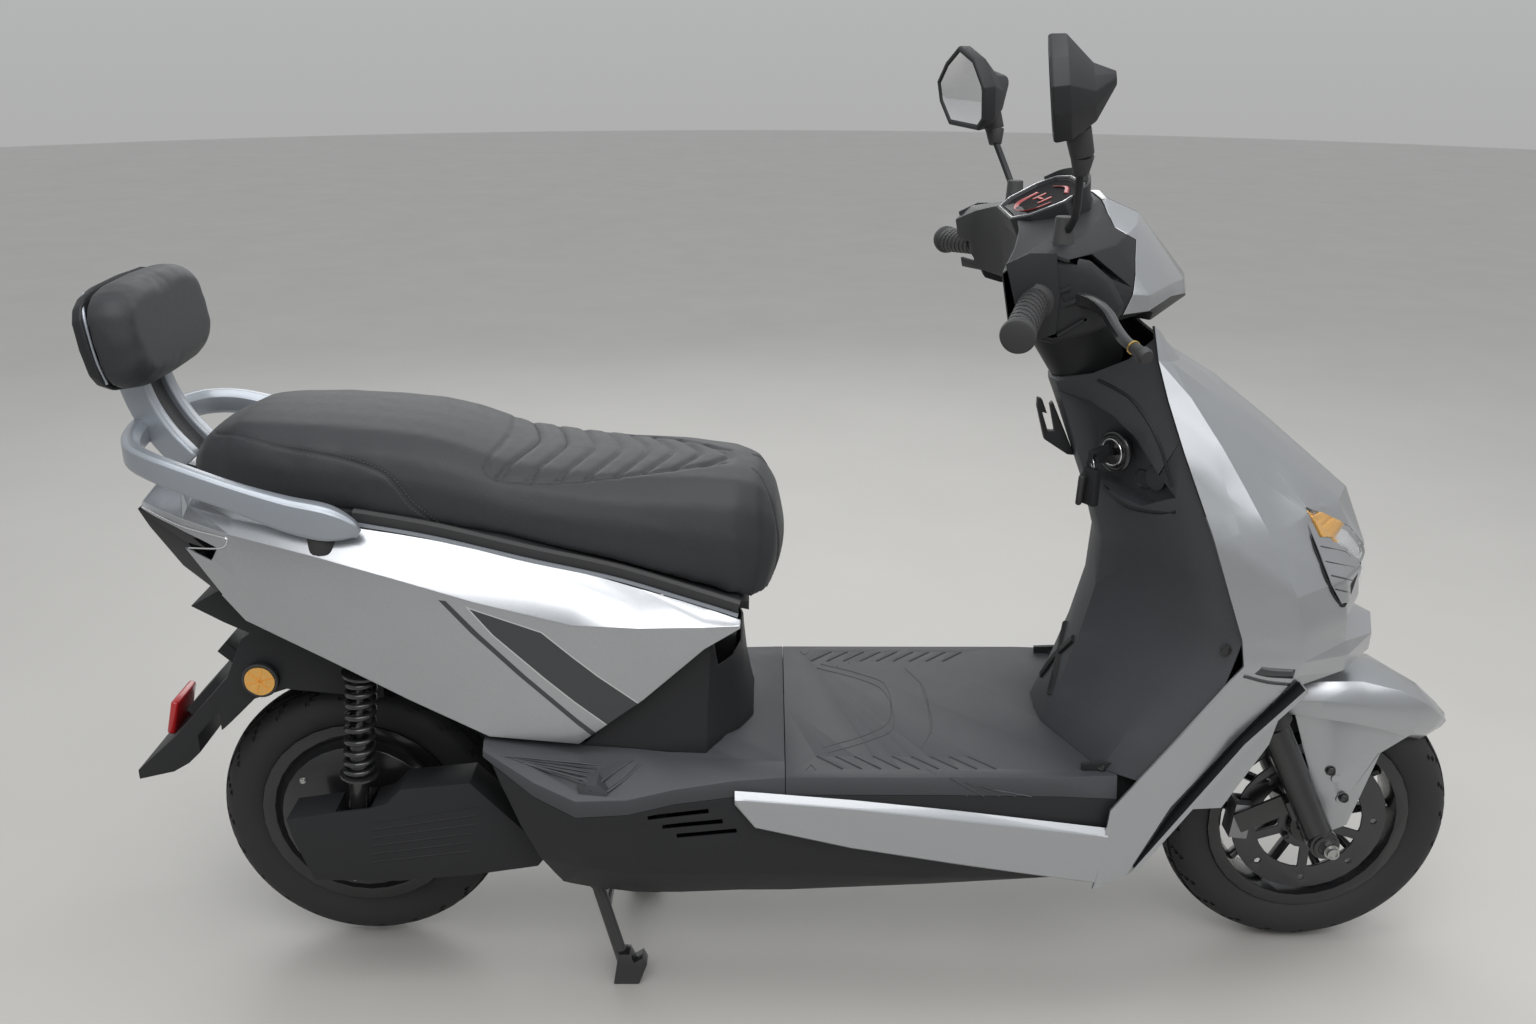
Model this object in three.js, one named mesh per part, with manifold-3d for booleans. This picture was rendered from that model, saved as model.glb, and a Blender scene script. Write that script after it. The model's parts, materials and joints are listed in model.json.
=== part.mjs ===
// Seated electric scooter on ten-inch wheels, standing on its centre stand.
// Millimetres. +X points ahead, +Y to the rider's left, +Z up.
// Lengths are drawn from the rear axle, and the group is moved at the end so that
// its origin lies on the ground under the middle of the scooter.
import * as THREE from "three";
import { mergeVertices } from "three/addons/utils/BufferGeometryUtils.js";
import Module from "manifold-3d";

const wasm = await Module();
wasm.setup();

// Driving dimensions
const floorEnd = 1000; // rear axle to the foot of the leg shield
const footToAxle = 354; // foot of the leg shield to the front axle
const barHeight = 1000; // ground to the centre of the handlebar
const floorHalf = 200; // half the width of the floor
const tyreRadius = 205;
const tyreHalf = 40;
const rearLift = 7; // the centre stand holds the rear tyre this far off the ground
const casterTilt = THREE.MathUtils.degToRad(26);
const forkLead = 35; // the fork legs stand this far ahead of the steering axis
const wall = 3; // moulded panels
const gap = 0.3; // between neighbours that touch
const cutOver = 5; // how far a cutter runs past what it cuts

const wheelbase = floorEnd + footToAxle;
const rearAxleHeight = tyreRadius + rearLift;

// Finishes
const finish = (color, roughness, metalness) =>
  new THREE.MeshStandardMaterial({ color, roughness, metalness });
const finishes = {
  silver: () => finish(0xb4b8bd, 0.32, 0.75),
  rail: () => finish(0x858a90, 0.45, 0.6),
  blackPlastic: () => finish(0x2b2c2e, 0.55, 0),
  floorPlastic: () => finish(0x3a3c40, 0.6, 0),
  blackPaint: () => finish(0x151617, 0.3, 0.2),
  steel: () => finish(0x8d9094, 0.35, 0.9),
  rubber: () => finish(0x1b1b1c, 0.85, 0),
  tyre: () => finish(0x1d1d1e, 0.9, 0),
  leather: () => finish(0x35363a, 0.8, 0),
  clear: () => finish(0xd8dde0, 0.08, 0),
  amber: () => finish(0xd98a14, 0.25, 0),
  red: () => finish(0xa3161b, 0.25, 0),
  glass: () => finish(0x14161a, 0.05, 0),
};

// A point lifted by a height.
const lifted = (point, height) => point.clone().setZ(point.z + height);

// A point given as shares of the floor length, the floor's half width and the bar height.
const place = (x, y, z) => new THREE.Vector3(x * floorEnd, y * floorHalf, z * barHeight);

// A closed geometry as a solid, with its faces turned outwards.
const weld = 1e-3;
function solid(geometry) {
  const bare = geometry.index ? geometry.toNonIndexed() : geometry.clone();
  for (const name of Object.keys(bare.attributes)) {
    if (name !== "position") bare.deleteAttribute(name);
  }
  const merged = mergeVertices(bare, weld);
  const spots = merged.attributes.position.array;
  const corners = [];
  let volume = 0;
  const [a, b, c] = [new THREE.Vector3(), new THREE.Vector3(), new THREE.Vector3()];
  for (let i = 0; i < merged.index.count; i += 3) {
    const [p, q, r] = [0, 1, 2].map((k) => merged.index.getX(i + k));
    if (p === q || q === r || r === p) continue;
    corners.push(p, q, r);
    a.fromArray(spots, 3 * p);
    b.fromArray(spots, 3 * q);
    c.fromArray(spots, 3 * r);
    volume += a.dot(b.cross(c));
  }
  if (volume < 0) {
    for (let i = 0; i < corners.length; i += 3) {
      [corners[i + 1], corners[i + 2]] = [corners[i + 2], corners[i + 1]];
    }
  }
  const triVerts = new Uint32Array(corners);
  return new wasm.Manifold(
    new wasm.Mesh({ numProp: 3, vertProperties: new Float32Array(spots), triVerts }),
  );
}

function shaped(body) {
  const mesh = body.getMesh();
  return new THREE.BufferGeometry()
    .setAttribute("position", new THREE.BufferAttribute(mesh.vertProperties, 3))
    .setIndex(new THREE.BufferAttribute(mesh.triVerts, 1));
}

const join = (...parts) => shaped(parts.map(solid).reduce((all, one) => all.add(one)));
const cut = (whole, ...tools) =>
  shaped(tools.map(solid).reduce((left, tool) => left.subtract(tool), solid(whole)));
const common = (one, other) => shaped(solid(one).intersect(solid(other)));
const moved = (geometry, x, y, z) => geometry.clone().translate(x, y, z);
const mirrored = (geometry) => geometry.clone().scale(1, -1, 1);
const bothSides = (geometry) => join(geometry, mirrored(geometry));

// Basic forms
const block = (x, y, z) => new THREE.BoxGeometry(x, y, z);
const rodY = (radius, length, sides = 16) =>
  new THREE.CylinderGeometry(radius, radius, length, sides);
const rodX = (radius, length, sides) => rodY(radius, length, sides).rotateZ(Math.PI / 2);
const rodZ = (radius, length, sides) => rodY(radius, length, sides).rotateX(Math.PI / 2);

// A block between two corners.
const between = (x0, x1, y0, y1, z0, z1) =>
  moved(block(x1 - x0, y1 - y0, z1 - z0), (x0 + x1) / 2, (y0 + y1) / 2, (z0 + z1) / 2);

const outlineOf = (points) => new THREE.Shape(points.map(([u, v]) => new THREE.Vector2(u, v)));
const slab = (points, depth) =>
  new THREE.ExtrudeGeometry(outlineOf(points), { depth, bevelEnabled: false, steps: 1 });

// An outline in X and Z, extruded across Y and centred on it.
const sideSlab = (points, width) =>
  slab(points, width).rotateX(Math.PI / 2).translate(0, width / 2, 0);
// An outline in Y and Z, extruded ahead from x.
const frontSlab = (points, depth, x) =>
  slab(points, depth)
    .applyMatrix4(
      new THREE.Matrix4().makeBasis(
        new THREE.Vector3(0, 1, 0),
        new THREE.Vector3(0, 0, 1),
        new THREE.Vector3(1, 0, 0),
      ),
    )
    .translate(x, 0, 0);
// An outline in X and Y, extruded up from z.
const planSlab = (points, height, z) => slab(points, height).translate(0, 0, z);

// A closed profile of [radius, place along Y] turned round the Y axis.
const turnedY = (profile, sides) =>
  new THREE.LatheGeometry(
    [...profile, profile[0]].map(([r, y]) => new THREE.Vector2(r, y)),
    sides,
  );
const turnedZ = (profile, sides) => turnedY(profile, sides).rotateX(Math.PI / 2);

const ringOf = (radius, sides) =>
  Array.from({ length: sides }, (_, k) => {
    const angle = (2 * Math.PI * k) / sides;
    return [radius * Math.cos(angle), radius * Math.sin(angle)];
  });

// A round tube along a smooth curve through points.
const tube = (points, radius, sides, steps, tension = 0.5) =>
  new THREE.ExtrudeGeometry(outlineOf(ringOf(radius, sides)), {
    steps,
    bevelEnabled: false,
    extrudePath: new THREE.CatmullRomCurve3(points, false, "catmullrom", tension),
  });

// A straight rod between two points.
function strut(from, to, radius, sides = 10) {
  const way = to.clone().sub(from);
  const turn = new THREE.Quaternion().setFromUnitVectors(
    new THREE.Vector3(0, 1, 0),
    way.clone().normalize(),
  );
  const middle = from.clone().add(to).multiplyScalar(1 / 2);
  return rodY(radius, way.length(), sides)
    .applyQuaternion(turn)
    .translate(middle.x, middle.y, middle.z);
}

// Faces of a grid of rows, and of its rim, gathered into one closed geometry.
function closedFrom(vertices, faces) {
  return new THREE.BufferGeometry()
    .setAttribute(
      "position",
      new THREE.Float32BufferAttribute(vertices.flatMap((v) => [v.x, v.y, v.z]), 3),
    )
    .setIndex(faces.flat());
}

// Rings of equal count joined into a solid with a fan at each end.
function loft(rings) {
  const count = rings[0].length;
  const vertices = rings.flat();
  const faces = [];
  const id = (i, j) => i * count + (j % count);
  for (let i = 0; i + 1 < rings.length; i++) {
    for (let j = 0; j < count; j++) {
      faces.push([id(i, j), id(i, j + 1), id(i + 1, j + 1)], [id(i, j), id(i + 1, j + 1), id(i + 1, j)]);
    }
  }
  for (const [end, turnRound] of [[0, true], [rings.length - 1, false]]) {
    const middle = rings[end]
      .reduce((sum, v) => sum.add(v), new THREE.Vector3())
      .multiplyScalar(1 / count);
    const hub = vertices.push(middle) - 1;
    for (let j = 0; j < count; j++) {
      const [p, q] = [id(end, j), id(end, j + 1)];
      faces.push(turnRound ? [hub, q, p] : [hub, p, q]);
    }
  }
  return closedFrom(vertices, faces);
}

// A moulded sheet: rows of points on its outer face, its wall laid inwards along the normals.
function sheet(rows, thickness) {
  const [m, n] = [rows.length, rows[0].length];
  const id = (i, j) => i * n + j;
  const pick = (i, j) => rows[Math.max(0, Math.min(m - 1, i))][Math.max(0, Math.min(n - 1, j))];
  const inner = rows.map((row, i) =>
    row.map((p, j) => {
      const down = pick(i + 1, j).clone().sub(pick(i - 1, j));
      const across = pick(i, j + 1).clone().sub(pick(i, j - 1));
      return p.clone().addScaledVector(down.cross(across).normalize(), thickness);
    }),
  );
  const back = m * n;
  const faces = [];
  const quad = (a, b, c, d) => faces.push([a, b, c], [a, c, d]);
  for (let i = 0; i + 1 < m; i++) {
    for (let j = 0; j + 1 < n; j++) {
      const [a, b, c, d] = [id(i, j), id(i, j + 1), id(i + 1, j + 1), id(i + 1, j)];
      quad(a, b, c, d);
      quad(back + c, back + b, back + a, back + d);
    }
  }
  for (let j = 0; j + 1 < n; j++) {
    quad(id(0, j + 1), id(0, j), back + id(0, j), back + id(0, j + 1));
    quad(id(m - 1, j), id(m - 1, j + 1), back + id(m - 1, j + 1), back + id(m - 1, j));
  }
  for (let i = 0; i + 1 < m; i++) {
    quad(id(i, 0), id(i + 1, 0), back + id(i + 1, 0), back + id(i, 0));
    quad(id(i + 1, n - 1), id(i, n - 1), back + id(i, n - 1), back + id(i + 1, n - 1));
  }
  return closedFrom([...rows.flat(), ...inner.flat()], faces);
}

// Rows made smooth along their order, with steps between each pair.
function faired(rows, steps) {
  const columns = rows[0].map((_, j) => new THREE.CatmullRomCurve3(rows.map((row) => row[j])));
  const spans = (rows.length - 1) * steps;
  return Array.from({ length: spans + 1 }, (_, k) => columns.map((c) => c.getPoint(k / spans)));
}

// A value read from a table of [x, value] by straight lines.
function readOff(table, x) {
  const last = table.length - 1;
  const k = Math.max(1, Math.min(last, table.findIndex(([u]) => u >= x) < 0 ? last : table.findIndex(([u]) => u >= x)));
  const [[u0, v0], [u1, v1]] = [table[k - 1], table[k]];
  return v0 + ((v1 - v0) * (x - u0)) / (u1 - u0);
}

const scooter = new THREE.Group();
const smallest = 0.03; // faces that stand out by less are merged

function add(parent, name, geometry, material) {
  const mesh = new THREE.Mesh(shaped(solid(geometry).simplify(smallest)), material);
  mesh.name = name;
  parent.add(mesh);
  return mesh;
}

function groupAt(parent, x, y, z) {
  const group = new THREE.Group();
  group.position.set(x, y, z);
  parent.add(group);
  return group;
}

// Wheels
const beadRadius = 131;
const beadHalf = 27;
const beadThick = 10;
const flangeRadius = 143;
const flangeHalf = 33;
const shoulderRadius = tyreRadius - 11;
const treadHalf = tyreHalf - 9;
const bulgeRadius = (tyreRadius + flangeRadius) / 2;
const wheelSides = 30;
const innerRise = 9; // tread thickness

const tyreProfile = [
  [beadRadius, -beadHalf],
  [flangeRadius + gap, -beadHalf],
  [flangeRadius + wall, -tyreHalf + wall],
  [bulgeRadius, -tyreHalf],
  [shoulderRadius, -treadHalf - wall],
  [tyreRadius, 0],
  [shoulderRadius, treadHalf + wall],
  [bulgeRadius, tyreHalf],
  [flangeRadius + wall, tyreHalf - wall],
  [flangeRadius + gap, beadHalf],
  [beadRadius, beadHalf],
  [beadRadius, beadHalf - beadThick],
  [bulgeRadius, treadHalf - wall],
  [tyreRadius - innerRise, 0],
  [bulgeRadius, -treadHalf + wall],
  [beadRadius, -beadHalf + beadThick],
];
const tyre = () => turnedY(tyreProfile, wheelSides);

// Front wheel: a cast rim with ten spokes in pairs, and its brake disc.
const rimBarrel = beadRadius - gap;
const barrelWall = 5;
const axleRadius = 7;
const hubRadius = 30;
const hubHalf = 46;
const spokeCount = 5;
const spokeWidth = 13;
const spokeDepth = 22;
const spokeSplay = 15;
const discRadius = 110;
const discInner = 62;
const discPlate = 4;
const discOut = 34; // the disc's middle, from the wheel's middle
const discArm = 14;
const discHoles = 8;
const discHoleRadius = 5;

function frontRim() {
  const barrel = turnedY(
    [
      [rimBarrel, -beadHalf - gap],
      [flangeRadius, -beadHalf - gap],
      [flangeRadius, -flangeHalf],
      [rimBarrel - barrelWall, -flangeHalf],
      [rimBarrel - barrelWall - barrelWall, 0],
      [rimBarrel - barrelWall, flangeHalf],
      [flangeRadius, flangeHalf],
      [flangeRadius, beadHalf + gap],
      [rimBarrel, beadHalf + gap],
      [rimBarrel, 0],
    ],
    wheelSides,
  );
  const hub = rodY(hubRadius, 2 * hubHalf, 18);
  const spokes = [];
  for (let k = 0; k < spokeCount; k++) {
    const angle = (2 * Math.PI * k) / spokeCount;
    for (const side of [-1, 1]) {
      const reach = rimBarrel - barrelWall;
      const bar = strut(
        new THREE.Vector3(side * spokeWidth, 0, 0),
        new THREE.Vector3(side * spokeSplay * 2, 0, reach),
        spokeWidth / 2,
        6,
      ).scale(1, spokeDepth / spokeWidth, 1);
      spokes.push(bar.rotateY(angle));
    }
  }
  return cut(join(barrel, hub, ...spokes), rodY(axleRadius + gap + gap, 2 * hubHalf + cutOver, 12));
}

function brakeDisc() {
  const band = turnedY(
    [
      [discInner + discArm, -discPlate / 2],
      [discRadius, -discPlate / 2],
      [discRadius, discPlate / 2],
      [discInner + discArm, discPlate / 2],
    ],
    wheelSides,
  );
  const carrier = cut(
    rodY(hubRadius + discArm, discPlate, 18),
    rodY(hubRadius + gap + gap, discPlate + cutOver, 18),
  );
  const arms = [];
  const holes = [];
  for (let k = 0; k < spokeCount; k++) {
    const angle = (2 * Math.PI * (k + 1 / 2)) / spokeCount;
    arms.push(
      moved(block(discArm, discPlate, discInner), 0, 0, hubRadius + discInner / 2 + gap + discPlate)
        .rotateY(angle),
    );
  }
  const holeRing = (discInner + discArm + discRadius) / 2;
  for (let k = 0; k < discHoles; k++) {
    const angle = (2 * Math.PI * k) / discHoles;
    holes.push(moved(rodY(discHoleRadius, discPlate + cutOver, 5), 0, 0, holeRing).rotateY(angle));
  }
  return cut(join(band, carrier, ...arms), ...holes);
}

const frontWheel = groupAt(scooter, wheelbase, 0, tyreRadius);
add(frontWheel, "front_rim", frontRim(), finishes.blackPaint());
add(frontWheel, "front_tyre", tyre(), finishes.tyre());
add(frontWheel, "brake_disc", moved(brakeDisc(), 0, -discOut, 0), finishes.steel());

// Rear wheel: a rim cast in one with the motor's shell
const motorRadius = 112;
const motorHalf = 47;
const motorRim = 18;
const rearAxleRadius = 8;
const bossRadius = 24;
const bossHalf = 60;
const boltRadius = 4;
const boltHead = 3;

function hubMotor() {
  return turnedY(
    [
      [rearAxleRadius + gap, -bossHalf],
      [bossRadius, -bossHalf],
      [motorRadius - motorRim, -motorHalf],
      [motorRadius, -motorHalf + boltHead + boltHead],
      [rimBarrel - barrelWall - barrelWall, -beadHalf + wall],
      [rimBarrel - barrelWall, -flangeHalf],
      [flangeRadius, -flangeHalf],
      [flangeRadius, -beadHalf - gap],
      [rimBarrel, -beadHalf - gap],
      [rimBarrel, beadHalf + gap],
      [flangeRadius, beadHalf + gap],
      [flangeRadius, flangeHalf],
      [rimBarrel - barrelWall, flangeHalf],
      [rimBarrel - barrelWall - barrelWall, beadHalf - wall],
      [motorRadius, motorHalf - boltHead - boltHead],
      [motorRadius - motorRim, motorHalf],
      [bossRadius, bossHalf],
      [rearAxleRadius + gap, bossHalf],
    ],
    wheelSides,
  );
}

const rearWheel = groupAt(scooter, 0, 0, rearAxleHeight);
add(rearWheel, "hub_motor", hubMotor(), finishes.blackPaint());
add(rearWheel, "rear_tyre", tyre(), finishes.tyre());

// The line along which the seat meets the body, as shares [x, z].
const seatLineShares = [
  [-0.175, 0.737], [-0.06, 0.728], [0.08, 0.71], [0.25, 0.681], [0.395, 0.64], [0.54, 0.59], [0.6, 0.568],
];
const seatLine = seatLineShares.map(([x, z]) => [x * floorEnd, z * barHeight]);
const seatHeight = (x) => readOff(seatLine, x);

// Main frame: head tube, down tube, two floor rails that rise under the seat, and brackets
const railRadius = 14;
const railHalf = 105;
const seatRailHalf = 124;
const tailRailHalf = 104;
const railShares = [
  [0.985, 0.3], [0.9, 0.292], [0.42, 0.292], [0.35, 0.318], [0.27, 0.45], [0.15, 0.566], [-0.02, 0.606], [-0.09, 0.63],
];
const railHalfShares = [0.525, 0.525, 0.525, 0.54, 0.62, 0.62, 0.6, 0.52];
const headTubeRadius = 27;
const stemRadius = 15;
const bearingGap = 1;
const headTubeLow = -505; // along the steering axis, from the handlebar's centre
const headTubeHigh = -250;
const downTubeRadius = 20;
const strapDepth = 26;
const strapThick = 4;
const lugThick = 6;
const pivotTubeRadius = 17;
const pivotBoltRadius = 8;
const swingPivotX = 315;
const swingPivotZ = 235;
const standPivotX = 341;
const standPivotZ = 150;
const standTubeRadius = 11;
const lugInner = 94;
const lugShares = [
  [0.296, 0.3], [0.42, 0.3], [0.4, 0.165], [0.352, 0.131], [0.326, 0.138], [0.296, 0.215],
];
const batteryBottom = 198;
const batteryTop = 345;
const batteryBack = 425;
const batteryFront = 905;
const batteryHalf = 84;
const shockTopX = 50;
const shockTopZ = 505;
const shockHalf = 124;
const shockPinRadius = 6;
const hingeX = 528;
const hingeZ = 517;
const hingePinRadius = 6;
const hingeLugHalf = 26;
const hingeEar = 8;

const barX = wheelbase - forkLead / Math.cos(casterTilt)
  - (barHeight - tyreRadius) * Math.tan(casterTilt);
const axisUp = new THREE.Vector3(-Math.sin(casterTilt), 0, Math.cos(casterTilt));
const onAxis = (along) =>
  new THREE.Vector3(barX, 0, barHeight).addScaledVector(axisUp, along);

function mainFrame() {
  const rail = [1, -1].map((side) =>
    tube(
      railShares.map(([x, z], i) => place(x, side * railHalfShares[i], z)),
      railRadius,
      6,
      14,
      0.3,
    ));
  const railZ = railShares[1][1] * barHeight;
  const headLow = onAxis(headTubeLow);
  const frontX = railShares[0][0] * floorEnd;
  const downTube = tube(
    [onAxis(headTubeLow + headTubeRadius), onAxis(headTubeLow).add(new THREE.Vector3(-headTubeRadius * 2, 0, 0)),
      new THREE.Vector3(frontX - railRadius, 0, railZ)],
    downTubeRadius,
    8,
    5,
  );
  const head = strut(headLow, onAxis(headTubeHigh), headTubeRadius, 16);
  const bore = strut(
    onAxis(headTubeLow - cutOver),
    onAxis(headTubeHigh + cutOver),
    stemRadius + bearingGap,
    16,
  );
  const cross = (x, z, half) => moved(rodY(railRadius, 2 * half, 8), x, 0, z);
  const [lowCross, highCross, tailCross] = [railShares[2], railShares[5], railShares[7]];
  const straps = [batteryBack + strapDepth, batteryFront - strapDepth].map((x) => {
    const bottom = between(
      x - strapDepth / 2, x + strapDepth / 2, -railHalf, railHalf,
      batteryBottom - gap - strapThick, batteryBottom - gap,
    );
    const leg = between(
      x - strapDepth / 2, x + strapDepth / 2, batteryHalf + strapThick, batteryHalf + 2 * strapThick,
      batteryBottom - gap - strapThick, railZ,
    );
    return join(bottom, bothSides(leg));
  });
  const lug = cut(
    moved(sideSlab(lugShares.map(([x, z]) => [x * floorEnd, z * barHeight]), lugThick),
      0, lugInner + lugThick / 2, 0),
    moved(rodY(pivotBoltRadius + gap, 2 * lugThick + cutOver, 14), swingPivotX, lugInner, swingPivotZ),
    moved(rodY(standTubeRadius + gap, 2 * lugThick + cutOver, 14), standPivotX, lugInner, standPivotZ),
  );
  const shockEar = join(
    between(
      shockTopX - strapDepth / 2, shockTopX + strapDepth / 2,
      shockHalf - shockEyeHalf - gap - 2 * strapThick, shockHalf - shockEyeHalf - gap,
      shockTopZ - strapDepth / 2, highCross[1] * barHeight + 2 * railRadius,
    ),
    moved(rodY(shockPinRadius, 2 * shockEyeHalf + strapThick, 10), shockTopX, shockHalf - strapThick / 2, shockTopZ),
  );
  const post = (y0, y1, z0, z1) =>
    between(hingeX - strapDepth, hingeX + hingeEar, y0, y1, z0, z1);
  const bridgeTop = batteryTop + 2 * strapThick;
  const hingePost = join(
    post(-railHalf, railHalf, bridgeTop - strapThick, bridgeTop),
    bothSides(post(railHalf - strapThick, railHalf + strapThick, railZ, bridgeTop)),
    bothSides(post(hingeLugHalf, hingeLugHalf + hingeEar, bridgeTop - strapThick, hingeZ + hingeEar)),
    moved(rodY(hingePinRadius, 2 * hingeLugHalf + hingeEar, 12), hingeX, 0, hingeZ),
  );
  return cut(
    join(
      ...rail, downTube, head, ...straps, bothSides(lug), bothSides(shockEar), hingePost,
      cross(frontX - railRadius, railZ, railHalf),
      cross(lowCross[0] * floorEnd - railRadius - wall, lowCross[1] * barHeight, railHalf),
      cross(tailCross[0] * floorEnd + railRadius, tailCross[1] * barHeight - railRadius / 2, tailRailHalf),
    ),
    bore,
  );
}

// Rear shock absorbers: eye and rod above, cylinder below, spring round both
const shockEyeHalf = 10;
const shockEyeRadius = 12;
const shockFootX = 24;
const shockFootZ = 268;
const rodRadius = 6;
const cylinderRadius = 13.5;
const cylinderFoot = 15; // from the lower eye up to the cylinder
const neckOfEye = 9;
const cylinderBore = 8;
const springRadius = 22;
const springWire = 3.2;
const springCoils = 8;
const shockLength = Math.hypot(shockTopX - shockFootX, shockTopZ - shockFootZ);
const shockLean = Math.atan2(shockTopX - shockFootX, shockTopZ - shockFootZ);
const upperCup = 26; // from the upper eye down to the spring seat
const lowerCup = 66; // from the lower eye up to the spring seat
const cupThick = 4;
const rodReach = 150;
const cylinderReach = 118;
const boreDepth = 100;

function shockUpper() {
  return cut(
    join(
      rodY(shockEyeRadius, 2 * shockEyeHalf, 12),
      moved(rodZ(rodRadius, rodReach - shockEyeRadius, 10), 0, 0, -(rodReach + shockEyeRadius) / 2 + rodRadius),
      moved(rodZ(springRadius + cupThick, cupThick, 16), 0, 0, -upperCup + cupThick / 2),
    ),
    rodY(shockPinRadius + gap, 3 * shockEyeHalf, 12),
  );
}

function shockLower() {
  const body = join(
    rodY(shockEyeRadius, 2 * shockEyeHalf, 12),
    moved(rodZ(neckOfEye, cylinderFoot, 10), 0, 0, cylinderFoot),
    moved(rodZ(cylinderRadius, cylinderReach - cylinderFoot, 12), 0, 0, (cylinderReach + cylinderFoot) / 2),
    moved(rodZ(springRadius + cupThick, cupThick, 16), 0, 0, lowerCup - cupThick / 2),
  );
  return cut(
    body,
    moved(rodZ(cylinderBore, boreDepth + cutOver, 12), 0, 0, cylinderReach - boreDepth / 2 + cutOver / 2),
    rodY(shockPinRadius + gap, 3 * shockEyeHalf, 12),
  );
}

// A round wire wound as a spring along Z, its ends straight for one wire's diameter.
function spring(radius, wire, coils, length) {
  const [perTurn, sides] = [8, 5];
  const steps = perTurn * coils;
  const centre = (k) => {
    const angle = (2 * Math.PI * k) / perTurn;
    const z = wire + ((length - 2 * wire) * Math.max(0, Math.min(steps, k))) / steps;
    return new THREE.Vector3(radius * Math.cos(angle), radius * Math.sin(angle), z);
  };
  const rings = [];
  for (let k = -1; k <= steps + 1; k++) {
    const held = Math.max(0, Math.min(steps, k));
    const along = centre(held + 1 / 2).sub(centre(held - 1 / 2)).setZ(0).normalize();
    const spot = centre(held).addScaledVector(along, (k - held) * 2 * wire);
    const out = new THREE.Vector3(along.y, -along.x, 0);
    rings.push(
      ringOf(wire, sides).map(([u, v]) =>
        spot.clone().addScaledVector(out, u).add(new THREE.Vector3(0, 0, v))),
    );
  }
  return loft(rings);
}
const springLength = shockLength - upperCup - lowerCup - 2 * gap;
const springPitch = (springLength - 2 * springWire) / springCoils;
console.log("least gap between spring turns, mm:", (springPitch - 2 * springWire).toFixed(2));

// An outline grown outwards by a distance, for the hole that takes a piece of that outline.
function grown(points, by) {
  const turn = Math.sign(THREE.ShapeUtils.area(points.map(([u, v]) => new THREE.Vector2(u, v))));
  return points.map(([u, v], k) => {
    const [pu, pv] = points[(k + points.length - 1) % points.length];
    const [nu, nv] = points[(k + 1) % points.length];
    const a = new THREE.Vector2(u - pu, v - pv).normalize();
    const b = new THREE.Vector2(nu - u, nv - v).normalize();
    const out = new THREE.Vector2(a.y + b.y, -a.x - b.x).multiplyScalar(turn);
    const reach = (2 * by) / Math.max(out.lengthSq() / 2, weld);
    return [u + (out.x * reach) / 2, v + (out.y * reach) / 2];
  });
}
const sized = (shares, across, up) => shares.map(([u, v]) => [u * across, v * up]);
const inXZ = (shares) => sized(shares, floorEnd, barHeight);
const inYZ = (shares) => sized(shares, floorHalf, barHeight);
const inXY = (shares) => sized(shares, floorEnd, floorHalf);

// The rim where the floor mouldings meet the belly cover, as shares [x, y, z].
const rimShares = [
  [0.212, 0.93, 0.392], [0.28, 1.085, 0.352], [0.335, 1.16, 0.33], [0.4, 1.125, 0.33], [0.46, 1.06, 0.338],
  [0.54, 1.02, 0.345], [0.602, 1.015, 0.347], [0.8, 1.015, 0.347], [0.96, 1.015, 0.345], [1.03, 1.0, 0.34],
];

const rimLine = (lift) => rimShares.map(([x, , z]) => [x, z + lift / barHeight]);
const [rimBack, rimFront] = [0.1, 1.2];
// Everything above the line of that rim, or below it.
function besideRim(lift, far) {
  const line = rimLine(lift);
  const [first, last] = [line[0], line.at(-1)];
  return sideSlab(
    inXZ([[rimBack, first[1]], ...line, [rimFront, last[1]], [rimFront, far], [rimBack, far]]), 4 * floorHalf,
  );
}

// Belly cover: a trough under the floor, with louvres behind the sills and an open back for the stand
const bellyShares = [
  // upper y, z; crease y, z; bottom y, z; middle z
  [0.925, 0.36, 0.85, 0.25, 0.7, 0.185, 0.18],
  [1.05, 0.32, 0.925, 0.24, 0.725, 0.18, 0.175],
  [1.11, 0.3, 0.975, 0.232, 0.75, 0.172, 0.168],
  [1.075, 0.3, 0.985, 0.226, 0.75, 0.163, 0.163],
  [1.045, 0.305, 0.975, 0.222, 0.735, 0.161, 0.161],
  [1.02, 0.308, 0.95, 0.22, 0.7, 0.16, 0.16],
  [1.015, 0.305, 0.94, 0.218, 0.69, 0.159, 0.159],
  [1.015, 0.29, 0.915, 0.21, 0.625, 0.16, 0.16],
  [1.0, 0.27, 0.85, 0.202, 0.55, 0.166, 0.166],
  [0.985, 0.25, 0.78, 0.198, 0.5, 0.174, 0.174],
];
const bellyBackShares = [[0.1, 0.45], [0.215, 0.41], [0.3, 0.183], [0.29, 0.1], [0.1, 0.1]];
const standBayBack = 270;
const standBayFront = 432;
const standBayHalf = 148;
const ventShares = [[0.425, 0.322], [0.443, 0.306], [0.461, 0.29]];
const ventLength = 78;
const ventHeight = 7;
const ventRise = THREE.MathUtils.degToRad(4);
const bossRadiusSmall = 8;
const bellyBossX = 700;

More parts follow.
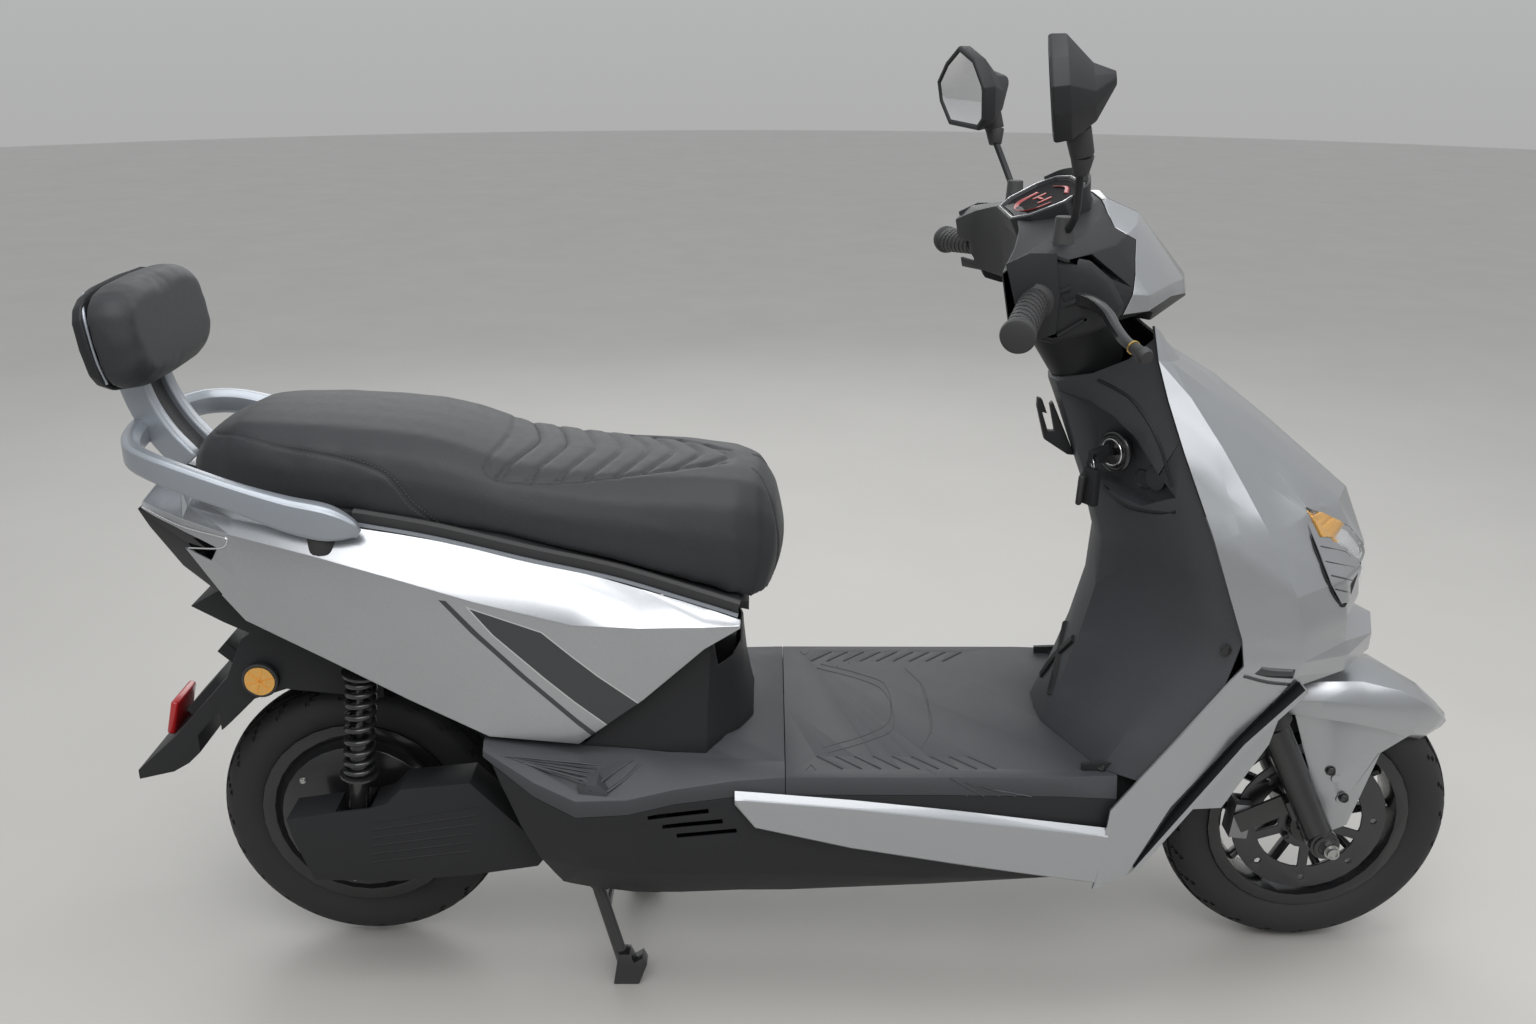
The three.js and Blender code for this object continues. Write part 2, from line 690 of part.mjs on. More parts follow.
function bellyCover() {
  const rows = rimShares.map(([x, y, z], i) => {
    const [uy, uz, cy, cz, by, bz, mz] = bellyShares[i];
    const half = [[y, z], [uy, uz], [cy, cz], [by, bz]];
    return [
      ...half.map(([v, w]) => place(x, v, w)),
      place(x, 0, mz),
      ...half.reverse().map(([v, w]) => place(x, -v, w)),
    ];
  });
  const vents = [];
  for (const side of [-1, 1]) {
    for (const [x, z] of ventShares) {
      vents.push(
        block(ventLength, floorHalf, ventHeight).rotateY(-ventRise)
          .translate(x * floorEnd + ventLength / 2, side * 1.1 * floorHalf, z * barHeight),
      );
    }
  }
  const railZ = railShares[1][1] * barHeight;
  const bossEnd = readOff(rimShares.map(([x, y]) => [x * floorEnd, y * floorHalf]), bellyBossX) - wall / 2;
  const boss = between(bellyBossX - bossRadiusSmall, bellyBossX + bossRadiusSmall,
    railHalf + railRadius + gap, bossEnd, railZ - bossRadiusSmall, railZ + bossRadiusSmall);
  return join(
    cut(
      sheet(rows, -wall),
      besideRim(-gap, 1),
      sideSlab(inXZ(bellyBackShares), 3 * floorHalf),
      between(standBayBack, standBayFront, -standBayHalf, standBayHalf, 0, batteryTop),
      ...vents,
    ),
    boss, mirrored(boss),
  );
}

// Floor mouldings: the rear one carries the pillion foot rests and the step round the seat foot
const floorShares = [
  // outer y, z; inner y, z; step foot z; step top z
  [0.92, 0.4, 0.87, 0.409, 0.41, 0.41],
  [1.07, 0.371, 0.85, 0.398, 0.402, 0.405],
  [1.15, 0.353, 0.84, 0.388, 0.394, 0.402],
  [1.115, 0.351, 0.83, 0.383, 0.388, 0.4],
  [1.05, 0.359, 0.82, 0.378, 0.38, 0.398],
  [1.0, 0.367, 0.8, 0.374, 0.374, 0.39],
  [0.985, 0.37, 0.8, 0.371, 0.3705, 0.3705],
];
const stepFootShare = 0.79;
const stepTopShare = 0.62;
const floorTopZ = 370;
const seamX = 602;
const restRibs = 5;
const restRibShares = [[0.3, 1.04, 0.3655], [0.38, 1.0, 0.3575]];
const restRibWidth = 4;
const restBlockShares = [[0.338, 0.372], [0.362, 0.372], [0.376, 0.36], [0.372, 0.348], [0.34, 0.352]];
const hingeSlotBack = 500;
const floorOpenFront = 392;
const floorOpenHalf = 150;
const floorBossX = 583;

const floorRows = () =>
  floorShares.map(([oy, oz, iy, iz, fz, tz], i) => {
    const [x, y, z] = rimShares[i];
    const at = Math.min(x, (seamX - gap) / floorEnd);
    const half = [[y, z], [oy, oz], [iy, iz], [stepFootShare, fz], [stepTopShare, tz]];
    return [
      ...half.map(([v, w]) => place(at, v, w)),
      place(at, 0, tz),
      ...half.reverse().map(([v, w]) => place(at, -v, w)),
    ];
  });

function floorRear() {
  const restBlock = moved(
    sideSlab(inXZ(restBlockShares), floorHalf / 6),
    0, restRibShares[0][1] * floorHalf - restRibWidth, 0,
  );
  const ribs = [];
  for (let k = 0; k < restRibs; k++) {
    const t = k / restRibs;
    const x = THREE.MathUtils.lerp(0.262, 0.318, t);
    const y = THREE.MathUtils.lerp(0.93, 1.05, t);
    ribs.push(
      strut(place(x - 0.03, y - 0.01, 0.3895 - 0.02 * t), place(x + 0.025, y + 0.035, 0.3765 - 0.02 * t), restRibWidth / 2, 4),
    );
  }
  const railTop = railShares[1][1] * barHeight + railRadius;
  const boss = between(floorBossX - bossRadiusSmall, floorBossX + bossRadiusSmall,
    railHalf - bossRadiusSmall, railHalf + bossRadiusSmall, railTop + gap, floorTopZ + wall);
  return join(
    cut(
      sheet(floorRows(), wall),
      besideRim(0, 0),
      between(0, floorOpenFront, -floorOpenHalf, floorOpenHalf, 0, barHeight),
      between(hingeSlotBack, hingeX + hingeEar + bearingGap, -hingeLugHalf - hingeEar - bearingGap,
        hingeLugHalf + hingeEar + bearingGap, 0, barHeight),
    ),
    bothSides(restBlock), ...ribs, ...ribs.map(mirrored), boss, mirrored(boss),
  );
}

// Front floor panel over the battery, its grip grooves cut in slanted rows
const lidFront = 1040;
const notchHalf = 48;
const notchBack = 966;
const grooveDepth = 1.5;
const grooveWidth = 3;
const grooveCount = 9;
const grooveShares = [[0.66, 0.5], [0.86, 0.86]];
const grooveRun = 46;
const lidBossX = 840;

function floorFront() {
  const xs = [seamX + gap, 0.8 * floorEnd, 0.96 * floorEnd, 1.03 * floorEnd];
  const edges = [floorShares[6][0], floorShares[6][0], floorShares[6][0], 0.96];
  const rows = xs.map((x, i) => {
    const [, y, z] = rimShares[6 + i];
    const half = [[y, z], [edges[i], floorTopZ / barHeight]];
    return [
      ...half.map(([v, w]) => place(x / floorEnd, v, w)),
      place(x / floorEnd, 0, floorTopZ / barHeight),
      ...half.reverse().map(([v, w]) => place(x / floorEnd, -v, w)),
    ];
  });
  const grooves = [];
  for (let k = 0; k < grooveCount; k++) {
    const t = k / (grooveCount - 1);
    const x = THREE.MathUtils.lerp(grooveShares[0][0], grooveShares[1][0], t) * floorEnd;
    for (const side of [-1, 1]) {
      grooves.push(
        block(grooveRun, grooveWidth, 2 * grooveDepth).rotateZ(side * Math.PI / 4)
          .translate(x, side * 0.8 * floorHalf, floorTopZ),
      );
    }
  }
  const railTop = railShares[1][1] * barHeight + railRadius;
  const bosses = [seamX + 2 * bossRadiusSmall, lidBossX].map((x) =>
    between(x - bossRadiusSmall, x + bossRadiusSmall, railHalf - bossRadiusSmall,
      railHalf + bossRadiusSmall, railTop + gap, floorTopZ - wall / 2));
  return join(
    cut(
      sheet(rows, wall + wall),
      besideRim(0, 0),
      between(notchBack, lidFront + cutOver, -notchHalf, notchHalf, 0, barHeight),
      ...grooves,
    ),
    ...bosses, ...bosses.map(mirrored),
  );
}

// Under-seat panel: the black front of the seat box, standing on the step
const seatBoxShares = [
  // z; side back x, y; corner x, y; cheek x, y; front x
  [0.375, 0.315, 0.795, 0.498, 0.77, 0.542, 0.54, 0.562],
  [0.4003, 0.345, 0.79, 0.5, 0.755, 0.54, 0.52, 0.556],
  [0.44, 0.385, 0.78, 0.5, 0.735, 0.537, 0.49, 0.549],
  [0.48, 0.43, 0.77, 0.503, 0.72, 0.535, 0.47, 0.545],
  [0.52, 0.472, 0.765, 0.505, 0.71, 0.533, 0.46, 0.543],
  [0.56, 0.5, 0.76, 0.51, 0.705, 0.533, 0.46, 0.543],
];
const seatBoxCutShares = [[0.5, 0.6], [0.514, 0.494], [0.62, 0.494], [0.62, 0.6]];

function underSeatPanel() {
  const rows = seatBoxShares.map(([z, bx, by, cx, cy, kx, ky, fx]) => {
    const half = [[bx, by], [cx, cy], [kx, ky], [fx, ky / 2]];
    return [
      ...half.map(([x, y]) => place(x, y, z)),
      place(fx, 0, z),
      ...half.reverse().map(([x, y]) => place(x, -y, z)),
    ];
  });
  const underStep = sheet(floorRows().map((row) => row.map((p) => lifted(p, gap))), floorHalf / 4);
  return cut(sheet(rows, -wall), sideSlab(inXZ(seatBoxCutShares), 2 * floorHalf), underStep);
}

// Side covers: bright upper facet, crease, lower facet that tucks under
const sideShares = [
  // x; top y, z; crease y, z; low y, z; bottom y, z
  [-0.206, 0.01, 0.731, 0.6, 0.718, 0.62, 0.711, 0.61, 0.704],
  [-0.179, 0.01, 0.722, 0.65, 0.709, 0.665, 0.695, 0.64, 0.675],
  [-0.15, 0.5, 0.716, 0.7, 0.701, 0.71, 0.675, 0.68, 0.642],
  [-0.085, 0.66, 0.713, 0.8, 0.687, 0.8, 0.63, 0.74, 0.566],
  [0.02, 0.755, 0.702, 0.9, 0.667, 0.89, 0.6, 0.81, 0.517],
  [0.12, 0.775, 0.688, 0.96, 0.642, 0.94, 0.56, 0.85, 0.465],
  [0.22, 0.78, 0.671, 0.985, 0.612, 0.96, 0.52, 0.865, 0.414],
  [0.335, 0.78, 0.642, 0.98, 0.582, 0.955, 0.5, 0.87, 0.404],
  [0.42, 0.78, 0.615, 0.955, 0.575, 0.93, 0.522, 0.875, 0.468],
  [0.5, 0.78, 0.589, 0.9, 0.572, 0.89, 0.556, 0.87, 0.54],
  [0.545, 0.79, 0.574, 0.85, 0.571, 0.855, 0.569, 0.855, 0.567],
];
const tailLightShares = [
  [-0.212, 0.709], [-0.107, 0.667], [-0.117, 0.65], [-0.154, 0.663], [-0.112, 0.6], [-0.128, 0.598],
  [-0.165, 0.632], [-0.2, 0.685],
];
const tailLightHalf = 124;
const tailLightWall = 9;
const sideBossX = 150;

const sideCrown = 0.003; // the upper facet's rise, as a share of the bar height
const sideRows = () =>
  sideShares.map(([x, ty, tz, cy, cz, ly, lz, by, bz]) => [
    place(x, ty, tz), place(x, (ty + cy) / 2, (tz + cz) / 2 + sideCrown),
    place(x, cy, cz), place(x, ly, lz), place(x, by, bz),
  ]);
const sideCoverThick = () => sheet(sideRows(), -floorHalf / 3);

function sideCover() {
  const bossZ = railShares[5][1] * barHeight;
  const boss = moved(
    rodY(bossRadiusSmall, floorHalf / 4, 10),
    sideBossX, seatRailHalf + railRadius + gap + gap + floorHalf / 8, bossZ,
  );
  return cut(
    join(sheet(sideRows(), -wall), common(boss, sideCoverThick())),
    sideSlab(grown(inXZ(tailLightShares), gap), 2 * floorHalf),
  );
}

// Tail light: one lens across the back, with an arm along each side cover
function tailLight() {
  const outline = inXZ(tailLightShares);
  const whole = sideSlab(outline, 2 * tailLightHalf);
  const hollow = moved(
    sideSlab(outline, 2 * (tailLightHalf - tailLightWall)),
    tailLightWall, 0, 0,
  );
  return cut(whole, hollow);
}

// A bar of constant section along a path. The section is given across and up.
function barAlong(points, section) {
  const up = new THREE.Vector3(0, 0, 1);
  return loft(
    points.map((p, i) => {
      const next = points[Math.min(points.length - 1, i + 1)];
      const last = points[Math.max(0, i - 1)];
      const across = next.clone().sub(last).cross(up).normalize();
      return section.map(([u, v]) => p.clone().addScaledVector(across, u).addScaledVector(up, v));
    }),
  );
}

// Front cover, as rows of shares from the rim beside the leg shield round to the nose
const frontShares = [
  // z; rim x, y; cheek x, y; brow x, y; beak x, y; nose x; drop of the nose
  [0.212, 1.006, 1.06, 1.04, 1.03, 1.1, 0.82, 1.13, 0.42, 1.14],
  [0.229, 1.01, 1.06, 1.05, 1.03, 1.1, 0.82, 1.13, 0.42, 1.14],
  [0.33, 1.02, 1.06, 1.1, 1.01, 1.16, 0.8, 1.19, 0.42, 1.2],
  [0.43, 1.093, 1.065, 1.18, 0.97, 1.25, 0.75, 1.28, 0.4, 1.29],
  [0.493, 1.138, 1.065, 1.225, 0.99, 1.325, 0.68, 1.384, 0.35, 1.411],
  [0.517, 1.155, 1.062, 1.24, 1.0, 1.328, 0.69, 1.385, 0.35, 1.411],
  [0.535, 1.168, 1.06, 1.245, 1.0, 1.322, 0.68, 1.345, 0.34, 1.362],
  [0.57, 1.163, 1.045, 1.243, 0.99, 1.32, 0.68, 1.36, 0.34, 1.377],
  [0.62, 1.145, 1.025, 1.23, 0.97, 1.31, 0.67, 1.362, 0.34, 1.388],
  [0.7, 1.117, 0.99, 1.19, 0.9, 1.26, 0.59, 1.32, 0.29, 1.352],
  [0.8, 1.078, 0.875, 1.13, 0.78, 1.18, 0.5, 1.215, 0.25, 1.23],
  [0.86, 1.058, 0.775, 1.09, 0.7, 1.125, 0.48, 1.15, 0.25, 1.16, 0.006],
  [0.905, 1.046, 0.7, 1.065, 0.64, 1.085, 0.45, 1.098, 0.22, 1.105, 0.018],
  [0.945, 1.04, 0.65, 1.05, 0.6, 1.06, 0.42, 1.07, 0.2, 1.075, 0.034],
];
const archShares = [
  [0.99, 0.19], [1.018, 0.216], [1.064, 0.232], [1.19, 0.417], [1.257, 0.494], [1.5, 0.4935], [1.5, 0.1], [0.99, 0.1],
];
const flapShares = [[1.085, 0.302], [1.115, 0.297], [1.182, 0.301], [1.234, 0.396], [1.257, 0.5], [1.15, 0.5], [1.1, 0.4]];
const flapHalfShare = 0.775;
const webShares = [
  [1.06, 0.24], [1.184, 0.424], [1.251, 0.5], [1.256, 0.4965], [1.188, 0.419], [1.0645, 0.235],
];
const sillShares = [
  // x; top z; bottom z
  [0.537, 0.354, 0.334], [0.563, 0.352, 0.3], [0.687, 0.341, 0.27], [0.82, 0.326, 0.247], [0.957, 0.308, 0.226], [1.02, 0.3, 0.216],
];
const sillClips = [0.62, 0.86];
const lampShares = [
  [0, 0.61], [0.575, 0.712], [0.6, 0.7], [0.5, 0.65], [0.32, 0.565], [0.15, 0.538], [0, 0.5355],
  [-0.15, 0.538], [-0.32, 0.565], [-0.5, 0.65], [-0.6, 0.7], [-0.575, 0.712],
];
const lampDepth = 40;

const frontRows = () =>
  frontShares.map(([z, rx, ry, cx, cy, bx, by, kx, ky, nx, drop = 0]) => {
    const half = [[rx, ry, z], [cx, cy, z - drop / 4], [bx, by, z - drop * 0.6], [kx, ky, z - drop * 0.9]];
    return [
      ...half.map(([x, y, w]) => place(x, y, w)),
      place(nx, 0, z - drop),
      ...half.reverse().map(([x, y, w]) => place(x, -y, w)),
    ];
  });

function frontCover() {
  const sill = sheet(
    sillShares.map(([x, top, bottom]) => [
      place(x, 1.032, top + 0.001), place(x, 1.066, top - 0.009),
      place(x, 1.056, bottom + 0.004), place(x, 1.034, bottom),
    ]),
    -wall,
  );
  const clips = sillClips.map((x) =>
    between(x * floorEnd - bossRadiusSmall, x * floorEnd + bossRadiusSmall,
      1.0225 * floorHalf + gap, 1.05 * floorHalf, 0.3 * barHeight, 0.31 * barHeight));
  const flap = moved(
    sideSlab(inXZ(flapShares), wall), 0, flapHalfShare * floorHalf, 0,
  );
  const webWidth = (1.03 - flapHalfShare) * floorHalf;
  const web = moved(
    sideSlab(inXZ(webShares), webWidth), 0, flapHalfShare * floorHalf + webWidth / 2, 0,
  );
  const side = join(sill, ...clips);
  const inner = join(flap, web);
  return join(
    cut(
      sheet(frontRows(), -wall),
      sideSlab(inXZ(archShares), 4 * floorHalf),
      frontSlab(grown(inYZ(lampShares), gap), floorEnd, floorEnd * 1.2),
    ),
    side, mirrored(side), inner, mirrored(inner),
  );
}

const headlight = () =>
  common(
    sheet(frontRows(), -lampDepth),
    frontSlab(inYZ(lampShares), floorEnd, floorEnd * 1.2),
  );

// Leg shield: spine, two pockets and a saddle for the steering cover
const legShares = [
  // z; wing x, y; shoulder x, y; spine side x, y; spine x
  [0.3706, 1.012, 0.88, 0.985, 0.55, 0.957, 0.2, 0.955],
  [0.42, 1.04, 0.87, 1.01, 0.5, 0.978, 0.2, 0.975],
  [0.5, 1.1, 0.85, 1.05, 0.5, 1.003, 0.18, 1.0],
  [0.571, 1.123, 0.83, 1.073, 0.48, 1.02, 0.17, 1.017],
  [0.636, 1.1, 0.81, 1.06, 0.45, 1.024, 0.17, 1.021],
  [0.7, 1.08, 0.77, 1.035, 0.42, 1.005, 0.16, 1.001],
  [0.76, 1.06, 0.7, 1.015, 0.4, 0.982, 0.15, 0.978],
  [0.815, 1.045, 0.64, 1.0, 0.38, 0.962, 0.14, 0.957],
  [0.85, 1.036, 0.57, 0.99, 0.33, 0.948, 0.14, 0.943],
];
const legTop = [[0.928, 1.044, 0.6], [0.897, 1.02, 0.5], [0.87, 0.985, 0.32], [0.857, 0.953, 0.14], [0.853, 0.948, 0]];
const pocketShares = [
  [0.14, 0.838], [0.3, 0.833], [0.45, 0.82], [0.55, 0.802], [0.78, 0.737], [0.55, 0.71], [0.3, 0.715], [0.15, 0.729],
];
const pocketDepth = 26;
const tuck = 4; // how far the shield's rim passes behind the front cover's
const capRadius = 16;
const capRise = 2.5;
const capShares = [0.52, 0.745];
const trayShares = [0.45, 0.853];
const legBossZ = 640;

function legRows() {
  const frontRim = (column) => frontShares.map((row) => [row[0], row[column]]);
  return [
    ...legShares.map(([z, wx, wy, sx, sy, px, py, mx]) => {
      const [rx, ry, cx, cy] = [1, 2, 3, 4].map((column) => readOff(frontRim(column), z));
      const slope = ((ry - cy) * floorHalf) / ((cx - rx) * floorEnd);
      const inward = (tuck + wall) * slope + wall * Math.hypot(1, slope) + 2 * gap;
      const [rimX, rimY] = [rx + tuck / floorEnd, ry - inward / floorHalf];
      return [[rimX, rimY, z], [wx, wy, z], [sx, sy, z], [px, py, z], [mx, 0, z]];
    }),
    legTop.map(([z, x, y]) => [x, y, z]),
  ].map((half) => [
    ...half.map(([x, y, z]) => place(x, y, z)),
    ...half.slice(0, -1).reverse().map(([x, y, z]) => place(x, -y, z)),
  ]);
}

// Where the surface of the pocket's floor lies, and which way it faces.
const pocketTurn = Math.atan2(0.54, 0.85);
const pocketFloor = (yShare, zShare) => {
  const rows = legRows();
  const at = rows.findIndex((row) => row[0].z >= zShare * barHeight && row[4].z >= zShare * barHeight);
  const t = (zShare * barHeight - rows[at - 1][4].z) / (rows[at][4].z - rows[at - 1][4].z);
  const line = rows[at].map((p, j) => rows[at - 1][j].clone().lerp(p, t));
  const table = line.slice(0, 5).map((p) => [p.y, p.x]).reverse();
  return readOff(table, yShare * floorHalf) + pocketDepth / Math.cos(pocketTurn);
};

function legShield() {
  const rows = legRows();
  const outer = rows.map((row) => row.map((p) => p.clone().setX(p.x - cutOver)));
  const pocket = (side) => side > 0
    ? frontSlab(inYZ(pocketShares), floorEnd / 2, floorEnd * 0.8)
    : mirrored(frontSlab(inYZ(pocketShares), floorEnd / 2, floorEnd * 0.8));
  const tub = (side) => {
    const walls = frontSlab(grown(inYZ(pocketShares), wall), floorEnd / 2, floorEnd * 0.8);
    return common(sheet(rows, pocketDepth + wall), side > 0 ? walls : mirrored(walls));
  };
  const hollow = (side) => common(sheet(outer, pocketDepth + cutOver), pocket(side));
  const cap = moved(rodX(capRadius, 2 * capRise, 20), 0, 0, 0)
    .rotateZ(pocketTurn)
    .translate(pocketFloor(capShares[0], capShares[1]), -capShares[0] * floorHalf, capShares[1] * barHeight);
  return join(
    cut(
      join(sheet(rows, wall), tub(1), tub(-1)), hollow(1), hollow(-1),
      between(0, 2 * floorEnd, -2 * floorHalf, 2 * floorHalf, 0, floorTopZ + gap),
    ),
    cap,
  );
}

// Ignition lock on the floor of the right pocket, with its key and the fob that hangs from it
const lockShares = [0.33, 0.77];
const lockRadius = 21;
const lockRing = 3;
const lockHeight = 16;
const keyEase = 0.6; // clearance of the blade as it turns in its bore
const keyBlade = 1.2;
const keyLength = 26;
const keyWidth = 24;
const keyHeight = 30;
const keyThick = 7;
const fobLength = 48;
const fobWidth = 22;
const fobThick = 10;
const fobRing = 9;
const fobWire = 1.2;

const lockX = pocketFloor(lockShares[0], lockShares[1]) - gap - wall;
const lockGroup = groupAt(scooter, lockX, -lockShares[0] * floorHalf, lockShares[1] * barHeight);
lockGroup.rotation.z = pocketTurn;

function ignitionLock() {
  return cut(
    join(
      moved(rodX(lockRadius, lockHeight, 18), -lockHeight / 2, 0, 0),
      cut(
        moved(rodX(lockRadius + lockRing, lockHeight / 2, 18), -lockHeight / 2, 0, 0),
        moved(rodX(lockRadius - lockRing, lockHeight, 18), -lockHeight, 0, 0),
      ),
    ),
    moved(rodX(keyWidth / 6 + keyEase, keyLength, 12), -keyLength / 2 - wall, 0, 0),
    moved(rodX(lockRadius - lockRing, wall, 18), -lockHeight, 0, 0),
  );
}

function ignitionKey() {
  const blade = moved(block(keyLength, keyBlade, keyWidth / 3), -keyLength / 2 - wall - gap, 0, 0);
  const head = cut(
    moved(
      sideSlab(
        [[-keyHeight, -keyWidth / 3], [-keyHeight, keyWidth / 3], [0, keyWidth / 2], [0, -keyWidth / 2]],
        keyThick,
      ),
      -keyLength, 0, 0,
    ),
    moved(rodY(wall, 2 * keyThick, 10), -keyLength - keyHeight + wall + wall, 0, 0),
  );
  return join(blade, head);
}

function keyFob() {
  const ring = new THREE.TorusGeometry(fobRing, fobWire, 5, 14);
  const tag = moved(block(fobThick, fobWidth, fobLength), 0, 0, -fobRing * 2 - fobLength / 2 + 2 * fobWire);
  return join(ring.rotateY(Math.PI / 2).translate(0, 0, -fobRing), tag);
}

// Bag hook on the spine
const hookShares = [
  [0.9475, 0.813], [0.951, 0.817], [0.9845, 0.744], [0.975, 0.745], [0.958, 0.756], [0.943, 0.766], [0.931, 0.81],
  [0.931, 0.822], [0.937, 0.82], [0.9445, 0.801], [0.938, 0.803], [0.947, 0.777], [0.956, 0.777],
];
const hookHalf = 6;
const bagHook = () =>
  cut(sideSlab(inXZ(hookShares), 2 * hookHalf), sheet(
    legRows().map((row) => row.map((p) => p.clone().setX(p.x - 2 * gap))), floorHalf / 4));

// Seat: pan hinged at the front, cushion on top
const seatStations = [
  // x; half width; crown z
  [-0.174, 0.25, 0.782], [-0.155, 0.43, 0.805], [-0.105, 0.58, 0.825], [-0.06, 0.65, 0.828],
  [0.01, 0.71, 0.827], [0.08, 0.74, 0.822], [0.14, 0.75, 0.815], [0.185, 0.755, 0.803], [0.25, 0.765, 0.776],
  [0.32, 0.77, 0.765], [0.395, 0.76, 0.757], [0.47, 0.735, 0.755], [0.54, 0.675, 0.748],
  [0.571, 0.58, 0.737], [0.592, 0.42, 0.7], [0.605, 0.22, 0.64],
];
const panThick = 12;
const panInset = 4;

function seatCushion() {
  const rings = seatStations.map(([x, half, crown]) => {
    const line = seatHeight(x * floorEnd) / barHeight;
    const h = crown - line;
    const section = [
      [0, line], [half * 0.6, line], [half * 0.97, line], [half * 1.0, line + h * 0.18], [half * 0.985, line + h * 0.5],
      [half * 0.9, line + h * 0.78], [half * 0.62, line + h * 0.95], [half * 0.3, line + h * 0.99],
    ];
    return [
      ...section.map(([y, z]) => place(x, y, z)),
      place(x, 0, crown),
      ...section.slice(1).reverse().map(([y, z]) => place(x, -y, z)),
    ];
  });
  return loft(rings);
}

function seatBase() {
  const rings = seatStations.slice(1, -1).map(([x, half]) => {
    const top = seatHeight(x * floorEnd) - gap;
    const y = half * floorHalf - panInset;
    return [
      [y, top], [y, top - panThick], [-y, top - panThick], [-y, top],
    ].map(([v, w]) => new THREE.Vector3(x * floorEnd, v, w));
  });
  const knuckle = cut(
    join(
      moved(rodY(hingePinRadius + strapThick, 2 * (hingeLugHalf - bearingGap), 16), hingeX, 0, hingeZ),
      between(hingeX - hingePinRadius - strapThick, hingeX + hingePinRadius + strapThick,
        -hingeLugHalf + bearingGap, hingeLugHalf - bearingGap, hingeZ, seatHeight(hingeX) - panThick + wall),
    ),
    moved(rodY(hingePinRadius + gap, 4 * hingeLugHalf, 14), hingeX, 0, hingeZ),
  );
  return join(loft(rings), knuckle);
}

// Storage bucket under the seat, hung between the seat rails
const bucketShares = [[0.075, 0.47], [0.33, 0.47], [0.4, 0.52]];
const bucketHalf = 105;
const bucketFront = 400;
const bucketBack = 75;

function storageBucket() {
  const rim = [bucketFront, ...seatLine.slice(2, 5).map(([x]) => x).reverse(), bucketBack]
    .map((x) => [x, seatHeight(x) - panThick - gap - gap]);
  const outline = [...inXZ(bucketShares), ...rim];
  const inner = [
    [bucketBack + wall, bucketShares[0][1] * barHeight + wall],
    [bucketShares[1][0] * floorEnd - 1, bucketShares[1][1] * barHeight + wall],
    [bucketFront - wall, bucketShares[2][1] * barHeight + 1],
    [bucketFront - wall, barHeight], [bucketBack + wall, barHeight],
  ];
  const tabs = [bucketBack + bossRadiusSmall, 0.2 * floorEnd].map((x) =>
    between(x - bossRadiusSmall, x + bossRadiusSmall, bucketHalf - wall, seatRailHalf + railRadius,
      0.64 * barHeight, 0.64 * barHeight + wall));
  return join(
    cut(sideSlab(outline, 2 * bucketHalf), sideSlab(inner, 2 * (bucketHalf - wall))),
    ...tabs, ...tabs.map(mirrored),
  );
}

// Grab rail with the bracket of the backrest
const railPathShares = [
  [0.087, 0.86, 0.701], [0.055, 0.865, 0.712], [0.02, 0.86, 0.724], [-0.05, 0.83, 0.742], [-0.11, 0.79, 0.76],
  [-0.165, 0.7, 0.776], [-0.2, 0.52, 0.786], [-0.222, 0.28, 0.79], [-0.228, 0, 0.79],
];
const railSection = [[-11, -12], [9, -12], [15, -4], [13, 8], [5, 12], [-7, 12], [-14, 4]];
const puckRadius = 10;
const puckSpots = [[0.045, 0.865, 0.71], [-0.1, 0.75, 0.755]];
const puckDrops = [0.045, 0.07];
const stayShares = [[-0.215, 0.785], [-0.232, 0.79], [-0.257, 0.86], [-0.2645, 0.903], [-0.2494, 0.903], [-0.2422, 0.862]];
const stayHalf = 34;
const stayWidth = 12;

function grabRail() {
  const half = railPathShares.map(([x, y, z]) => place(x, y, z));
  const path = [...half, ...half.slice(0, -1).reverse().map((p) => p.clone().setY(-p.y))];
  const stay = moved(sideSlab(inXZ(stayShares), stayWidth), 0, stayHalf, 0);
  const puck = (spot, i) => cut(
    strut(place(...spot), place(spot[0], spot[1], spot[2] - puckDrops[i]), puckRadius, 10),
    moved(sideCoverThick(), 0, 0, gap),
  );
  const pucks = puckSpots.map(puck).map(biggest);
  return join(barAlong(path, railSection), bothSides(stay), ...pucks, ...pucks.map(mirrored));
}

// The largest of the bodies that a cut leaves.
const biggest = (geometry) =>
  shaped(solid(geometry).decompose().reduce((a, b) => (b.volume() > a.volume() ? b : a)));

// Backrest: a shell and a pad, leaning back
const backrestLean = THREE.MathUtils.degToRad(10);
const backrestX = -236;
const backrestZ = 932;
const backrestHalfWidth = 132;
const backrestHalfHeight = 64;
const shellDepth = 18;
const padDepth = 52;

function cushionForm(layers, lift) {
  return loft(
    layers.map(([x, scale]) =>
      Array.from({ length: 20 }, (_, k) => {
        const angle = (2 * Math.PI * k) / 20;
        const [c, s] = [Math.cos(angle), Math.sin(angle)];
        const round = (v) => Math.sign(v) * Math.abs(v) ** 0.55;
        return new THREE.Vector3(
          x - lift * Math.abs(round(c)) ** 2,
          round(c) * (backrestHalfWidth - (1 - scale) * backrestHalfHeight),
          round(s) * backrestHalfHeight * scale,
        );
      })),
  ).rotateY(-backrestLean).translate(backrestX, 0, backrestZ);
}
const backrestShell = () =>
  cushionForm([[-shellDepth, 0.8], [-shellDepth + wall, 0.92], [-wall, 0.99], [0, 0.97]], 0);
const backrestPad = () =>
  cushionForm(
    [[gap, 0.96], [wall + wall, 1.02], [padDepth / 2, 1.02], [padDepth * 0.8, 0.93], [padDepth, 0.74]], 0,
  );

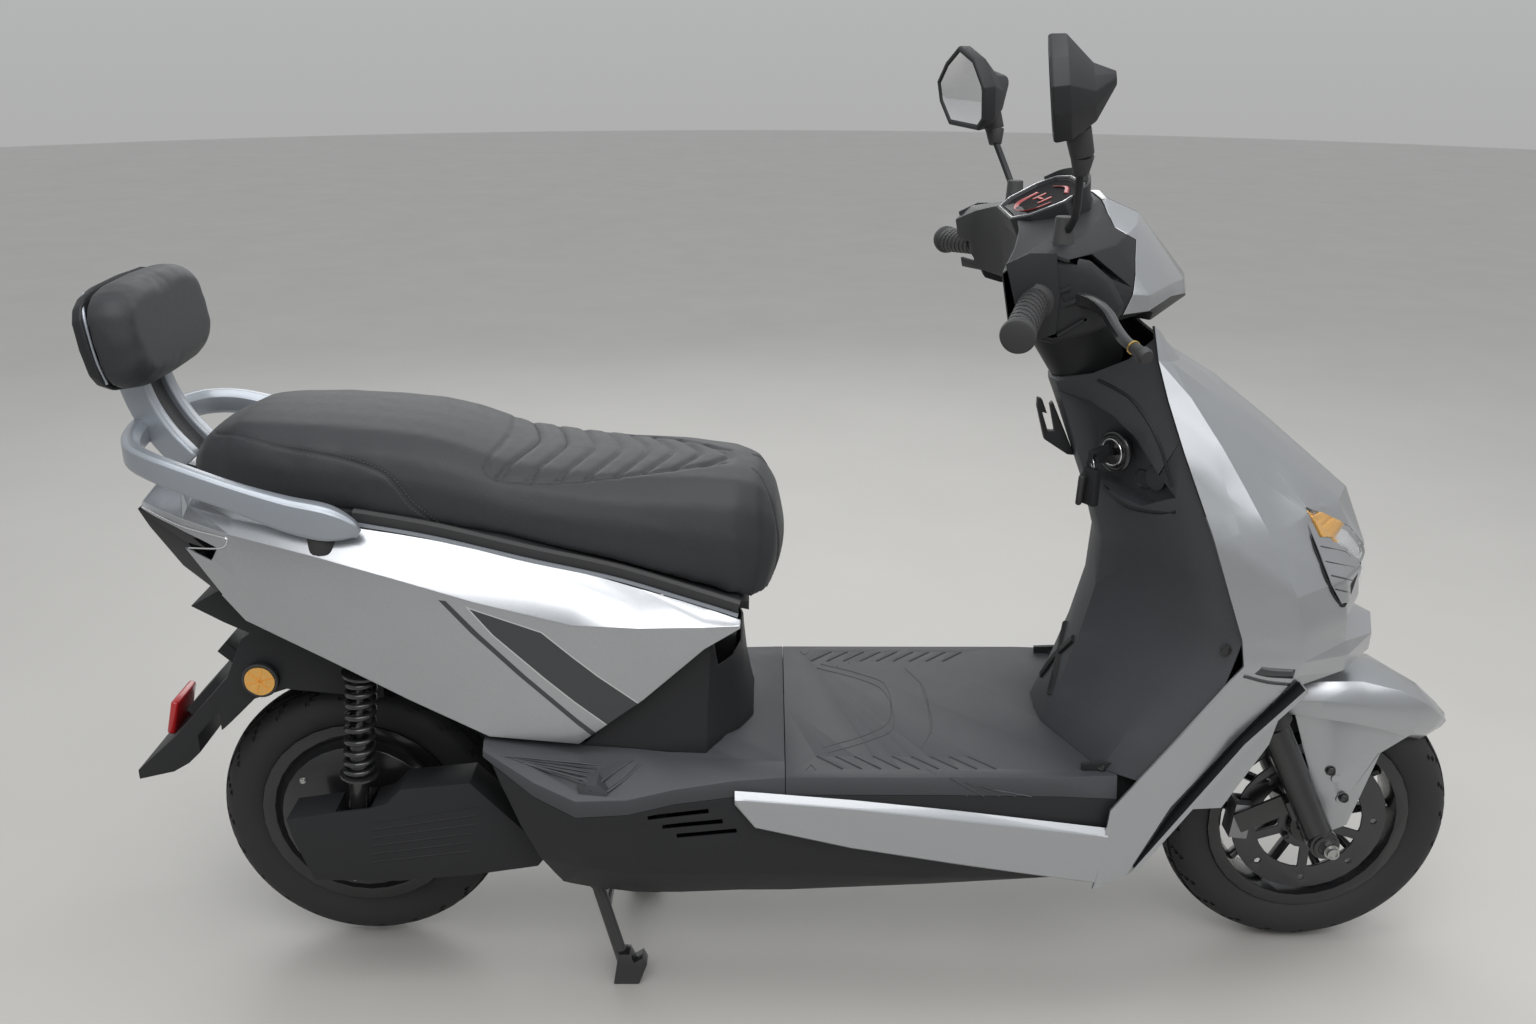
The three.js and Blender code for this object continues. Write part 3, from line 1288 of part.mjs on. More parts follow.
// Rear mudguard with the plate holder, its lamp and reflector
const fenderShares = [
  [-0.183, 0.556], [-0.142, 0.58], [-0.06, 0.574], [0.03, 0.54], [0.062, 0.52], [0.062, 0.423], [-0.068, 0.437],
  [-0.113, 0.422], [-0.219, 0.318], [-0.243, 0.303], [-0.296, 0.287], [-0.296, 0.301], [-0.235, 0.357],
  [-0.146, 0.454], [-0.121, 0.51], [-0.108, 0.519],
];
const fenderHalf = 84;
const archRadius = 250;
const holderHalfShares = [[-0.3, 0.32], [-0.24, 0.36], [-0.14, 0.42], [-0.1, 0.42], [0.07, 0.42]];
const reflectorLean = THREE.MathUtils.degToRad(43);
const reflectorHigh = 62;
const reflectorWide = 70;
const reflectorThick = 12;
const lampBlock = 32;
const amberX = -98;
const amberZ = 455;
const amberRadius = 24;
const amberThick = 9;

function rearFender() {
  const whole = sideSlab(inXZ(fenderShares), 2 * fenderHalf);
  const outline = [...holderHalfShares, ...holderHalfShares.map(([x, y]) => [x, -y]).reverse()];
  const plan = planSlab(inXY(outline), barHeight, 0);
  const tyreWell = common(
    moved(rodY(archRadius, 2 * (fenderHalf - wall), 48), 0, 0, rearAxleHeight),
    between(-0.2 * floorEnd, floorEnd, -floorHalf, floorHalf, 0, barHeight),
  );
  const top = cut(
    between(-0.075 * floorEnd, 0.062 * floorEnd - wall, -fenderHalf + wall, fenderHalf - wall,
      barHeight / 4, barHeight),
    moved(rodY(archRadius + wall, 3 * fenderHalf, 48), 0, 0, rearAxleHeight),
  );
  const tailZ = railShares.at(-1)[1] * barHeight - railRadius / 2;
  const tailX = railShares.at(-1)[0] * floorEnd + railRadius;
  const boss = between(tailX - bossRadiusSmall, tailX + bossRadiusSmall, -seatRailHalf / 4, seatRailHalf / 4,
    0.57 * barHeight, tailZ - railRadius - gap);
  const reflector = block(reflectorThick, reflectorWide, reflectorHigh)
    .rotateY(reflectorLean).translate(-0.204 * floorEnd, 0, 0.398 * barHeight);
  const lamp = block(lampBlock, reflectorWide * 0.8, lampBlock * 0.6)
    .rotateY(reflectorLean).translate(-0.16 * floorEnd, 0, 0.462 * barHeight);
  return join(cut(common(whole, plan), tyreWell, top), boss, reflector, lamp);
}

const sideReflector = () =>
  join(
    rodY(amberRadius, amberThick, 18),
    moved(rodY(amberRadius - wall, amberThick, 18), 0, wall / 2, 0),
  );

// Swing arm carrying the rear axle, with its two covers
const armShares = [
  [-0.03, 0.198], [-0.03, 0.226], [0, 0.234], [0.2, 0.24], [0.315, 0.256], [0.334, 0.25], [0.337, 0.228],
  [0.315, 0.214], [0.2, 0.205], [0, 0.19],
];
const armInner = 72;
const armOuter = 90;
const spacerRadius = 14;
const coverShares = [
  [-0.066, 0.276], [0, 0.286], [0.045, 0.292], [0.07, 0.3], [0.091, 0.322], [0.184, 0.332], [0.284, 0.225],
  [0.268, 0.204], [0.18, 0.19], [0.079, 0.18], [-0.037, 0.181], [-0.06, 0.245],
];
const coverInShares = [
  [-0.058, 0.27], [0.07, 0.294], [0.094, 0.317], [0.18, 0.325], [0.276, 0.222], [0.262, 0.209], [0.18, 0.195],
  [0.079, 0.185], [-0.032, 0.186], [-0.054, 0.245],
];
const coverBack = 94;
const coverFront = 150;
const coverBossEnd = coverFront - wall - gap;
const coverBossShares = [0.2, 0.225];
const collarHalf = 24;

function swingArm() {
  const arm = moved(sideSlab(inXZ(armShares), armOuter - armInner), 0, (armInner + armOuter) / 2, 0);
  const side = join(
    arm,
    between(shockFootX - shockEyeRadius, shockFootX + shockEyeRadius, armInner,
      shockHalf - shockEyeHalf - gap, 0.215 * barHeight, shockFootZ + shockEyeRadius),
    moved(rodY(shockPinRadius, 2 * shockEyeHalf + strapThick, 10), shockFootX, shockHalf - strapThick / 2, shockFootZ),
    moved(rodY(bossRadiusSmall, coverBossEnd - armOuter + strapThick, 10),
      coverBossShares[0] * floorEnd, (coverBossEnd + armOuter - strapThick) / 2, coverBossShares[1] * barHeight),
  );
  return cut(
    join(
      side, mirrored(side),
      moved(rodY(rearAxleRadius, 2 * armOuter + 2 * strapThick, 14), 0, 0, rearAxleHeight),
      moved(rodY(spacerRadius, 2 * armInner, 16), 0, 0, rearAxleHeight),
      moved(rodY(pivotTubeRadius, 2 * (lugInner - bearingGap), 16), swingPivotX, 0, swingPivotZ),
    ),
    moved(rodY(spacerRadius + wall, 2 * (bossHalf + gap), 16), 0, 0, rearAxleHeight),
    moved(rodY(pivotBoltRadius + gap, 2 * lugInner + cutOver, 16), swingPivotX, 0, swingPivotZ),
  );
}
const rearAxle = () => moved(rodY(rearAxleRadius, 2 * bossHalf + 2 * cutOver, 14), 0, 0, rearAxleHeight);

function swingCover() {
  const middle = (coverBack + coverFront) / 2;
  return cut(
    moved(sideSlab(inXZ(coverShares), coverFront - coverBack), 0, middle, 0),
    moved(sideSlab(inXZ(coverInShares), coverFront - coverBack), 0, middle - wall, 0),
    between(shockFootX - collarHalf, shockFootX + collarHalf, 0, shockHalf + collarHalf - wall,
      0.27 * barHeight, barHeight / 2),
  );
}

// Centre stand: two legs on a cross tube, with feet and a pedal tab
const standFootX = 381;
const standFootHalf = 124;
const standLegRadius = 9;
const standHipHalf = 108;
const standFootShares = [
  [0.362, 0], [0.398, 0], [0.41, 0.032], [0.404, 0.044], [0.392, 0.036], [0.386, 0.05], [0.37, 0.05],
];
const standFootWidth = 24;

function centreStand() {
  const leg = strut(
    new THREE.Vector3(standPivotX, standHipHalf, standPivotZ),
    new THREE.Vector3(standFootX - wall, standFootHalf, standFootWidth),
    standLegRadius, 10,
  );
  const foot = moved(sideSlab(inXZ(standFootShares), standFootWidth), 0, standFootHalf, 0);
  const side = join(leg, foot);
  const half = (t) => new THREE.Vector3(
    THREE.MathUtils.lerp(standPivotX, standFootX, t), THREE.MathUtils.lerp(standHipHalf, standFootHalf, t),
    THREE.MathUtils.lerp(standPivotZ, 0, t),
  );
  const brace = half(0.3);
  return join(
    side, mirrored(side),
    moved(rodY(standTubeRadius, 2 * (standHipHalf + wall), 14), standPivotX, 0, standPivotZ),
    moved(rodY(standLegRadius - wall, 2 * brace.y, 8), brace.x, 0, brace.z),
  );
}

// Battery box on the floor straps
const batteryPack = () =>
  between(batteryBack, batteryFront, -batteryHalf, batteryHalf, batteryBottom, batteryTop);

// Body pieces and the frame, placed
add(scooter, "main_frame", mainFrame(), finishes.blackPaint());
add(scooter, "battery_pack", batteryPack(), finishes.blackPlastic());
add(scooter, "storage_bucket", storageBucket(), finishes.blackPlastic());
add(scooter, "side_cover_left", sideCover(), finishes.silver());
add(scooter, "side_cover_right", mirrored(sideCover()), finishes.silver());
add(scooter, "tail_light", tailLight(), finishes.glass());
add(scooter, "rear_fender", rearFender(), finishes.blackPlastic());
for (const [side, name] of [[1, "side_reflector_left"], [-1, "side_reflector_right"]]) {
  const at = moved(sideReflector(), amberX, fenderHalf + gap + amberThick / 2, amberZ);
  add(scooter, name, side > 0 ? at : mirrored(at), finishes.amber());
}
add(scooter, "belly_cover", bellyCover(), finishes.blackPlastic());
add(scooter, "floorboard", floorRear(), finishes.floorPlastic());
add(scooter, "battery_lid", floorFront(), finishes.floorPlastic());
add(scooter, "under_seat_panel", underSeatPanel(), finishes.blackPlastic());
add(scooter, "leg_shield", legShield(), finishes.floorPlastic());
add(scooter, "front_cover", frontCover(), finishes.silver());
add(scooter, "headlight", headlight(), finishes.clear());
add(scooter, "grab_rail", grabRail(), finishes.rail());
add(scooter, "backrest_shell", backrestShell(), finishes.rail());
add(scooter, "backrest_pad", backrestPad(), finishes.leather());
add(scooter, "bag_hook", bagHook(), finishes.blackPlastic());
add(lockGroup, "ignition_lock", ignitionLock(), finishes.steel());
add(lockGroup, "ignition_key", ignitionKey(), finishes.blackPlastic());
const fobGroup = groupAt(lockGroup, -keyLength - keyHeight + 2 * wall, 0, -gap);
add(fobGroup, "key_fob", keyFob(), finishes.blackPlastic());

const seat = groupAt(scooter, hingeX, 0, hingeZ);
add(seat, "seat_base", moved(seatBase(), -hingeX, 0, -hingeZ), finishes.blackPlastic());
add(seat, "seat_cushion", moved(seatCushion(), -hingeX, 0, -hingeZ), finishes.leather());

const stand = groupAt(scooter, standPivotX, 0, standPivotZ);
add(stand, "centre_stand", moved(centreStand(), -standPivotX, 0, -standPivotZ), finishes.blackPaint());

const swing = groupAt(scooter, swingPivotX, 0, swingPivotZ);
const toSwing = (geometry) => moved(geometry, -swingPivotX, 0, -swingPivotZ);
add(swing, "swingarm", toSwing(join(swingArm(), rearAxle())), finishes.blackPaint());
add(swing, "swingarm_cover_left", toSwing(swingCover()), finishes.blackPlastic());
add(swing, "swingarm_cover_right", toSwing(mirrored(swingCover())), finishes.blackPlastic());

for (const [side, name] of [[1, "left"], [-1, "right"]]) {
  const upper = groupAt(scooter, shockTopX, side * shockHalf, shockTopZ);
  upper.rotation.y = shockLean;
  add(upper, "shock_upper_" + name, shockUpper(), finishes.blackPaint());
  add(
    upper, "shock_spring_" + name,
    moved(spring(springRadius - springWire, springWire, springCoils, springLength), 0, 0,
      -upperCup - gap - springLength),
    finishes.blackPaint(),
  );
  const lower = groupAt(swing, shockFootX - swingPivotX, side * shockHalf, shockFootZ - swingPivotZ);
  lower.rotation.y = shockLean;
  add(lower, "shock_lower_" + name, shockLower(), finishes.blackPaint());
}

// Steering: a group whose Z is the steering axis, at the handlebar's centre
const steering = groupAt(scooter, barX, 0, barHeight);
steering.rotation.y = -casterTilt;
const toSteering = (geometry) =>
  moved(geometry, -barX, 0, -barHeight).rotateY(casterTilt);

const yokeLow = -575;
const yokeHigh = -545;
const yokeBack = 18;
const yokeWaist = 28;
const yokeEar = 20; // how far the yoke reaches past each fork leg
const yokeFront = 24;
const raceRadius = 21;
const forkHalf = 80;
const stanchionRadius = 14;
const stanchionLow = -800;
const stemTop = -12;
const barRadius = 11;
const gripRadius = 16;
const gripFlange = 20;
const barBendShare = 0.35; // the bar's bend, from the middle
const barSweep = new THREE.Vector3(-89.4, 261, 9.6); // from the bend to the end of the grip
const barRise = 4;
const barEnd = barSweep.length();
const barBend = new THREE.Vector3(0, barBendShare * floorHalf, barRise);

function steeringStem() {
  const along = (s) => barBend.clone().addScaledVector(barSweep, s / barEnd);
  const side = join(
    strut(new THREE.Vector3(0, 0, 0), barBend.clone().addScaledVector(barSweep, 0.02), barRadius, 12),
    strut(barBend.clone(), along(barEnd - cutOver - wall), barRadius, 12),
    moved(rodZ(stanchionRadius, yokeHigh - stanchionLow, 12), forkLead, forkHalf, (yokeHigh + stanchionLow) / 2),
  );
  const yoke = planSlab(
    [[-yokeBack, -yokeWaist], [0, -forkHalf - yokeBack], [forkLead + yokeEar, -forkHalf - yokeEar],
      [forkLead + yokeFront, 0], [forkLead + yokeEar, forkHalf + yokeEar], [0, forkHalf + yokeBack],
      [-yokeBack, yokeWaist]],
    yokeHigh - yokeLow, yokeLow,
  );
  const arms = boxAt(...coverArmShares);
  const bracket = common(toSteering(bothSides(arms)), toSteering(hoodForm(hoodInset - coverEase, 1)));
  return join(
    side, mirrored(side), yoke, bracket,
    moved(rodZ(stemRadius, stemTop - yokeLow, 16), 0, 0, (stemTop + yokeLow) / 2),
    moved(rodZ(raceRadius, headTubeLow - bearingGap - yokeHigh + wall, 16), 0, 0,
      (headTubeLow - bearingGap + yokeHigh - wall) / 2),
    moved(rodZ(stemRadius + wall, 2 * stemRadius, 16), 0, 0, -stemRadius),
  );
}

// Handlebar cover, as sections across the bar: a rear half and a front half
const hoodShares = [
  // y; then eight corners x, z from the lower rear, over the top, to the lower front
  [0, [0.9, 0.955], [0.881, 1.063], [0.935, 1.078], [0.992, 1.088], [1.031, 1.07], [1.107, 0.985], [1.112, 0.957], [1.069, 0.924]],
  [0.25, [0.9, 0.955], [0.881, 1.062], [0.935, 1.076], [0.99, 1.085], [1.03, 1.068], [1.092, 0.987], [1.096, 0.969], [1.058, 0.945]],
  [0.5, [0.896, 0.96], [0.876, 1.055], [0.926, 1.066], [0.973, 1.07], [1.016, 1.06], [1.064, 0.99], [1.065, 0.975], [1.035, 0.958]],
  [0.78, [0.874, 0.96], [0.862, 1.042], [0.902, 1.054], [0.943, 1.056], [0.98, 1.045], [1.024, 0.987], [1.024, 0.968], [0.984, 0.955]],
  [1.05, [0.852, 0.956], [0.84, 1.022], [0.862, 1.041], [0.889, 1.045], [0.914, 1.036], [0.938, 0.998], [0.936, 0.968], [0.902, 0.946]],
];
const hoodInset = 0.93;
const coverEase = 0.004; // clearance of the bracket's arms inside the cover, as a share of its section
const coverArmShares = [0.85, 1.15, 0.06, 0.14, 0.982, 0.992]; // from and to, along x, y and z
const splitShares = [[0.98, 1.1], [0.985, 1.06], [1.012, 1.045], [1.0, 0.99], [0.955, 0.9], [0.955, 0.8], [1.3, 0.8], [1.3, 1.1]];
const stemCoverRings = [
  // z; rear x, front x from the axis; half y; corner share
  [0.97, -60, 58, 62],
  [0.93, -56, 52, 52],
  [0.89, -50, 44, 40],
  [0.866, -46, 40, 34],
];
const displayShares = [
  [0.897, 0.3], [0.9, 0.36], [0.955, 0.32], [0.968, 0.24], [0.968, -0.24], [0.955, -0.32], [0.9, -0.36], [0.897, -0.3],
];
const displayDepth = 12;
const displaySink = 4;

function hoodForm(share, reach) {
  const half = hoodShares.map(([y, ...corners], i) => {
    const mid = corners.reduce(([a, b], [x, z]) => [a + x / corners.length, b + z / corners.length], [0, 0]);
    const at = i === hoodShares.length - 1 ? y * reach : y;
    return corners.map(([x, z]) =>
      place(mid[0] + (x - mid[0]) * share, at, mid[1] + (z - mid[1]) * share));
  });
  const other = half.slice(1).map((ring) => ring.map((p) => p.clone().setY(-p.y))).reverse();
  return loft([...other, ...half]);
}
const axisX = (z) => barX + (barHeight - z) * Math.tan(casterTilt);

function stemCover(shrink, reach) {
  return loft(
    stemCoverRings.map(([z, rear, front, half], i) => {
      const level = z * barHeight - (i === stemCoverRings.length - 1 ? reach : -reach);
      const x = axisX(level);
      const [a, b, y] = [x + rear + shrink, x + front - shrink, half - shrink];
      return [
        [a, y / 2], [a + y / 2, y], [b - y / 2, y], [b, y / 2], [b, -y / 2], [b - y / 2, -y], [a + y / 2, -y], [a, -y / 2],
      ].map(([u, v]) => new THREE.Vector3(u, v, level));
    }),
  );
}

// Room inside the cover for the bar, its stem and the levers, all in world places
const boxAt = (x0, x1, y0, y1, z0, z1) =>
  between(x0 * floorEnd, x1 * floorEnd, y0 * floorHalf, y1 * floorHalf, z0 * barHeight, z1 * barHeight);

function hoodShell() {
  return cut(
    join(hoodForm(1, 1), stemCover(0, 0)),
    hoodForm(hoodInset, 1.02),
    stemCover(wall, cutOver),
  );
}
const splitFront = () => sideSlab(inXZ(splitShares), 3 * floorHalf);
const display = () =>
  common(
    planSlab(inXY(displayShares), barHeight, barHeight / 2),
    cut(moved(hoodForm(1, 1), 0, 0, -displaySink), moved(hoodForm(1, 1), 0, 0, -displaySink - displayDepth)),
  );

function coverRear() {
  return cut(
    hoodShell(),
    moved(splitFront(), -gap, 0, 0),
    planSlab(grown(inXY(displayShares), gap), barHeight / 2, barHeight),
    buttonRoom(),
  );
}
// A notch in the left arm of the cover for the horn button.
const buttonRoom = () => boxAt(0.8, 0.87, 0.88, 1.1, 0.97, 0.995);
const coverFrontHalf = () => common(hoodShell(), splitFront());

add(steering, "steering_stem", steeringStem(), finishes.blackPaint());
add(steering, "bar_cover_rear", toSteering(coverRear()), finishes.blackPlastic());
add(steering, "bar_cover_front", toSteering(coverFrontHalf()), finishes.silver());
add(steering, "dash_display", toSteering(display()), finishes.glass());

// What sits on each end of the bar. There Y runs out along the bar from its bend.
const switchStart = 122;
const switchLength = 24;
const switchHigh = 21;
const gripStart = 150;
const gripRidges = 3;
const leverSpots = [
  [34, 128, -8], [52, 150, -9], [70, 178, -20], [82, 215, -26], [88, 250, -30],
];
const leverRadius = 5;
const leverBall = 8.5;
const leverPin = 4;
const perchHalf = 7;
const buttonRadius = 5;
const buttonRise = 4;
const buttonTravel = 2;

function gripForm() {
  const profile = [[barRadius + 2 * gap, gripStart], [gripFlange, gripStart], [gripFlange, gripStart + wall + wall]];
  const run = (barEnd - gripStart - 2 * wall) / gripRidges;
  for (let k = 0; k < gripRidges; k++) {
    const from = gripStart + 2 * wall + k * run;
    profile.push([gripRadius - 1, from + 1], [gripRadius, from + run / 3], [gripRadius, from + run * 0.8]);
  }
  profile.push([gripRadius - 1, barEnd], [barRadius + 2 * gap, barEnd]);
  return turnedY(profile, 12);
}

function leverForm() {
  const [pivot, ...rest] = leverSpots.map(([x, y, z]) => new THREE.Vector3(x, y, z));
  const blade = tube([pivot, ...rest], leverRadius, 6, 7);
  const ball = new THREE.SphereGeometry(leverBall, 8, 6).translate(...leverSpots.at(-1));
  const hub = moved(rodZ(leverPin + leverRadius, 2 * leverRadius, 12), pivot.x, pivot.y, pivot.z);
  return cut(
    join(blade, ball, hub),
    moved(rodZ(leverPin + gap, 4 * leverRadius, 12), pivot.x, pivot.y, pivot.z),
  );
}

function switchForm() {
  const [px, py, pz] = leverSpots[0];
  const body = join(
    moved(rodY(switchHigh, switchLength, 14), 0, switchStart + switchLength / 2, 0),
    between(0, px + leverPin + wall, switchStart, switchStart + switchLength / 2 + wall, pz - perchHalf - wall, pz + perchHalf + wall),
  );
  const slot = moved(
    rodZ(leverPin + leverRadius + bearingGap, 2 * leverRadius + 2 * gap, 12), px, py, pz,
  );
  const sweep = between(px - leverRadius, px + 3 * switchLength, py, py + 3 * switchLength,
    pz - leverRadius - bearingGap, pz + leverRadius + bearingGap);
  const pin = moved(rodZ(leverPin, 2 * perchHalf + wall, 12), px, py, pz);
  return join(
    cut(body, moved(rodY(barRadius + 2 * gap, 3 * switchLength, 12), 0, switchStart, 0), slot, sweep),
    pin,
  );
}

for (const [side, name] of [[1, "left"], [-1, "right"]]) {
  const end = groupAt(steering, barBend.x, side * barBend.y, barBend.z);
  end.quaternion.setFromUnitVectors(
    new THREE.Vector3(0, side, 0),
    barSweep.clone().setY(side * barSweep.y).normalize(),
  );
  const facing = (geometry) => (side > 0 ? geometry : mirrored(geometry));
  const isLeft = side > 0;
  const holes = isLeft
    ? [moved(rodX(buttonRadius + gap, switchHigh, 12), -switchHigh, switchStart + switchLength / 2, 0)]
    : [];
  add(end, isLeft ? "left_grip" : "throttle_grip", facing(gripForm()), finishes.rubber());
  add(
    end, "switch_block_" + name,
    facing(holes.length ? cut(switchForm(), ...holes) : switchForm()), finishes.blackPlastic(),
  );
  const lever = groupAt(end, leverSpots[0][0], side * leverSpots[0][1], leverSpots[0][2]);
  add(
    lever, "brake_lever_" + name,
    facing(moved(leverForm(), -leverSpots[0][0], -leverSpots[0][1], -leverSpots[0][2])),
    finishes.blackPaint(),
  );
  if (isLeft) {
    const depth = switchHigh - (barRadius + gap) - buttonTravel - wall;
    add(
      end, "horn_button",
      moved(rodX(buttonRadius, depth + buttonRise, 12), -switchHigh - buttonRise / 2 + depth / 2,
        switchStart + switchLength / 2, 0),
      finishes.rubber(),
    );
  }
}

// Mirrors: a stem from a boot on the cover, and a head on its ball
const bootRadius = 11;
const bootHeight = 16;
const mirrorRod = 5;
const ballRadius = 7;
const mirrorShares = {
  right: { boot: [0.915, 0.86, 1.0515], bend: [0.921, 1.0, 1.085], ball: [0.914, 1.21, 1.158], turn: 20, lean: 12 },
  left: { boot: [0.915, 0.86, 1.0515], bend: [0.911, 1.0, 1.08], ball: [0.888, 1.2, 1.142], turn: 32, lean: 8 },
};
const mirrorFaceShares = [[-0.36, 0.01], [0.2, 0.0], [0.42, 0.04], [0.45, 0.075], [0.3, 0.112], [-0.24, 0.118], [-0.42, 0.08]];
const mirrorThick = 10;
const mirrorBack = 48;
const neckRadius = 10;
const neckHeight = 14;

function mirrorHead() {
  const face = inYZ(mirrorFaceShares).map(([y, z]) => [y, z + neckHeight - ballRadius]);
  const middle = face.reduce(([a, b], [y, z]) => [a + y / face.length, b + z / face.length], [0, 0]);
  const ring = (x, share) => face.map(([y, z]) =>
    new THREE.Vector3(x, middle[0] + (y - middle[0]) * share, middle[1] + (z - middle[1]) * share));
  return cut(
    join(
      loft([ring(-mirrorThick, 0.97), ring(-mirrorThick + wall, 1), ring(wall, 0.96), ring(mirrorBack, 0.3)]),
      moved(rodZ(neckRadius, neckHeight + ballRadius, 12), 0, 0, (neckHeight + ballRadius) / 2 - 1),
    ),
    new THREE.SphereGeometry(ballRadius + 3 * gap, 10, 7),
  );
}

for (const [side, name] of [[1, "left"], [-1, "right"]]) {
  const { boot, bend, ball, turn, lean } = mirrorShares[name];
  const spot = ([x, y, z]) => place(x, side * y, z);
  const foot = spot(boot);
  const holder = groupAt(scooter, foot.x, foot.y, foot.z);
  const rel = (spotShares) => spot(spotShares).sub(foot);
  const stem = join(
    moved(rodZ(bootRadius, bootHeight, 12), 0, 0, bootHeight / 2 + wall),
    tube([new THREE.Vector3(0, 0, bootHeight / 2), rel(bend), rel(ball)], mirrorRod, 6, 7, 0.4),
    new THREE.SphereGeometry(ballRadius, 10, 7).translate(...rel(ball).toArray()),
  );
  add(holder, "mirror_stem_" + name, stem, finishes.blackPaint());
  const head = groupAt(holder, ...rel(ball).toArray());
  head.rotation.set(0, 0, -side * THREE.MathUtils.degToRad(turn));
  head.rotateY(-THREE.MathUtils.degToRad(lean));
  add(head, "mirror_head_" + name, side < 0 ? mirrorHead() : mirrored(mirrorHead()), finishes.blackPlastic());
  steering.updateMatrixWorld(true);
  steering.attach(holder);
}

// Fork: sliders with the axle, gaiters, front mudguard and brake caliper
const fork = groupAt(steering, 0, 0, 0);
const axleDrop = -(barHeight - tyreRadius) / Math.cos(casterTilt) - forkLead * Math.tan(casterTilt);
const sliderRadius = 20;
const sliderTop = -704;
const sliderBore = stanchionRadius + bearingGap;
const boreLow = -850;
const axleCap = 17;
const frontAxleHalf = 104;
const wheelSide = 48;
const mountReach = 95;
const mountFace = 55.3;
const mountThick = 5;
const mountLow = 42;
const mountHigh = 74;
const gaiterRibs = 5;
const gaiterTop = -630;
const gaiterOuter = 22;
const gaiterInner = 17;
const gaiterSides = 10;

function forkSliders() {
  const leg = cut(
    join(
      moved(rodZ(sliderRadius, sliderTop - axleDrop, 14), forkLead, forkHalf, (sliderTop + axleDrop) / 2),
      moved(rodY(sliderRadius + 1, 2 * sliderRadius, 14), forkLead, forkHalf, axleDrop),
      moved(rodY(axleCap, frontAxleHalf - forkHalf, 14), forkLead, (forkHalf + frontAxleHalf) / 2, axleDrop),
    ),
    moved(rodZ(sliderBore, sliderTop - boreLow + cutOver, 14), forkLead, forkHalf, (sliderTop + boreLow + cutOver) / 2),
    moved(rodY(axleCap - wall - wall, wall, 14), forkLead, frontAxleHalf, axleDrop),
  );
  const mount = join(
    between(forkLead - mountReach, forkLead - sliderRadius / 2, -mountFace - mountThick, -mountFace,
      axleDrop + mountLow, axleDrop + mountHigh),
    between(forkLead - sliderRadius - mountThick, forkLead - sliderRadius + mountThick / 2,
      -forkHalf, -mountFace, axleDrop + mountLow, axleDrop + mountHigh),
  );
  return join(
    leg, mirrored(leg), mount,
    moved(rodY(axleRadius, 2 * forkHalf, 14), forkLead, 0, axleDrop),
    ...[-1, 1].map((side) =>
      moved(rodY(axleRadius + wall, forkHalf - wheelSide - gap, 14), forkLead,
        side * (forkHalf + wheelSide + gap) / 2, axleDrop)),
  );
}

function gaiterForm() {
  const run = (gaiterTop - sliderTop - gap) / gaiterRibs;
  const profile = [[stanchionRadius + 3 * gap, sliderTop + gap]];
  for (let k = 0; k < gaiterRibs; k++) {
    const from = sliderTop + gap + k * run;
    profile.push([gaiterInner, from], [gaiterOuter, from + run / 2]);
  }
  profile.push([gaiterInner, gaiterTop], [stanchionRadius + 3 * gap, gaiterTop]);
  return turnedZ(profile, gaiterSides);
}

// Brake caliper: two jaws round the disc, bolted to the right leg
const caliperAngle = 148; // behind and above the axle, in degrees
const caliperSize = [54, 34, 26];
const caliperSlot = 10;

function caliper() {
  const angle = THREE.MathUtils.degToRad(caliperAngle);
  const reach = discRadius - 6;
  const spot = new THREE.Vector3(Math.cos(angle), 0, Math.sin(angle)).multiplyScalar(reach);
  const [long, wide, deep] = caliperSize;
  const body = block(deep, wide, long).rotateY(-angle)
    .translate(forkLead + spot.x, -discOut - wall - 1, axleDrop + spot.z);
  const slot = moved(rodY(discRadius + wall, caliperSlot, 24), forkLead, -discOut, axleDrop);
  return { body, slot };
}

// Front mudguard over the wheel, with a bracket down each leg
const guardRadius = 236;
const guardShares = [
  // degrees from ahead; radius; half width; shoulder drop
  [40, 1.0, 16, 5], [46, 1.0, 40, 11], [56, 1.01, 58, 14], [68, 1.015, 68, 15], [82, 1.02, 74, 15], [96, 1.01, 72, 13],
  [107, 0.995, 62, 10], [116, 0.98, 50, 8],
];
const guardBracketShares = [
  [1.29, 0.425], [1.36, 0.438], [1.44, 0.405], [1.47, 0.36], [1.43, 0.33], [1.398, 0.214], [1.378, 0.205], [1.356, 0.222], [1.33, 0.31],
];
const guardBoltShares = [[1.372, 0.29], [1.383, 0.258]];
const guardHalf = 58.2;

function frontGuard() {
  const rows = guardShares.map(([degrees, radius, half, drop]) => {
    const angle = THREE.MathUtils.degToRad(degrees);
    const spot = (y, low) => new THREE.Vector3(
      wheelbase + Math.cos(angle) * (guardRadius * radius - low), y,
      tyreRadius + Math.sin(angle) * (guardRadius * radius - low),
    );
    const across = [[half, drop + 3 * drop], [half, 2 * drop], [half * 0.82, drop / 3], [half * 0.35, 0]];
    return [
      ...across.map(([y, low]) => spot(y, low)), spot(0, -wall),
      ...across.slice().reverse().map(([y, low]) => spot(-y, low)),
    ];
  });
  const plate = moved(sideSlab(inXZ(guardBracketShares), wall), 0, guardHalf, 0);
  const bolts = guardBoltShares.map(([x, z]) =>
    moved(rodY(boltRadius + wall, boltHead, 12), x * floorEnd, guardHalf + wall, z * barHeight));
  const side = join(plate, ...bolts);
  return join(sheet(rows, wall), side, mirrored(side));
}

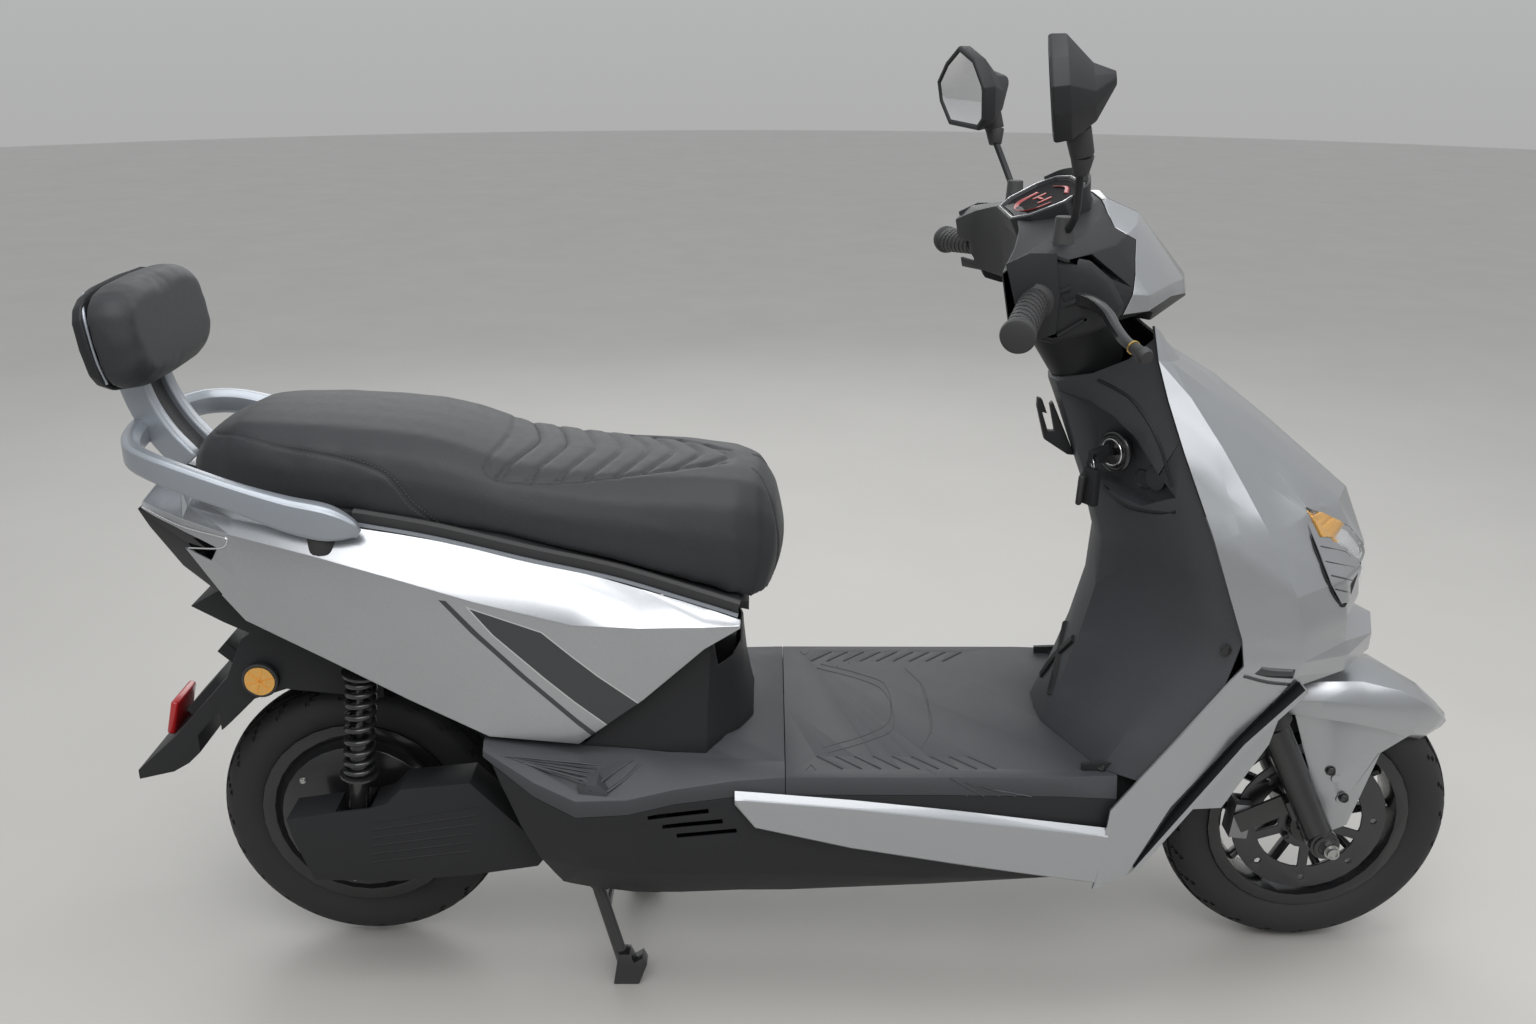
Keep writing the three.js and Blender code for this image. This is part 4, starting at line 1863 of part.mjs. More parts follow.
const { body: caliperBody, slot: caliperSlotForm } = caliper();
const sliders = forkSliders();
add(fork, "fork_sliders", sliders, finishes.blackPaint());
add(fork, "brake_caliper", cut(caliperBody, caliperSlotForm), finishes.steel());
add(fork, "front_fender", toSteering(frontGuard()), finishes.silver());
for (const [side, name] of [[1, "left"], [-1, "right"]]) {
  add(fork, "gaiter_" + name, moved(gaiterForm(), forkLead, side * forkHalf, 0), finishes.rubber());
}
fork.updateMatrixWorld(true);
fork.attach(frontWheel);
rearWheel.updateMatrixWorld(true);
swing.updateMatrixWorld(true);
swing.attach(rearWheel);

const span = new THREE.Box3().setFromObject(scooter, true);
scooter.position.x = -(span.min.x + span.max.x) / 2;

export default scooter;
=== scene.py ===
# %% [markdown]
# # A seated electric scooter, dressed for the camera
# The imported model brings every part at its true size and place. This lesson gives each
# part the finish of the real one: lacquer, grained plastic, enamel, rubber and leatherette.
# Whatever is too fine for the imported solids, such as stitches or tread, is modelled here.
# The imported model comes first, because every new piece is measured from it.

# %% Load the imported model
import json
import math
import bpy
from mathutils import Matrix, Vector
from mathutils.bvhtree import BVHTree
from mathutils.kdtree import KDTree


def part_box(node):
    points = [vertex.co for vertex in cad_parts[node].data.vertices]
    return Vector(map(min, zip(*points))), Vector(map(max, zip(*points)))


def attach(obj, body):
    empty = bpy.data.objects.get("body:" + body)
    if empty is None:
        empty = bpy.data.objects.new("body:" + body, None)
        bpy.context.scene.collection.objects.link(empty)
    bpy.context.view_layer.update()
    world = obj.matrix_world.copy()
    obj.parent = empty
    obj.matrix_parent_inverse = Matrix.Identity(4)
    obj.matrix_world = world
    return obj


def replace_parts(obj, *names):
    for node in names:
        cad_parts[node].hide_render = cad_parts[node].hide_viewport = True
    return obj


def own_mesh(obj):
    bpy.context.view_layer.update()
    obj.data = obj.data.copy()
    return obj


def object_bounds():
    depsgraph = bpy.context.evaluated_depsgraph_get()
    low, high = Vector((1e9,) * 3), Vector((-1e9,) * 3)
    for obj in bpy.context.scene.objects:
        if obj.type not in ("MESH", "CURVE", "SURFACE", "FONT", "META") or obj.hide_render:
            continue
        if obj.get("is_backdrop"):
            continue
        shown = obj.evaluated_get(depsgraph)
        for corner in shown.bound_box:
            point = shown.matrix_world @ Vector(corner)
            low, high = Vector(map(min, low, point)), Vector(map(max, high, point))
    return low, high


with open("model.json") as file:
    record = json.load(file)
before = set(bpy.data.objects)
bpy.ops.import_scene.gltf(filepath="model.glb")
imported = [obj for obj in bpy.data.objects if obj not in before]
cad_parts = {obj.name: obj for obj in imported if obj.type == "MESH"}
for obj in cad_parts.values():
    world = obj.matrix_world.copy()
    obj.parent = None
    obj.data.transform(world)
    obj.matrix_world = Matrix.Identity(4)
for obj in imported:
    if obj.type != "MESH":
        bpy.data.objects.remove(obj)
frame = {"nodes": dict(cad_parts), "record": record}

cad_low, cad_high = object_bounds()
print("packed parts:", len(frame["nodes"]), "box:", [round(c, 3) for c in (*cad_low, *cad_high)])

# %% [markdown]
# The photograph was taken from the scooter's right, at about eye height and looking a
# little down. The camera takes the same place, so that the render can be laid beside the
# photograph. Its place and lens were worked out once from the wheels and axles.

# %% Place the camera where the photographer stood
lens_mm, sensor_mm = 33.3, 36.0
photo_wide, photo_high = 1536, 1024
eye = Vector((-0.052, -1.801, 1.309))
tilt_down, roll = 19.78, 0.11


def linked(name, data):
    """A new object made of some data, in the scene."""
    thing = bpy.data.objects.new(name, data)
    bpy.context.scene.collection.objects.link(thing)
    return thing


camera = linked("camera", bpy.data.cameras.new("camera"))
camera.data.lens, camera.data.sensor_width = lens_mm, sensor_mm
camera.matrix_world = (
    Matrix.Translation(eye)
    @ Matrix.Rotation(math.radians(90 - tilt_down), 4, "X")
    @ Matrix.Rotation(math.radians(roll), 4, "Z")
)
bpy.context.scene.camera = camera
print("camera at", [round(c, 3) for c in eye])

# %% [markdown]
# Small marks, such as a seam or a bolt, are easiest to place where the photograph shows
# them. A line of sight from the camera through that pixel meets the part that carries the
# mark, and the meeting point is the mark's true place. On the far side it is mirrored.

# %% Find the point of a part behind a pixel
skins = {}
sides = (("right", -1), ("left", 1))          # each side's name and the sign of its y
search_from, search_step, search_stops = 1.2, 0.004, 450       # along a line of sight, in metres


def skin_of(thing):
    """A search tree over the faces of a part, given by name or as an object."""
    thing = frame["nodes"][thing] if isinstance(thing, str) else thing
    if thing.name not in skins:
        data = thing.data
        corners = [corner.co.copy() for corner in data.vertices]
        faces = [tuple(face.vertices) for face in data.polygons]
        skins[thing.name] = BVHTree.FromPolygons(corners, faces)
    return skins[thing.name]


def line_of_sight(across, down):
    """The direction from the camera through a pixel of the photograph."""
    scale = sensor_mm / photo_wide
    ray = Vector(((across - photo_wide / 2) * scale, (photo_high / 2 - down) * scale, -lens_mm))
    return (camera.matrix_world.to_3x3() @ ray).normalized()


def seen(thing, across, down, on_line=False):
    """The point of a part seen at a pixel, and the way its surface faces there.

    Where the pixel just misses the part, its nearest point counts, or the line's own."""
    skin, ray = skin_of(thing), line_of_sight(across, down)
    point, normal, _, _ = skin.ray_cast(eye, ray)
    if point is None:
        spots = [eye + ray * (search_from + search_step * k) for k in range(search_stops)]
        spot = min(spots, key=lambda p: skin.find_nearest(p)[3])
        point, normal, _, _ = skin.find_nearest(spot)
        point = spot if on_line else point
    return point, (-normal if normal.dot(ray) > 0 else normal)


def traced(thing, pixels):
    """The points of a part that the photograph shows at some pixels."""
    return [seen(thing, *pixel)[0] for pixel in pixels]


cover_spot = seen("side_cover_right", 400, 620)[0]
print("the near side cover is", round((cover_spot - eye).length, 3), "m away")

# %% [markdown]
# A finish is worked out by the nodes of a material, and wiring them one by one would fill
# pages. Two classes do it instead: a sum on a Wire adds the node that works it out, and a
# Paint holds one shader and makes the noises, cells and relief that its finish needs.

# %% Sums and nodes of a material
class Wire:
    """A value on its way through a material. Sums on it add the nodes that work them out."""

    def __init__(self, paint, socket):
        self.paint, self.socket = paint, socket

    def worked(self, operation, other):
        return self.paint.node("ShaderNodeMath", {"operation": operation}, {0: self, 1: other})

    def __add__(self, other):
        return self.worked("ADD", other)

    def __sub__(self, other):
        return self.worked("SUBTRACT", other)

    def __mul__(self, other):
        return self.worked("MULTIPLY", other)

    def __gt__(self, other):
        return self.worked("GREATER_THAN", other)

    def least(self, other):
        return self.worked("MINIMUM", other)

    def most(self, other):
        return self.worked("MAXIMUM", other)


class Paint:
    """A material in the making: one shader, and nodes that feed it."""

    def __init__(self, name, colour, rough, metal=0.0, **uniform):
        self.material = bpy.data.materials.new(name)
        self.material.use_nodes = True
        self.tree = self.material.node_tree
        self.shader = self.tree.nodes["Principled BSDF"]
        self.colour, self.rough = (*colour, 1.0), rough
        self.set("Base Color", self.colour)
        self.set("Roughness", rough)
        self.set("Metallic", metal)
        for socket, value in uniform.items():
            self.set(socket.replace("_", " "), value)

    def set(self, socket, value):
        self.feed(self.shader.inputs[socket], value)

    def feed(self, socket, value):
        if isinstance(value, Wire):
            self.tree.links.new(value.socket, socket)
        else:
            socket.default_value = value

    def node(self, kind, settings=None, sockets=None, out=0):
        made = self.tree.nodes.new(kind)
        for key, value in (settings or {}).items():
            if key == "stops":
                self.set_stops(made.color_ramp, value)
            else:
                setattr(made, key, value)
        for key, value in (sockets or {}).items():
            self.feed(made.inputs[key], value)
        return Wire(self, made.outputs[out])

    def set_stops(self, ramp, stops):
        for place, shade in stops[len(ramp.elements):]:
            ramp.elements.new(place)
        for element, (place, shade) in zip(ramp.elements, stops):
            element.position, element.color = place, shade

    def place(self):
        """Where a point lies on the piece, in metres."""
        return self.node("ShaderNodeTexCoord", out="Object")

    def axes(self):
        """The three coordinates of that place, each as a value."""
        split = self.node("ShaderNodeSeparateXYZ", sockets={0: self.place()})
        return [Wire(self, socket) for socket in split.socket.node.outputs]

    def noise(self, size, detail=2.0, stretch=(1, 1, 1)):
        """Soft random light and dark with patches of that size in metres."""
        moved = self.node("ShaderNodeMapping", sockets={"Vector": self.place(), "Scale": stretch})
        sockets = {"Vector": moved, "Scale": 1 / size, "Detail": detail}
        return self.node("ShaderNodeTexNoise", sockets=sockets)

    def cells(self, size, feature="F1", out="Distance"):
        """Small cells, like the pebbles of leather or the flakes of a lacquer."""
        sockets = {"Vector": self.place(), "Scale": 1 / size}
        return self.node("ShaderNodeTexVoronoi", {"feature": feature}, sockets, out)

    def mixed(self, amount, first, second):
        """The first colour where amount is 0, the second where it is 1."""
        sockets = {0: amount, 6: first, 7: second}
        return self.node("ShaderNodeMix", {"data_type": "RGBA"}, sockets, 2)

    def relief(self, height, depth, strength=1.0):
        """Fine relief: height from 0 to 1, depth in metres."""
        sockets = {"Height": height, "Distance": depth, "Strength": strength}
        self.set("Normal", self.node("ShaderNodeBump", sockets=sockets))

    def shades(self, amount, spread=0.12, colour=None):
        """The paint's colour, lighter and darker by a share as amount goes from 0 to 1."""
        colour = colour or self.colour
        dark = tuple(c * (1 - spread) for c in colour[:3]) + (1,)
        light = tuple(min(1, c * (1 + spread)) for c in colour[:3]) + (1,)
        return self.mixed(amount, dark, light)


print("paints can be mixed")

# %% [markdown]
# The stage is a pale floor and a pale world. Big soft lamps stand above and to both
# sides, as in a studio, at a level where a colour renders about as it is written.
# Long soft lamps also draw the long highlights that make lacquer look like lacquer.

# %% Floor, world and lamps
def deselect():
    if bpy.context.mode != "OBJECT":
        bpy.ops.object.mode_set(mode="OBJECT")
    bpy.ops.object.select_all(action="DESELECT")


def take(piece):
    """Selects one object alone and makes it active, so that an operator acts on it only."""
    deselect()
    piece.select_set(True)
    bpy.context.view_layer.objects.active = piece
    return piece


floor_paint = Paint("pale_floor", (0.44, 0.43, 0.41), 0.42)
floor_cloud = floor_paint.noise(0.5, 4.0)
floor_paint.set("Base Color", floor_paint.shades(floor_cloud, 0.06))
floor_paint.set("Roughness", floor_paint.noise(0.2, 3.0) * 0.16 + 0.34)

deselect()
floor_radius, below_tyres = 14, 0.0005
bpy.ops.mesh.primitive_circle_add(
    vertices=96, radius=floor_radius, fill_type="NGON", location=(0, 0, -below_tyres))
floor = bpy.context.object
floor.name = "floor"
floor.data.materials.append(floor_paint.material)
floor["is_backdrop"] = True

world = bpy.data.worlds.new("studio")
bpy.context.scene.world = world
world.use_nodes = True
sky_tree = world.node_tree
sky = sky_tree.nodes["Background"]


def sky_node(kind, settings=None, sockets=None):
    made = sky_tree.nodes.new(kind)
    for key, value in (settings or {}).items():
        setattr(made, key, value)
    for key, value in (sockets or {}).items():
        if hasattr(value, "is_linked"):
            sky_tree.links.new(value, made.inputs[key])
        else:
            made.inputs[key].default_value = value
    return made


sky_place = sky_node("ShaderNodeTexCoord").outputs["Generated"]
direction = sky_node("ShaderNodeSeparateXYZ", sockets={0: sky_place})
rise = sky_node("ShaderNodeMapRange", sockets={0: direction.outputs[2], 1: -0.1, 2: 0.7, 3: 0.0, 4: 1.0})
low_sky, high_sky = (0.50, 0.50, 0.50, 1), (0.80, 0.82, 0.84, 1)
ramp = sky_node("ShaderNodeMix", {"data_type": "RGBA"}, {0: rise.outputs[0], 6: low_sky, 7: high_sky})
sky_tree.links.new(ramp.outputs[2], sky.inputs["Color"])
sky.inputs["Strength"].default_value = 0.85


def soft_lamp(name, place, aim, wide, high, watts):
    """A flat lamp of that size, turned to face a point."""
    lamp = linked(name, bpy.data.lights.new(name, "AREA"))
    lamp.data.shape, lamp.data.energy = "RECTANGLE", watts
    lamp.data.size, lamp.data.size_y = wide, high
    lamp.location = place
    lamp.rotation_euler = (Vector(aim) - Vector(place)).to_track_quat("-Z", "Y").to_euler()


soft_lamp("top_lamp", (0.2, -0.3, 3.2), (0, 0, 0.4), wide=3.6, high=1.6, watts=58)
soft_lamp("near_lamp", (0.1, -2.6, 3.0), (0, 0, 0.5), wide=3.6, high=1.3, watts=54)
soft_lamp("front_lamp", (3.0, -1.4, 2.3), (0.5, 0, 0.7), wide=2.0, high=1.4, watts=14)
soft_lamp("far_lamp", (-0.4, 3.0, 2.0), (0, 0, 0.6), wide=3.0, high=1.4, watts=26)
bpy.context.scene.view_settings.view_transform = "Standard"
print("stage set with", len(bpy.data.lights), "lamps")

# %% [markdown]
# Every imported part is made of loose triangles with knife-sharp edges. A real moulding or
# casting has a small round on each edge, and that round is what catches the light. So a
# copy of each part is merged, its edges are bevelled, and it stands in for the part.
# The copy keeps the part's shape and place, and moves with the same body.

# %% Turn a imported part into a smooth, bevelled piece
bodies = frame["record"]["behaviour"]["bodies"]
body_of_part = {part: body for body, members in bodies.items() for part in members}
slot_of_part = {row["node"]: row["material_slot"] for row in frame["record"]["subparts"]}
weld_reach = 1e-5                             # corners nearer than this become one, in metres


def applied(piece):
    """Writes an object's place, turn and size into its mesh."""
    take(piece)
    bpy.ops.object.transform_apply(location=True, rotation=True, scale=True)
    return piece


def settle(piece, name, body, slot, paint=None):
    """Gives a finished piece its name, its paint and the body that it moves with.

    Where no paint is given, it wears the usual finish of its slot."""
    applied(piece)
    piece.name = piece.data.name = name
    piece.data.materials.clear()
    piece.data.materials.append((paint or finish_of_slot[slot]).material)
    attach(piece, body)
    return piece


def use(piece, kind, **settings):
    """Adds a modifier with its settings and applies it at once."""
    take(piece)
    modifier = piece.modifiers.new(kind.lower(), kind)
    for key, value in settings.items():
        setattr(modifier, key, value)
    bpy.ops.object.modifier_apply(modifier=modifier.name)
    return piece


def rounded(piece, width, rounds=2, angle=30):
    """Bevels the edges that are sharper than an angle."""
    return use(piece, "BEVEL", width=width, segments=rounds, limit_method="ANGLE",
               angle_limit=math.radians(angle))


def opened(piece):
    """Opens a piece in edit mode, with all of it selected."""
    take(piece)
    bpy.ops.object.mode_set(mode="EDIT")
    bpy.ops.mesh.select_all(action="SELECT")


def shut():
    bpy.ops.object.mode_set(mode="OBJECT")


def merged_copy(part, name):
    """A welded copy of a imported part, its flat faces joined."""
    copy = take(linked(name, frame["nodes"][part].data.copy()))
    if copy.data.has_custom_normals:
        bpy.ops.mesh.customdata_custom_splitnormals_clear()
    opened(copy)
    bpy.ops.mesh.remove_doubles(threshold=weld_reach)
    bpy.ops.mesh.dissolve_limited(angle_limit=math.radians(0.6))
    shut()
    return copy


def smooth(piece, angle):
    """Shades a piece smooth, but for edges sharper than an angle."""
    take(piece)
    bpy.ops.object.shade_smooth_by_angle(angle=math.radians(angle))
    return piece


def dressed(part, paint=None, edge=0.001, angle=32):
    """A smooth copy of a part with rounded edges, which replaces it."""
    copy = merged_copy(part, part + "_shell")
    use(copy, "BEVEL", width=edge, segments=2, limit_method="ANGLE",
        angle_limit=math.radians(angle), use_clamp_overlap=False, miter_outer="MITER_ARC")
    smooth(copy, angle)
    settle(copy, part + "_shell", body_of_part[part], slot_of_part[part], paint)
    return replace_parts(copy, part)


print("parts on the frame:", sum(body == "frame" for body in body_of_part.values()))

# %% [markdown]
# ## Finishes
# Silver lacquer has metal flakes under a clear coat: from a step away it is a smooth grey
# that brightens where it faces the light, and close up it sparkles. Tiny cells give each
# flake its own shade and roughness. A slow noise keeps the wide panels from looking ideal.

# %% Silver lacquer
silver, rail_grey, stripe_dark = (0.40, 0.412, 0.428), (0.30, 0.325, 0.36), (0.034, 0.036, 0.040)


def lacquer(name, colour, metal=0.85, rough=0.30, flake=0.0007):
    """Metal flakes under a clear coat."""
    paint = Paint(name, colour, rough, metal, Coat_Weight=0.55, Coat_Roughness=0.12)
    sparkle = paint.cells(flake, out="Color")
    shade = paint.node("ShaderNodeSeparateColor", sockets={0: sparkle})
    cloud = paint.noise(0.09, 3.0)
    paint.amount = shade * 0.55 + cloud * 0.45
    paint.set("Base Color", paint.shades(paint.amount, 0.04))
    paint.set("Roughness", shade * 0.02 + cloud * 0.05 + (rough - 0.035))
    paint.relief(paint.noise(0.014, 2.0), 0.00003, 0.1)
    return paint


silver_paint = lacquer("silver_lacquer", silver)
rail_paint = lacquer("rail_lacquer", rail_grey, 0.6, 0.42)
print("lacquers:", silver_paint.material.name, rail_paint.material.name)

# %% [markdown]
# The black mouldings have a grain pressed into them by the mould: fine on the covers and
# coarser, like leather, on the foot floor and leg shield. The grain is a field of small
# cells in the relief. Its colour follows the same cells as painted shade, a touch darker in
# the hollows and lighter on the ridges, over a slow random cloud of tone.

# %% Grained plastics
def moulded(name, colour, rough, grain, depth, shade_and_tone_spread=0.10):
    """Plastic with a grain pressed into it, and painted shade in the hollows of the grain."""
    paint = Paint(name, colour, rough)
    pebble = paint.cells(grain)
    cloud = paint.noise(0.06, 4.0)
    paint.amount = pebble * 0.5 + cloud * 0.6
    # painted shade: darker in the hollows of the grain and lighter on its ridges, with random tone from
    # the cloud
    paint.set("Base Color", paint.shades(paint.amount, shade_and_tone_spread))
    paint.set("Roughness", cloud * 0.12 + pebble * 0.08 + (rough - 0.1))
    paint.relief(pebble, depth, 0.6)
    return paint


black_plastic = moulded("black_moulding", (0.019, 0.0195, 0.021), 0.50, 0.0011, 0.00012)
floor_plastic = moulded("floor_moulding", (0.036, 0.038, 0.043), 0.55, 0.0018, 0.0002, 0.14)
inner_plastic = moulded("inner_moulding", (0.015, 0.015, 0.016), 0.62, 0.0014, 0.0001)
for matt in (black_plastic, inner_plastic):
    matt.set("Specular IOR Level", 0.22)
print("grained plastics made")

# %% [markdown]
# Frame, stand and shock absorbers wear gloss black enamel that orange-peels a little, and
# the wheels a satin black. Bare metals are turned or cast: the disc shows rings, the
# caliper a sandy skin. Rubber is dull, and lighter where it bloomed.

# %% Enamels, metals and rubber
def enamel(name, colour, rough, coat=0.4):
    paint = Paint(name, colour, rough, 0.0, Coat_Weight=coat, Coat_Roughness=0.08)
    peel, cloud = paint.noise(0.004, 2.0), paint.noise(0.05, 3.0)
    paint.set("Base Color", paint.shades(cloud, 0.18))
    paint.set("Roughness", cloud * 0.14 + (rough - 0.07))
    paint.relief(peel, 0.00008, 0.35)
    return paint


def bare_metal(name, colour, rough, grain=0.0006, stretch=(1, 1, 1), depth=0.00002):
    paint = Paint(name, colour, rough, 1.0)
    lines, cloud = paint.noise(grain, 2.0, stretch), paint.noise(0.03, 3.0)
    paint.set("Base Color", paint.shades(lines * 0.5 + cloud * 0.5, 0.14))
    paint.set("Roughness", lines * 0.12 + cloud * 0.1 + (rough - 0.1))
    paint.relief(lines, depth, 0.5)
    return paint


def soft_rubber(name, colour, rough, grain=0.0008):
    paint = Paint(name, colour, rough)
    speck, cloud = paint.noise(grain, 2.0), paint.noise(0.04, 4.0)
    paint.set("Base Color", paint.shades(cloud * 0.7 + speck * 0.3, 0.22))
    paint.set("Roughness", cloud * 0.16 + (rough - 0.08))
    paint.relief(speck, 0.00008, 0.5)
    return paint


black_paint = enamel("gloss_enamel", (0.016, 0.016, 0.017), 0.24)
wheel_paint = enamel("satin_enamel", (0.011, 0.011, 0.012), 0.26, 0.25)
disc_steel = bare_metal("turned_steel", (0.085, 0.085, 0.09), 0.34)
cast_alloy = bare_metal("cast_alloy", (0.30, 0.30, 0.31), 0.45, 0.0012, depth=0.00008)
chrome = bare_metal("chrome", (0.70, 0.70, 0.71), 0.12)
bolt_zinc = bare_metal("bolt_zinc", (0.42, 0.42, 0.41), 0.32)
rubber = soft_rubber("moulded_rubber", (0.024, 0.024, 0.025), 0.62)
tyre_rubber = soft_rubber("tyre_rubber", (0.015, 0.015, 0.016), 0.70)
print("enamels, metals and rubber made")

# %% [markdown]
# Lenses are clear or tinted plastic. The mirrors are silvered glass, and the display is
# a dark window. Each keeps a trace of wiping marks in its roughness.

# %% Lenses and glass
def lens(name, colour, rough, see_through=0.0, metal=0.0, **uniform):
    paint = Paint(name, colour, rough, metal, Coat_Weight=0.5, Coat_Roughness=0.03, **uniform)
    wipe = paint.noise(0.02, 3.0, (1, 1, 6))
    paint.set("Base Color", paint.shades(wipe, 0.05))
    paint.set("Roughness", wipe * 0.06 + rough)
    if see_through:
        paint.set("Alpha", wipe * 0.04 + (1 - see_through))
    return paint


clear_lens = lens("clear_lens", (0.85, 0.88, 0.90), 0.04, 0.72)
amber_lens = lens("amber_lens", (0.80, 0.30, 0.012), 0.14)
amber_glow = lens("amber_reflector", (0.78, 0.42, 0.10), 0.22, metal=0.6)
red_lens = lens("red_lens", (0.42, 0.012, 0.015), 0.14)
smoked_lens = lens("smoked_lens", (0.012, 0.012, 0.014), 0.08)
window_glass = lens("display_window", (0.010, 0.009, 0.010), 0.75)
window_glass.set("Coat Weight", 0.0)
window_glass.set("Specular IOR Level", 0.05)
mirror_glass = lens("mirror_glass", (0.82, 0.83, 0.84), 0.02, metal=1.0)
print("lenses made")

# %% [markdown]
# The seat is covered in charcoal leatherette: small pebbles pressed into a vinyl skin,
# with a soft sheen at a low angle.

# %% Leatherette
seat_cover = Paint("leatherette", (0.022, 0.023, 0.026), 0.60, Sheen_Weight=0.05, Sheen_Roughness=0.5)
seat_cover.set("Specular IOR Level", 0.36)
pebbles, creases = seat_cover.cells(0.0016, "SMOOTH_F1"), seat_cover.noise(0.012, 4.0)
seat_cover.set("Base Color", seat_cover.shades(pebbles * 0.6 + creases * 0.5, 0.20))
seat_cover.set("Roughness", creases * 0.14 + pebbles * 0.08 + 0.46)
seat_cover.relief(pebbles * 0.8 + creases * 0.4, 0.0003, 0.55)
print("leatherette made")

# %% [markdown]
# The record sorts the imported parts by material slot. Each slot has one usual finish, which
# a piece wears unless another is named for it.

# %% The usual finish of each slot
finish_of_slot = {
    "silver_paint": silver_paint, "rail_silver": rail_paint, "black_plastic": black_plastic,
    "floor_plastic": floor_plastic, "black_paint": black_paint, "wheel_paint": wheel_paint,
    "disc_steel": disc_steel, "caliper_alloy": cast_alloy, "lock_chrome": chrome,
    "rubber": rubber, "tyre": tyre_rubber, "seat_cover": seat_cover, "clear_lens": clear_lens,
    "amber_lens": amber_lens, "tail_lens": smoked_lens, "display_lens": window_glass,
}
print("slots with a finish:", len(finish_of_slot))

# %% [markdown]
# Many pieces below are led along a line: rails, seals, seams and stitches. A line is eased
# through a few corners, and what lies on the right is mirrored to the left.

# %% Lines
def eased(corners, steps=8):
    """A smooth line through some corners."""
    corners = [Vector(corner) for corner in corners]
    ends = [corners[0] * 2 - corners[1], *corners, corners[-1] * 2 - corners[-2]]
    line = []
    for before, start, end, after in zip(ends, ends[1:], ends[2:], ends[3:]):
        for k in range(steps):
            t = k / steps
            line.append(0.5 * (2 * start + (end - before) * t
                               + (2 * before - 5 * start + 4 * end - after) * t * t
                               + (3 * start - before - 3 * end + after) * t ** 3))
    return line + [corners[-1]]


def spaced(line, step):
    """Points on a line, one at each step of its length."""
    points, left = [line[0].copy()], step
    for start, end in zip(line, line[1:]):
        length, gone = (end - start).length, 0.0
        while length - gone >= left > 0:
            gone += left
            points.append(start.lerp(end, gone / length))
            left = step
        left -= length - gone
    return points


def mirrored(point):
    return Vector((point.x, -point.y, point.z))


def both_sides(line):
    """A line and its mirror image on the other side of the scooter."""
    return [line, [mirrored(point) for point in line]]


def each_side(line):
    """Each side's name and sign, with a line drawn on the right or its mirror image."""
    return [(side, sign, one) for (side, sign), one in zip(sides, both_sides(line))]


print("a line eased through 3 corners has", len(eased([(0, 0), (1, 0), (1, 1)])), "points")

# %% [markdown]
# A bar could be cut from a block, but a drawn outline led along a line, as a curve with a
# bevel does, keeps its section all the way. A wire is the same with a round section.

# %% Bars and wires
def curve_of(name, corners, closed=False, sizes=None):
    data = bpy.data.curves.new(name, "CURVE")
    data.dimensions = "3D"
    spline = data.splines.new("POLY")
    spline.points.add(len(corners) - 1)
    for k, corner in enumerate(corners):
        spline.points[k].co = (*corner, 1) if len(corner) == 3 else (*corner, 0, 1)
        spline.points[k].radius = sizes[k] if sizes else 1
    spline.use_cyclic_u = closed
    return linked(name, data)


def tidy(piece):
    """Closes the seams of a mesh and turns its faces outwards."""
    opened(piece)
    bpy.ops.mesh.remove_doubles(threshold=weld_reach)
    bpy.ops.mesh.normals_make_consistent(inside=False)
    shut()
    return piece


def swept(name, line, outline, sizes=None):
    """A bar: an outline, given as (sideways, upwards), led along a line and kept upright."""
    rail, section = curve_of(name, line, sizes=sizes), curve_of("section", outline, True)
    rail.data.twist_mode, rail.data.use_fill_caps = "Z_UP", True
    rail.data.bevel_mode, rail.data.bevel_object = "OBJECT", section
    take(rail)
    bpy.ops.object.convert(target="MESH")
    bpy.data.objects.remove(section)
    return tidy(rail)


def wire_along(name, line, thick, closed=False, round_to=2):
    """A round wire led along a line."""
    wire = curve_of(name, line, closed)
    wire.data.bevel_depth, wire.data.bevel_resolution = thick / 2, round_to
    wire.data.use_fill_caps = not closed
    take(wire)
    bpy.ops.object.convert(target="MESH")
    return tidy(wire)


print("bars and wires can be led along lines")

# %% [markdown]
# Round things are turned: a section is drawn and spun about its axis, as on a lathe. Flat
# ones are an outline that is given a thickness. Copies are set out as one mesh.

# %% Pieces from drawn sections and outlines
def mesh_of(name, corners, edges, faces):
    data = bpy.data.meshes.new(name)
    data.from_pydata(corners, edges, faces)
    return linked(name, data)


def push(way):
    """Draws the selected faces out by a way, with new faces along their edges."""
    bpy.ops.mesh.extrude_region_move(TRANSFORM_OT_translate={"value": way})


def plate(name, corners, thick, up):
    """A flat outline given a thickness below it."""
    made = mesh_of(name, corners, [], [tuple(range(len(corners)))])
    opened(made)
    push(-Vector(up).normalized() * thick)
    shut()
    return tidy(made)


def spun(name, section, steps, axis=(0, 0, 1), closed=False):
    """A section spun once round an axis through the origin."""
    count = len(section)
    edges = [(k, (k + 1) % count) for k in range(count if closed else count - 1)]
    made = mesh_of(name, section, edges, [])
    opened(made)
    bpy.ops.mesh.spin(steps=steps, angle=2 * math.pi, center=(0, 0, 0), axis=axis)
    shut()
    return tidy(made)


def aimed(spot, way):
    """A place at a spot, its z along a way."""
    return Matrix.Translation(spot) @ Vector(way).to_track_quat("Z", "X").to_matrix().to_4x4()


def turned(name, section, steps, spot, way):
    """A section (along, radius) spun round a line that starts at a spot."""
    made = spun(name, [Vector((radius, 0, along)) for along, radius in section], steps)
    made.matrix_world = aimed(spot, way)
    return made


def stand_at(point, up, ahead=None):
    """A place on a surface: z points up from it, and x ahead along it."""
    up = Vector(up).normalized()
    ahead = Vector(ahead) if ahead else up.orthogonal()
    side = up.cross(ahead).normalized()
    turn = Matrix((side.cross(up), side, up)).transposed().to_4x4()
    return Matrix.Translation(point) @ turn


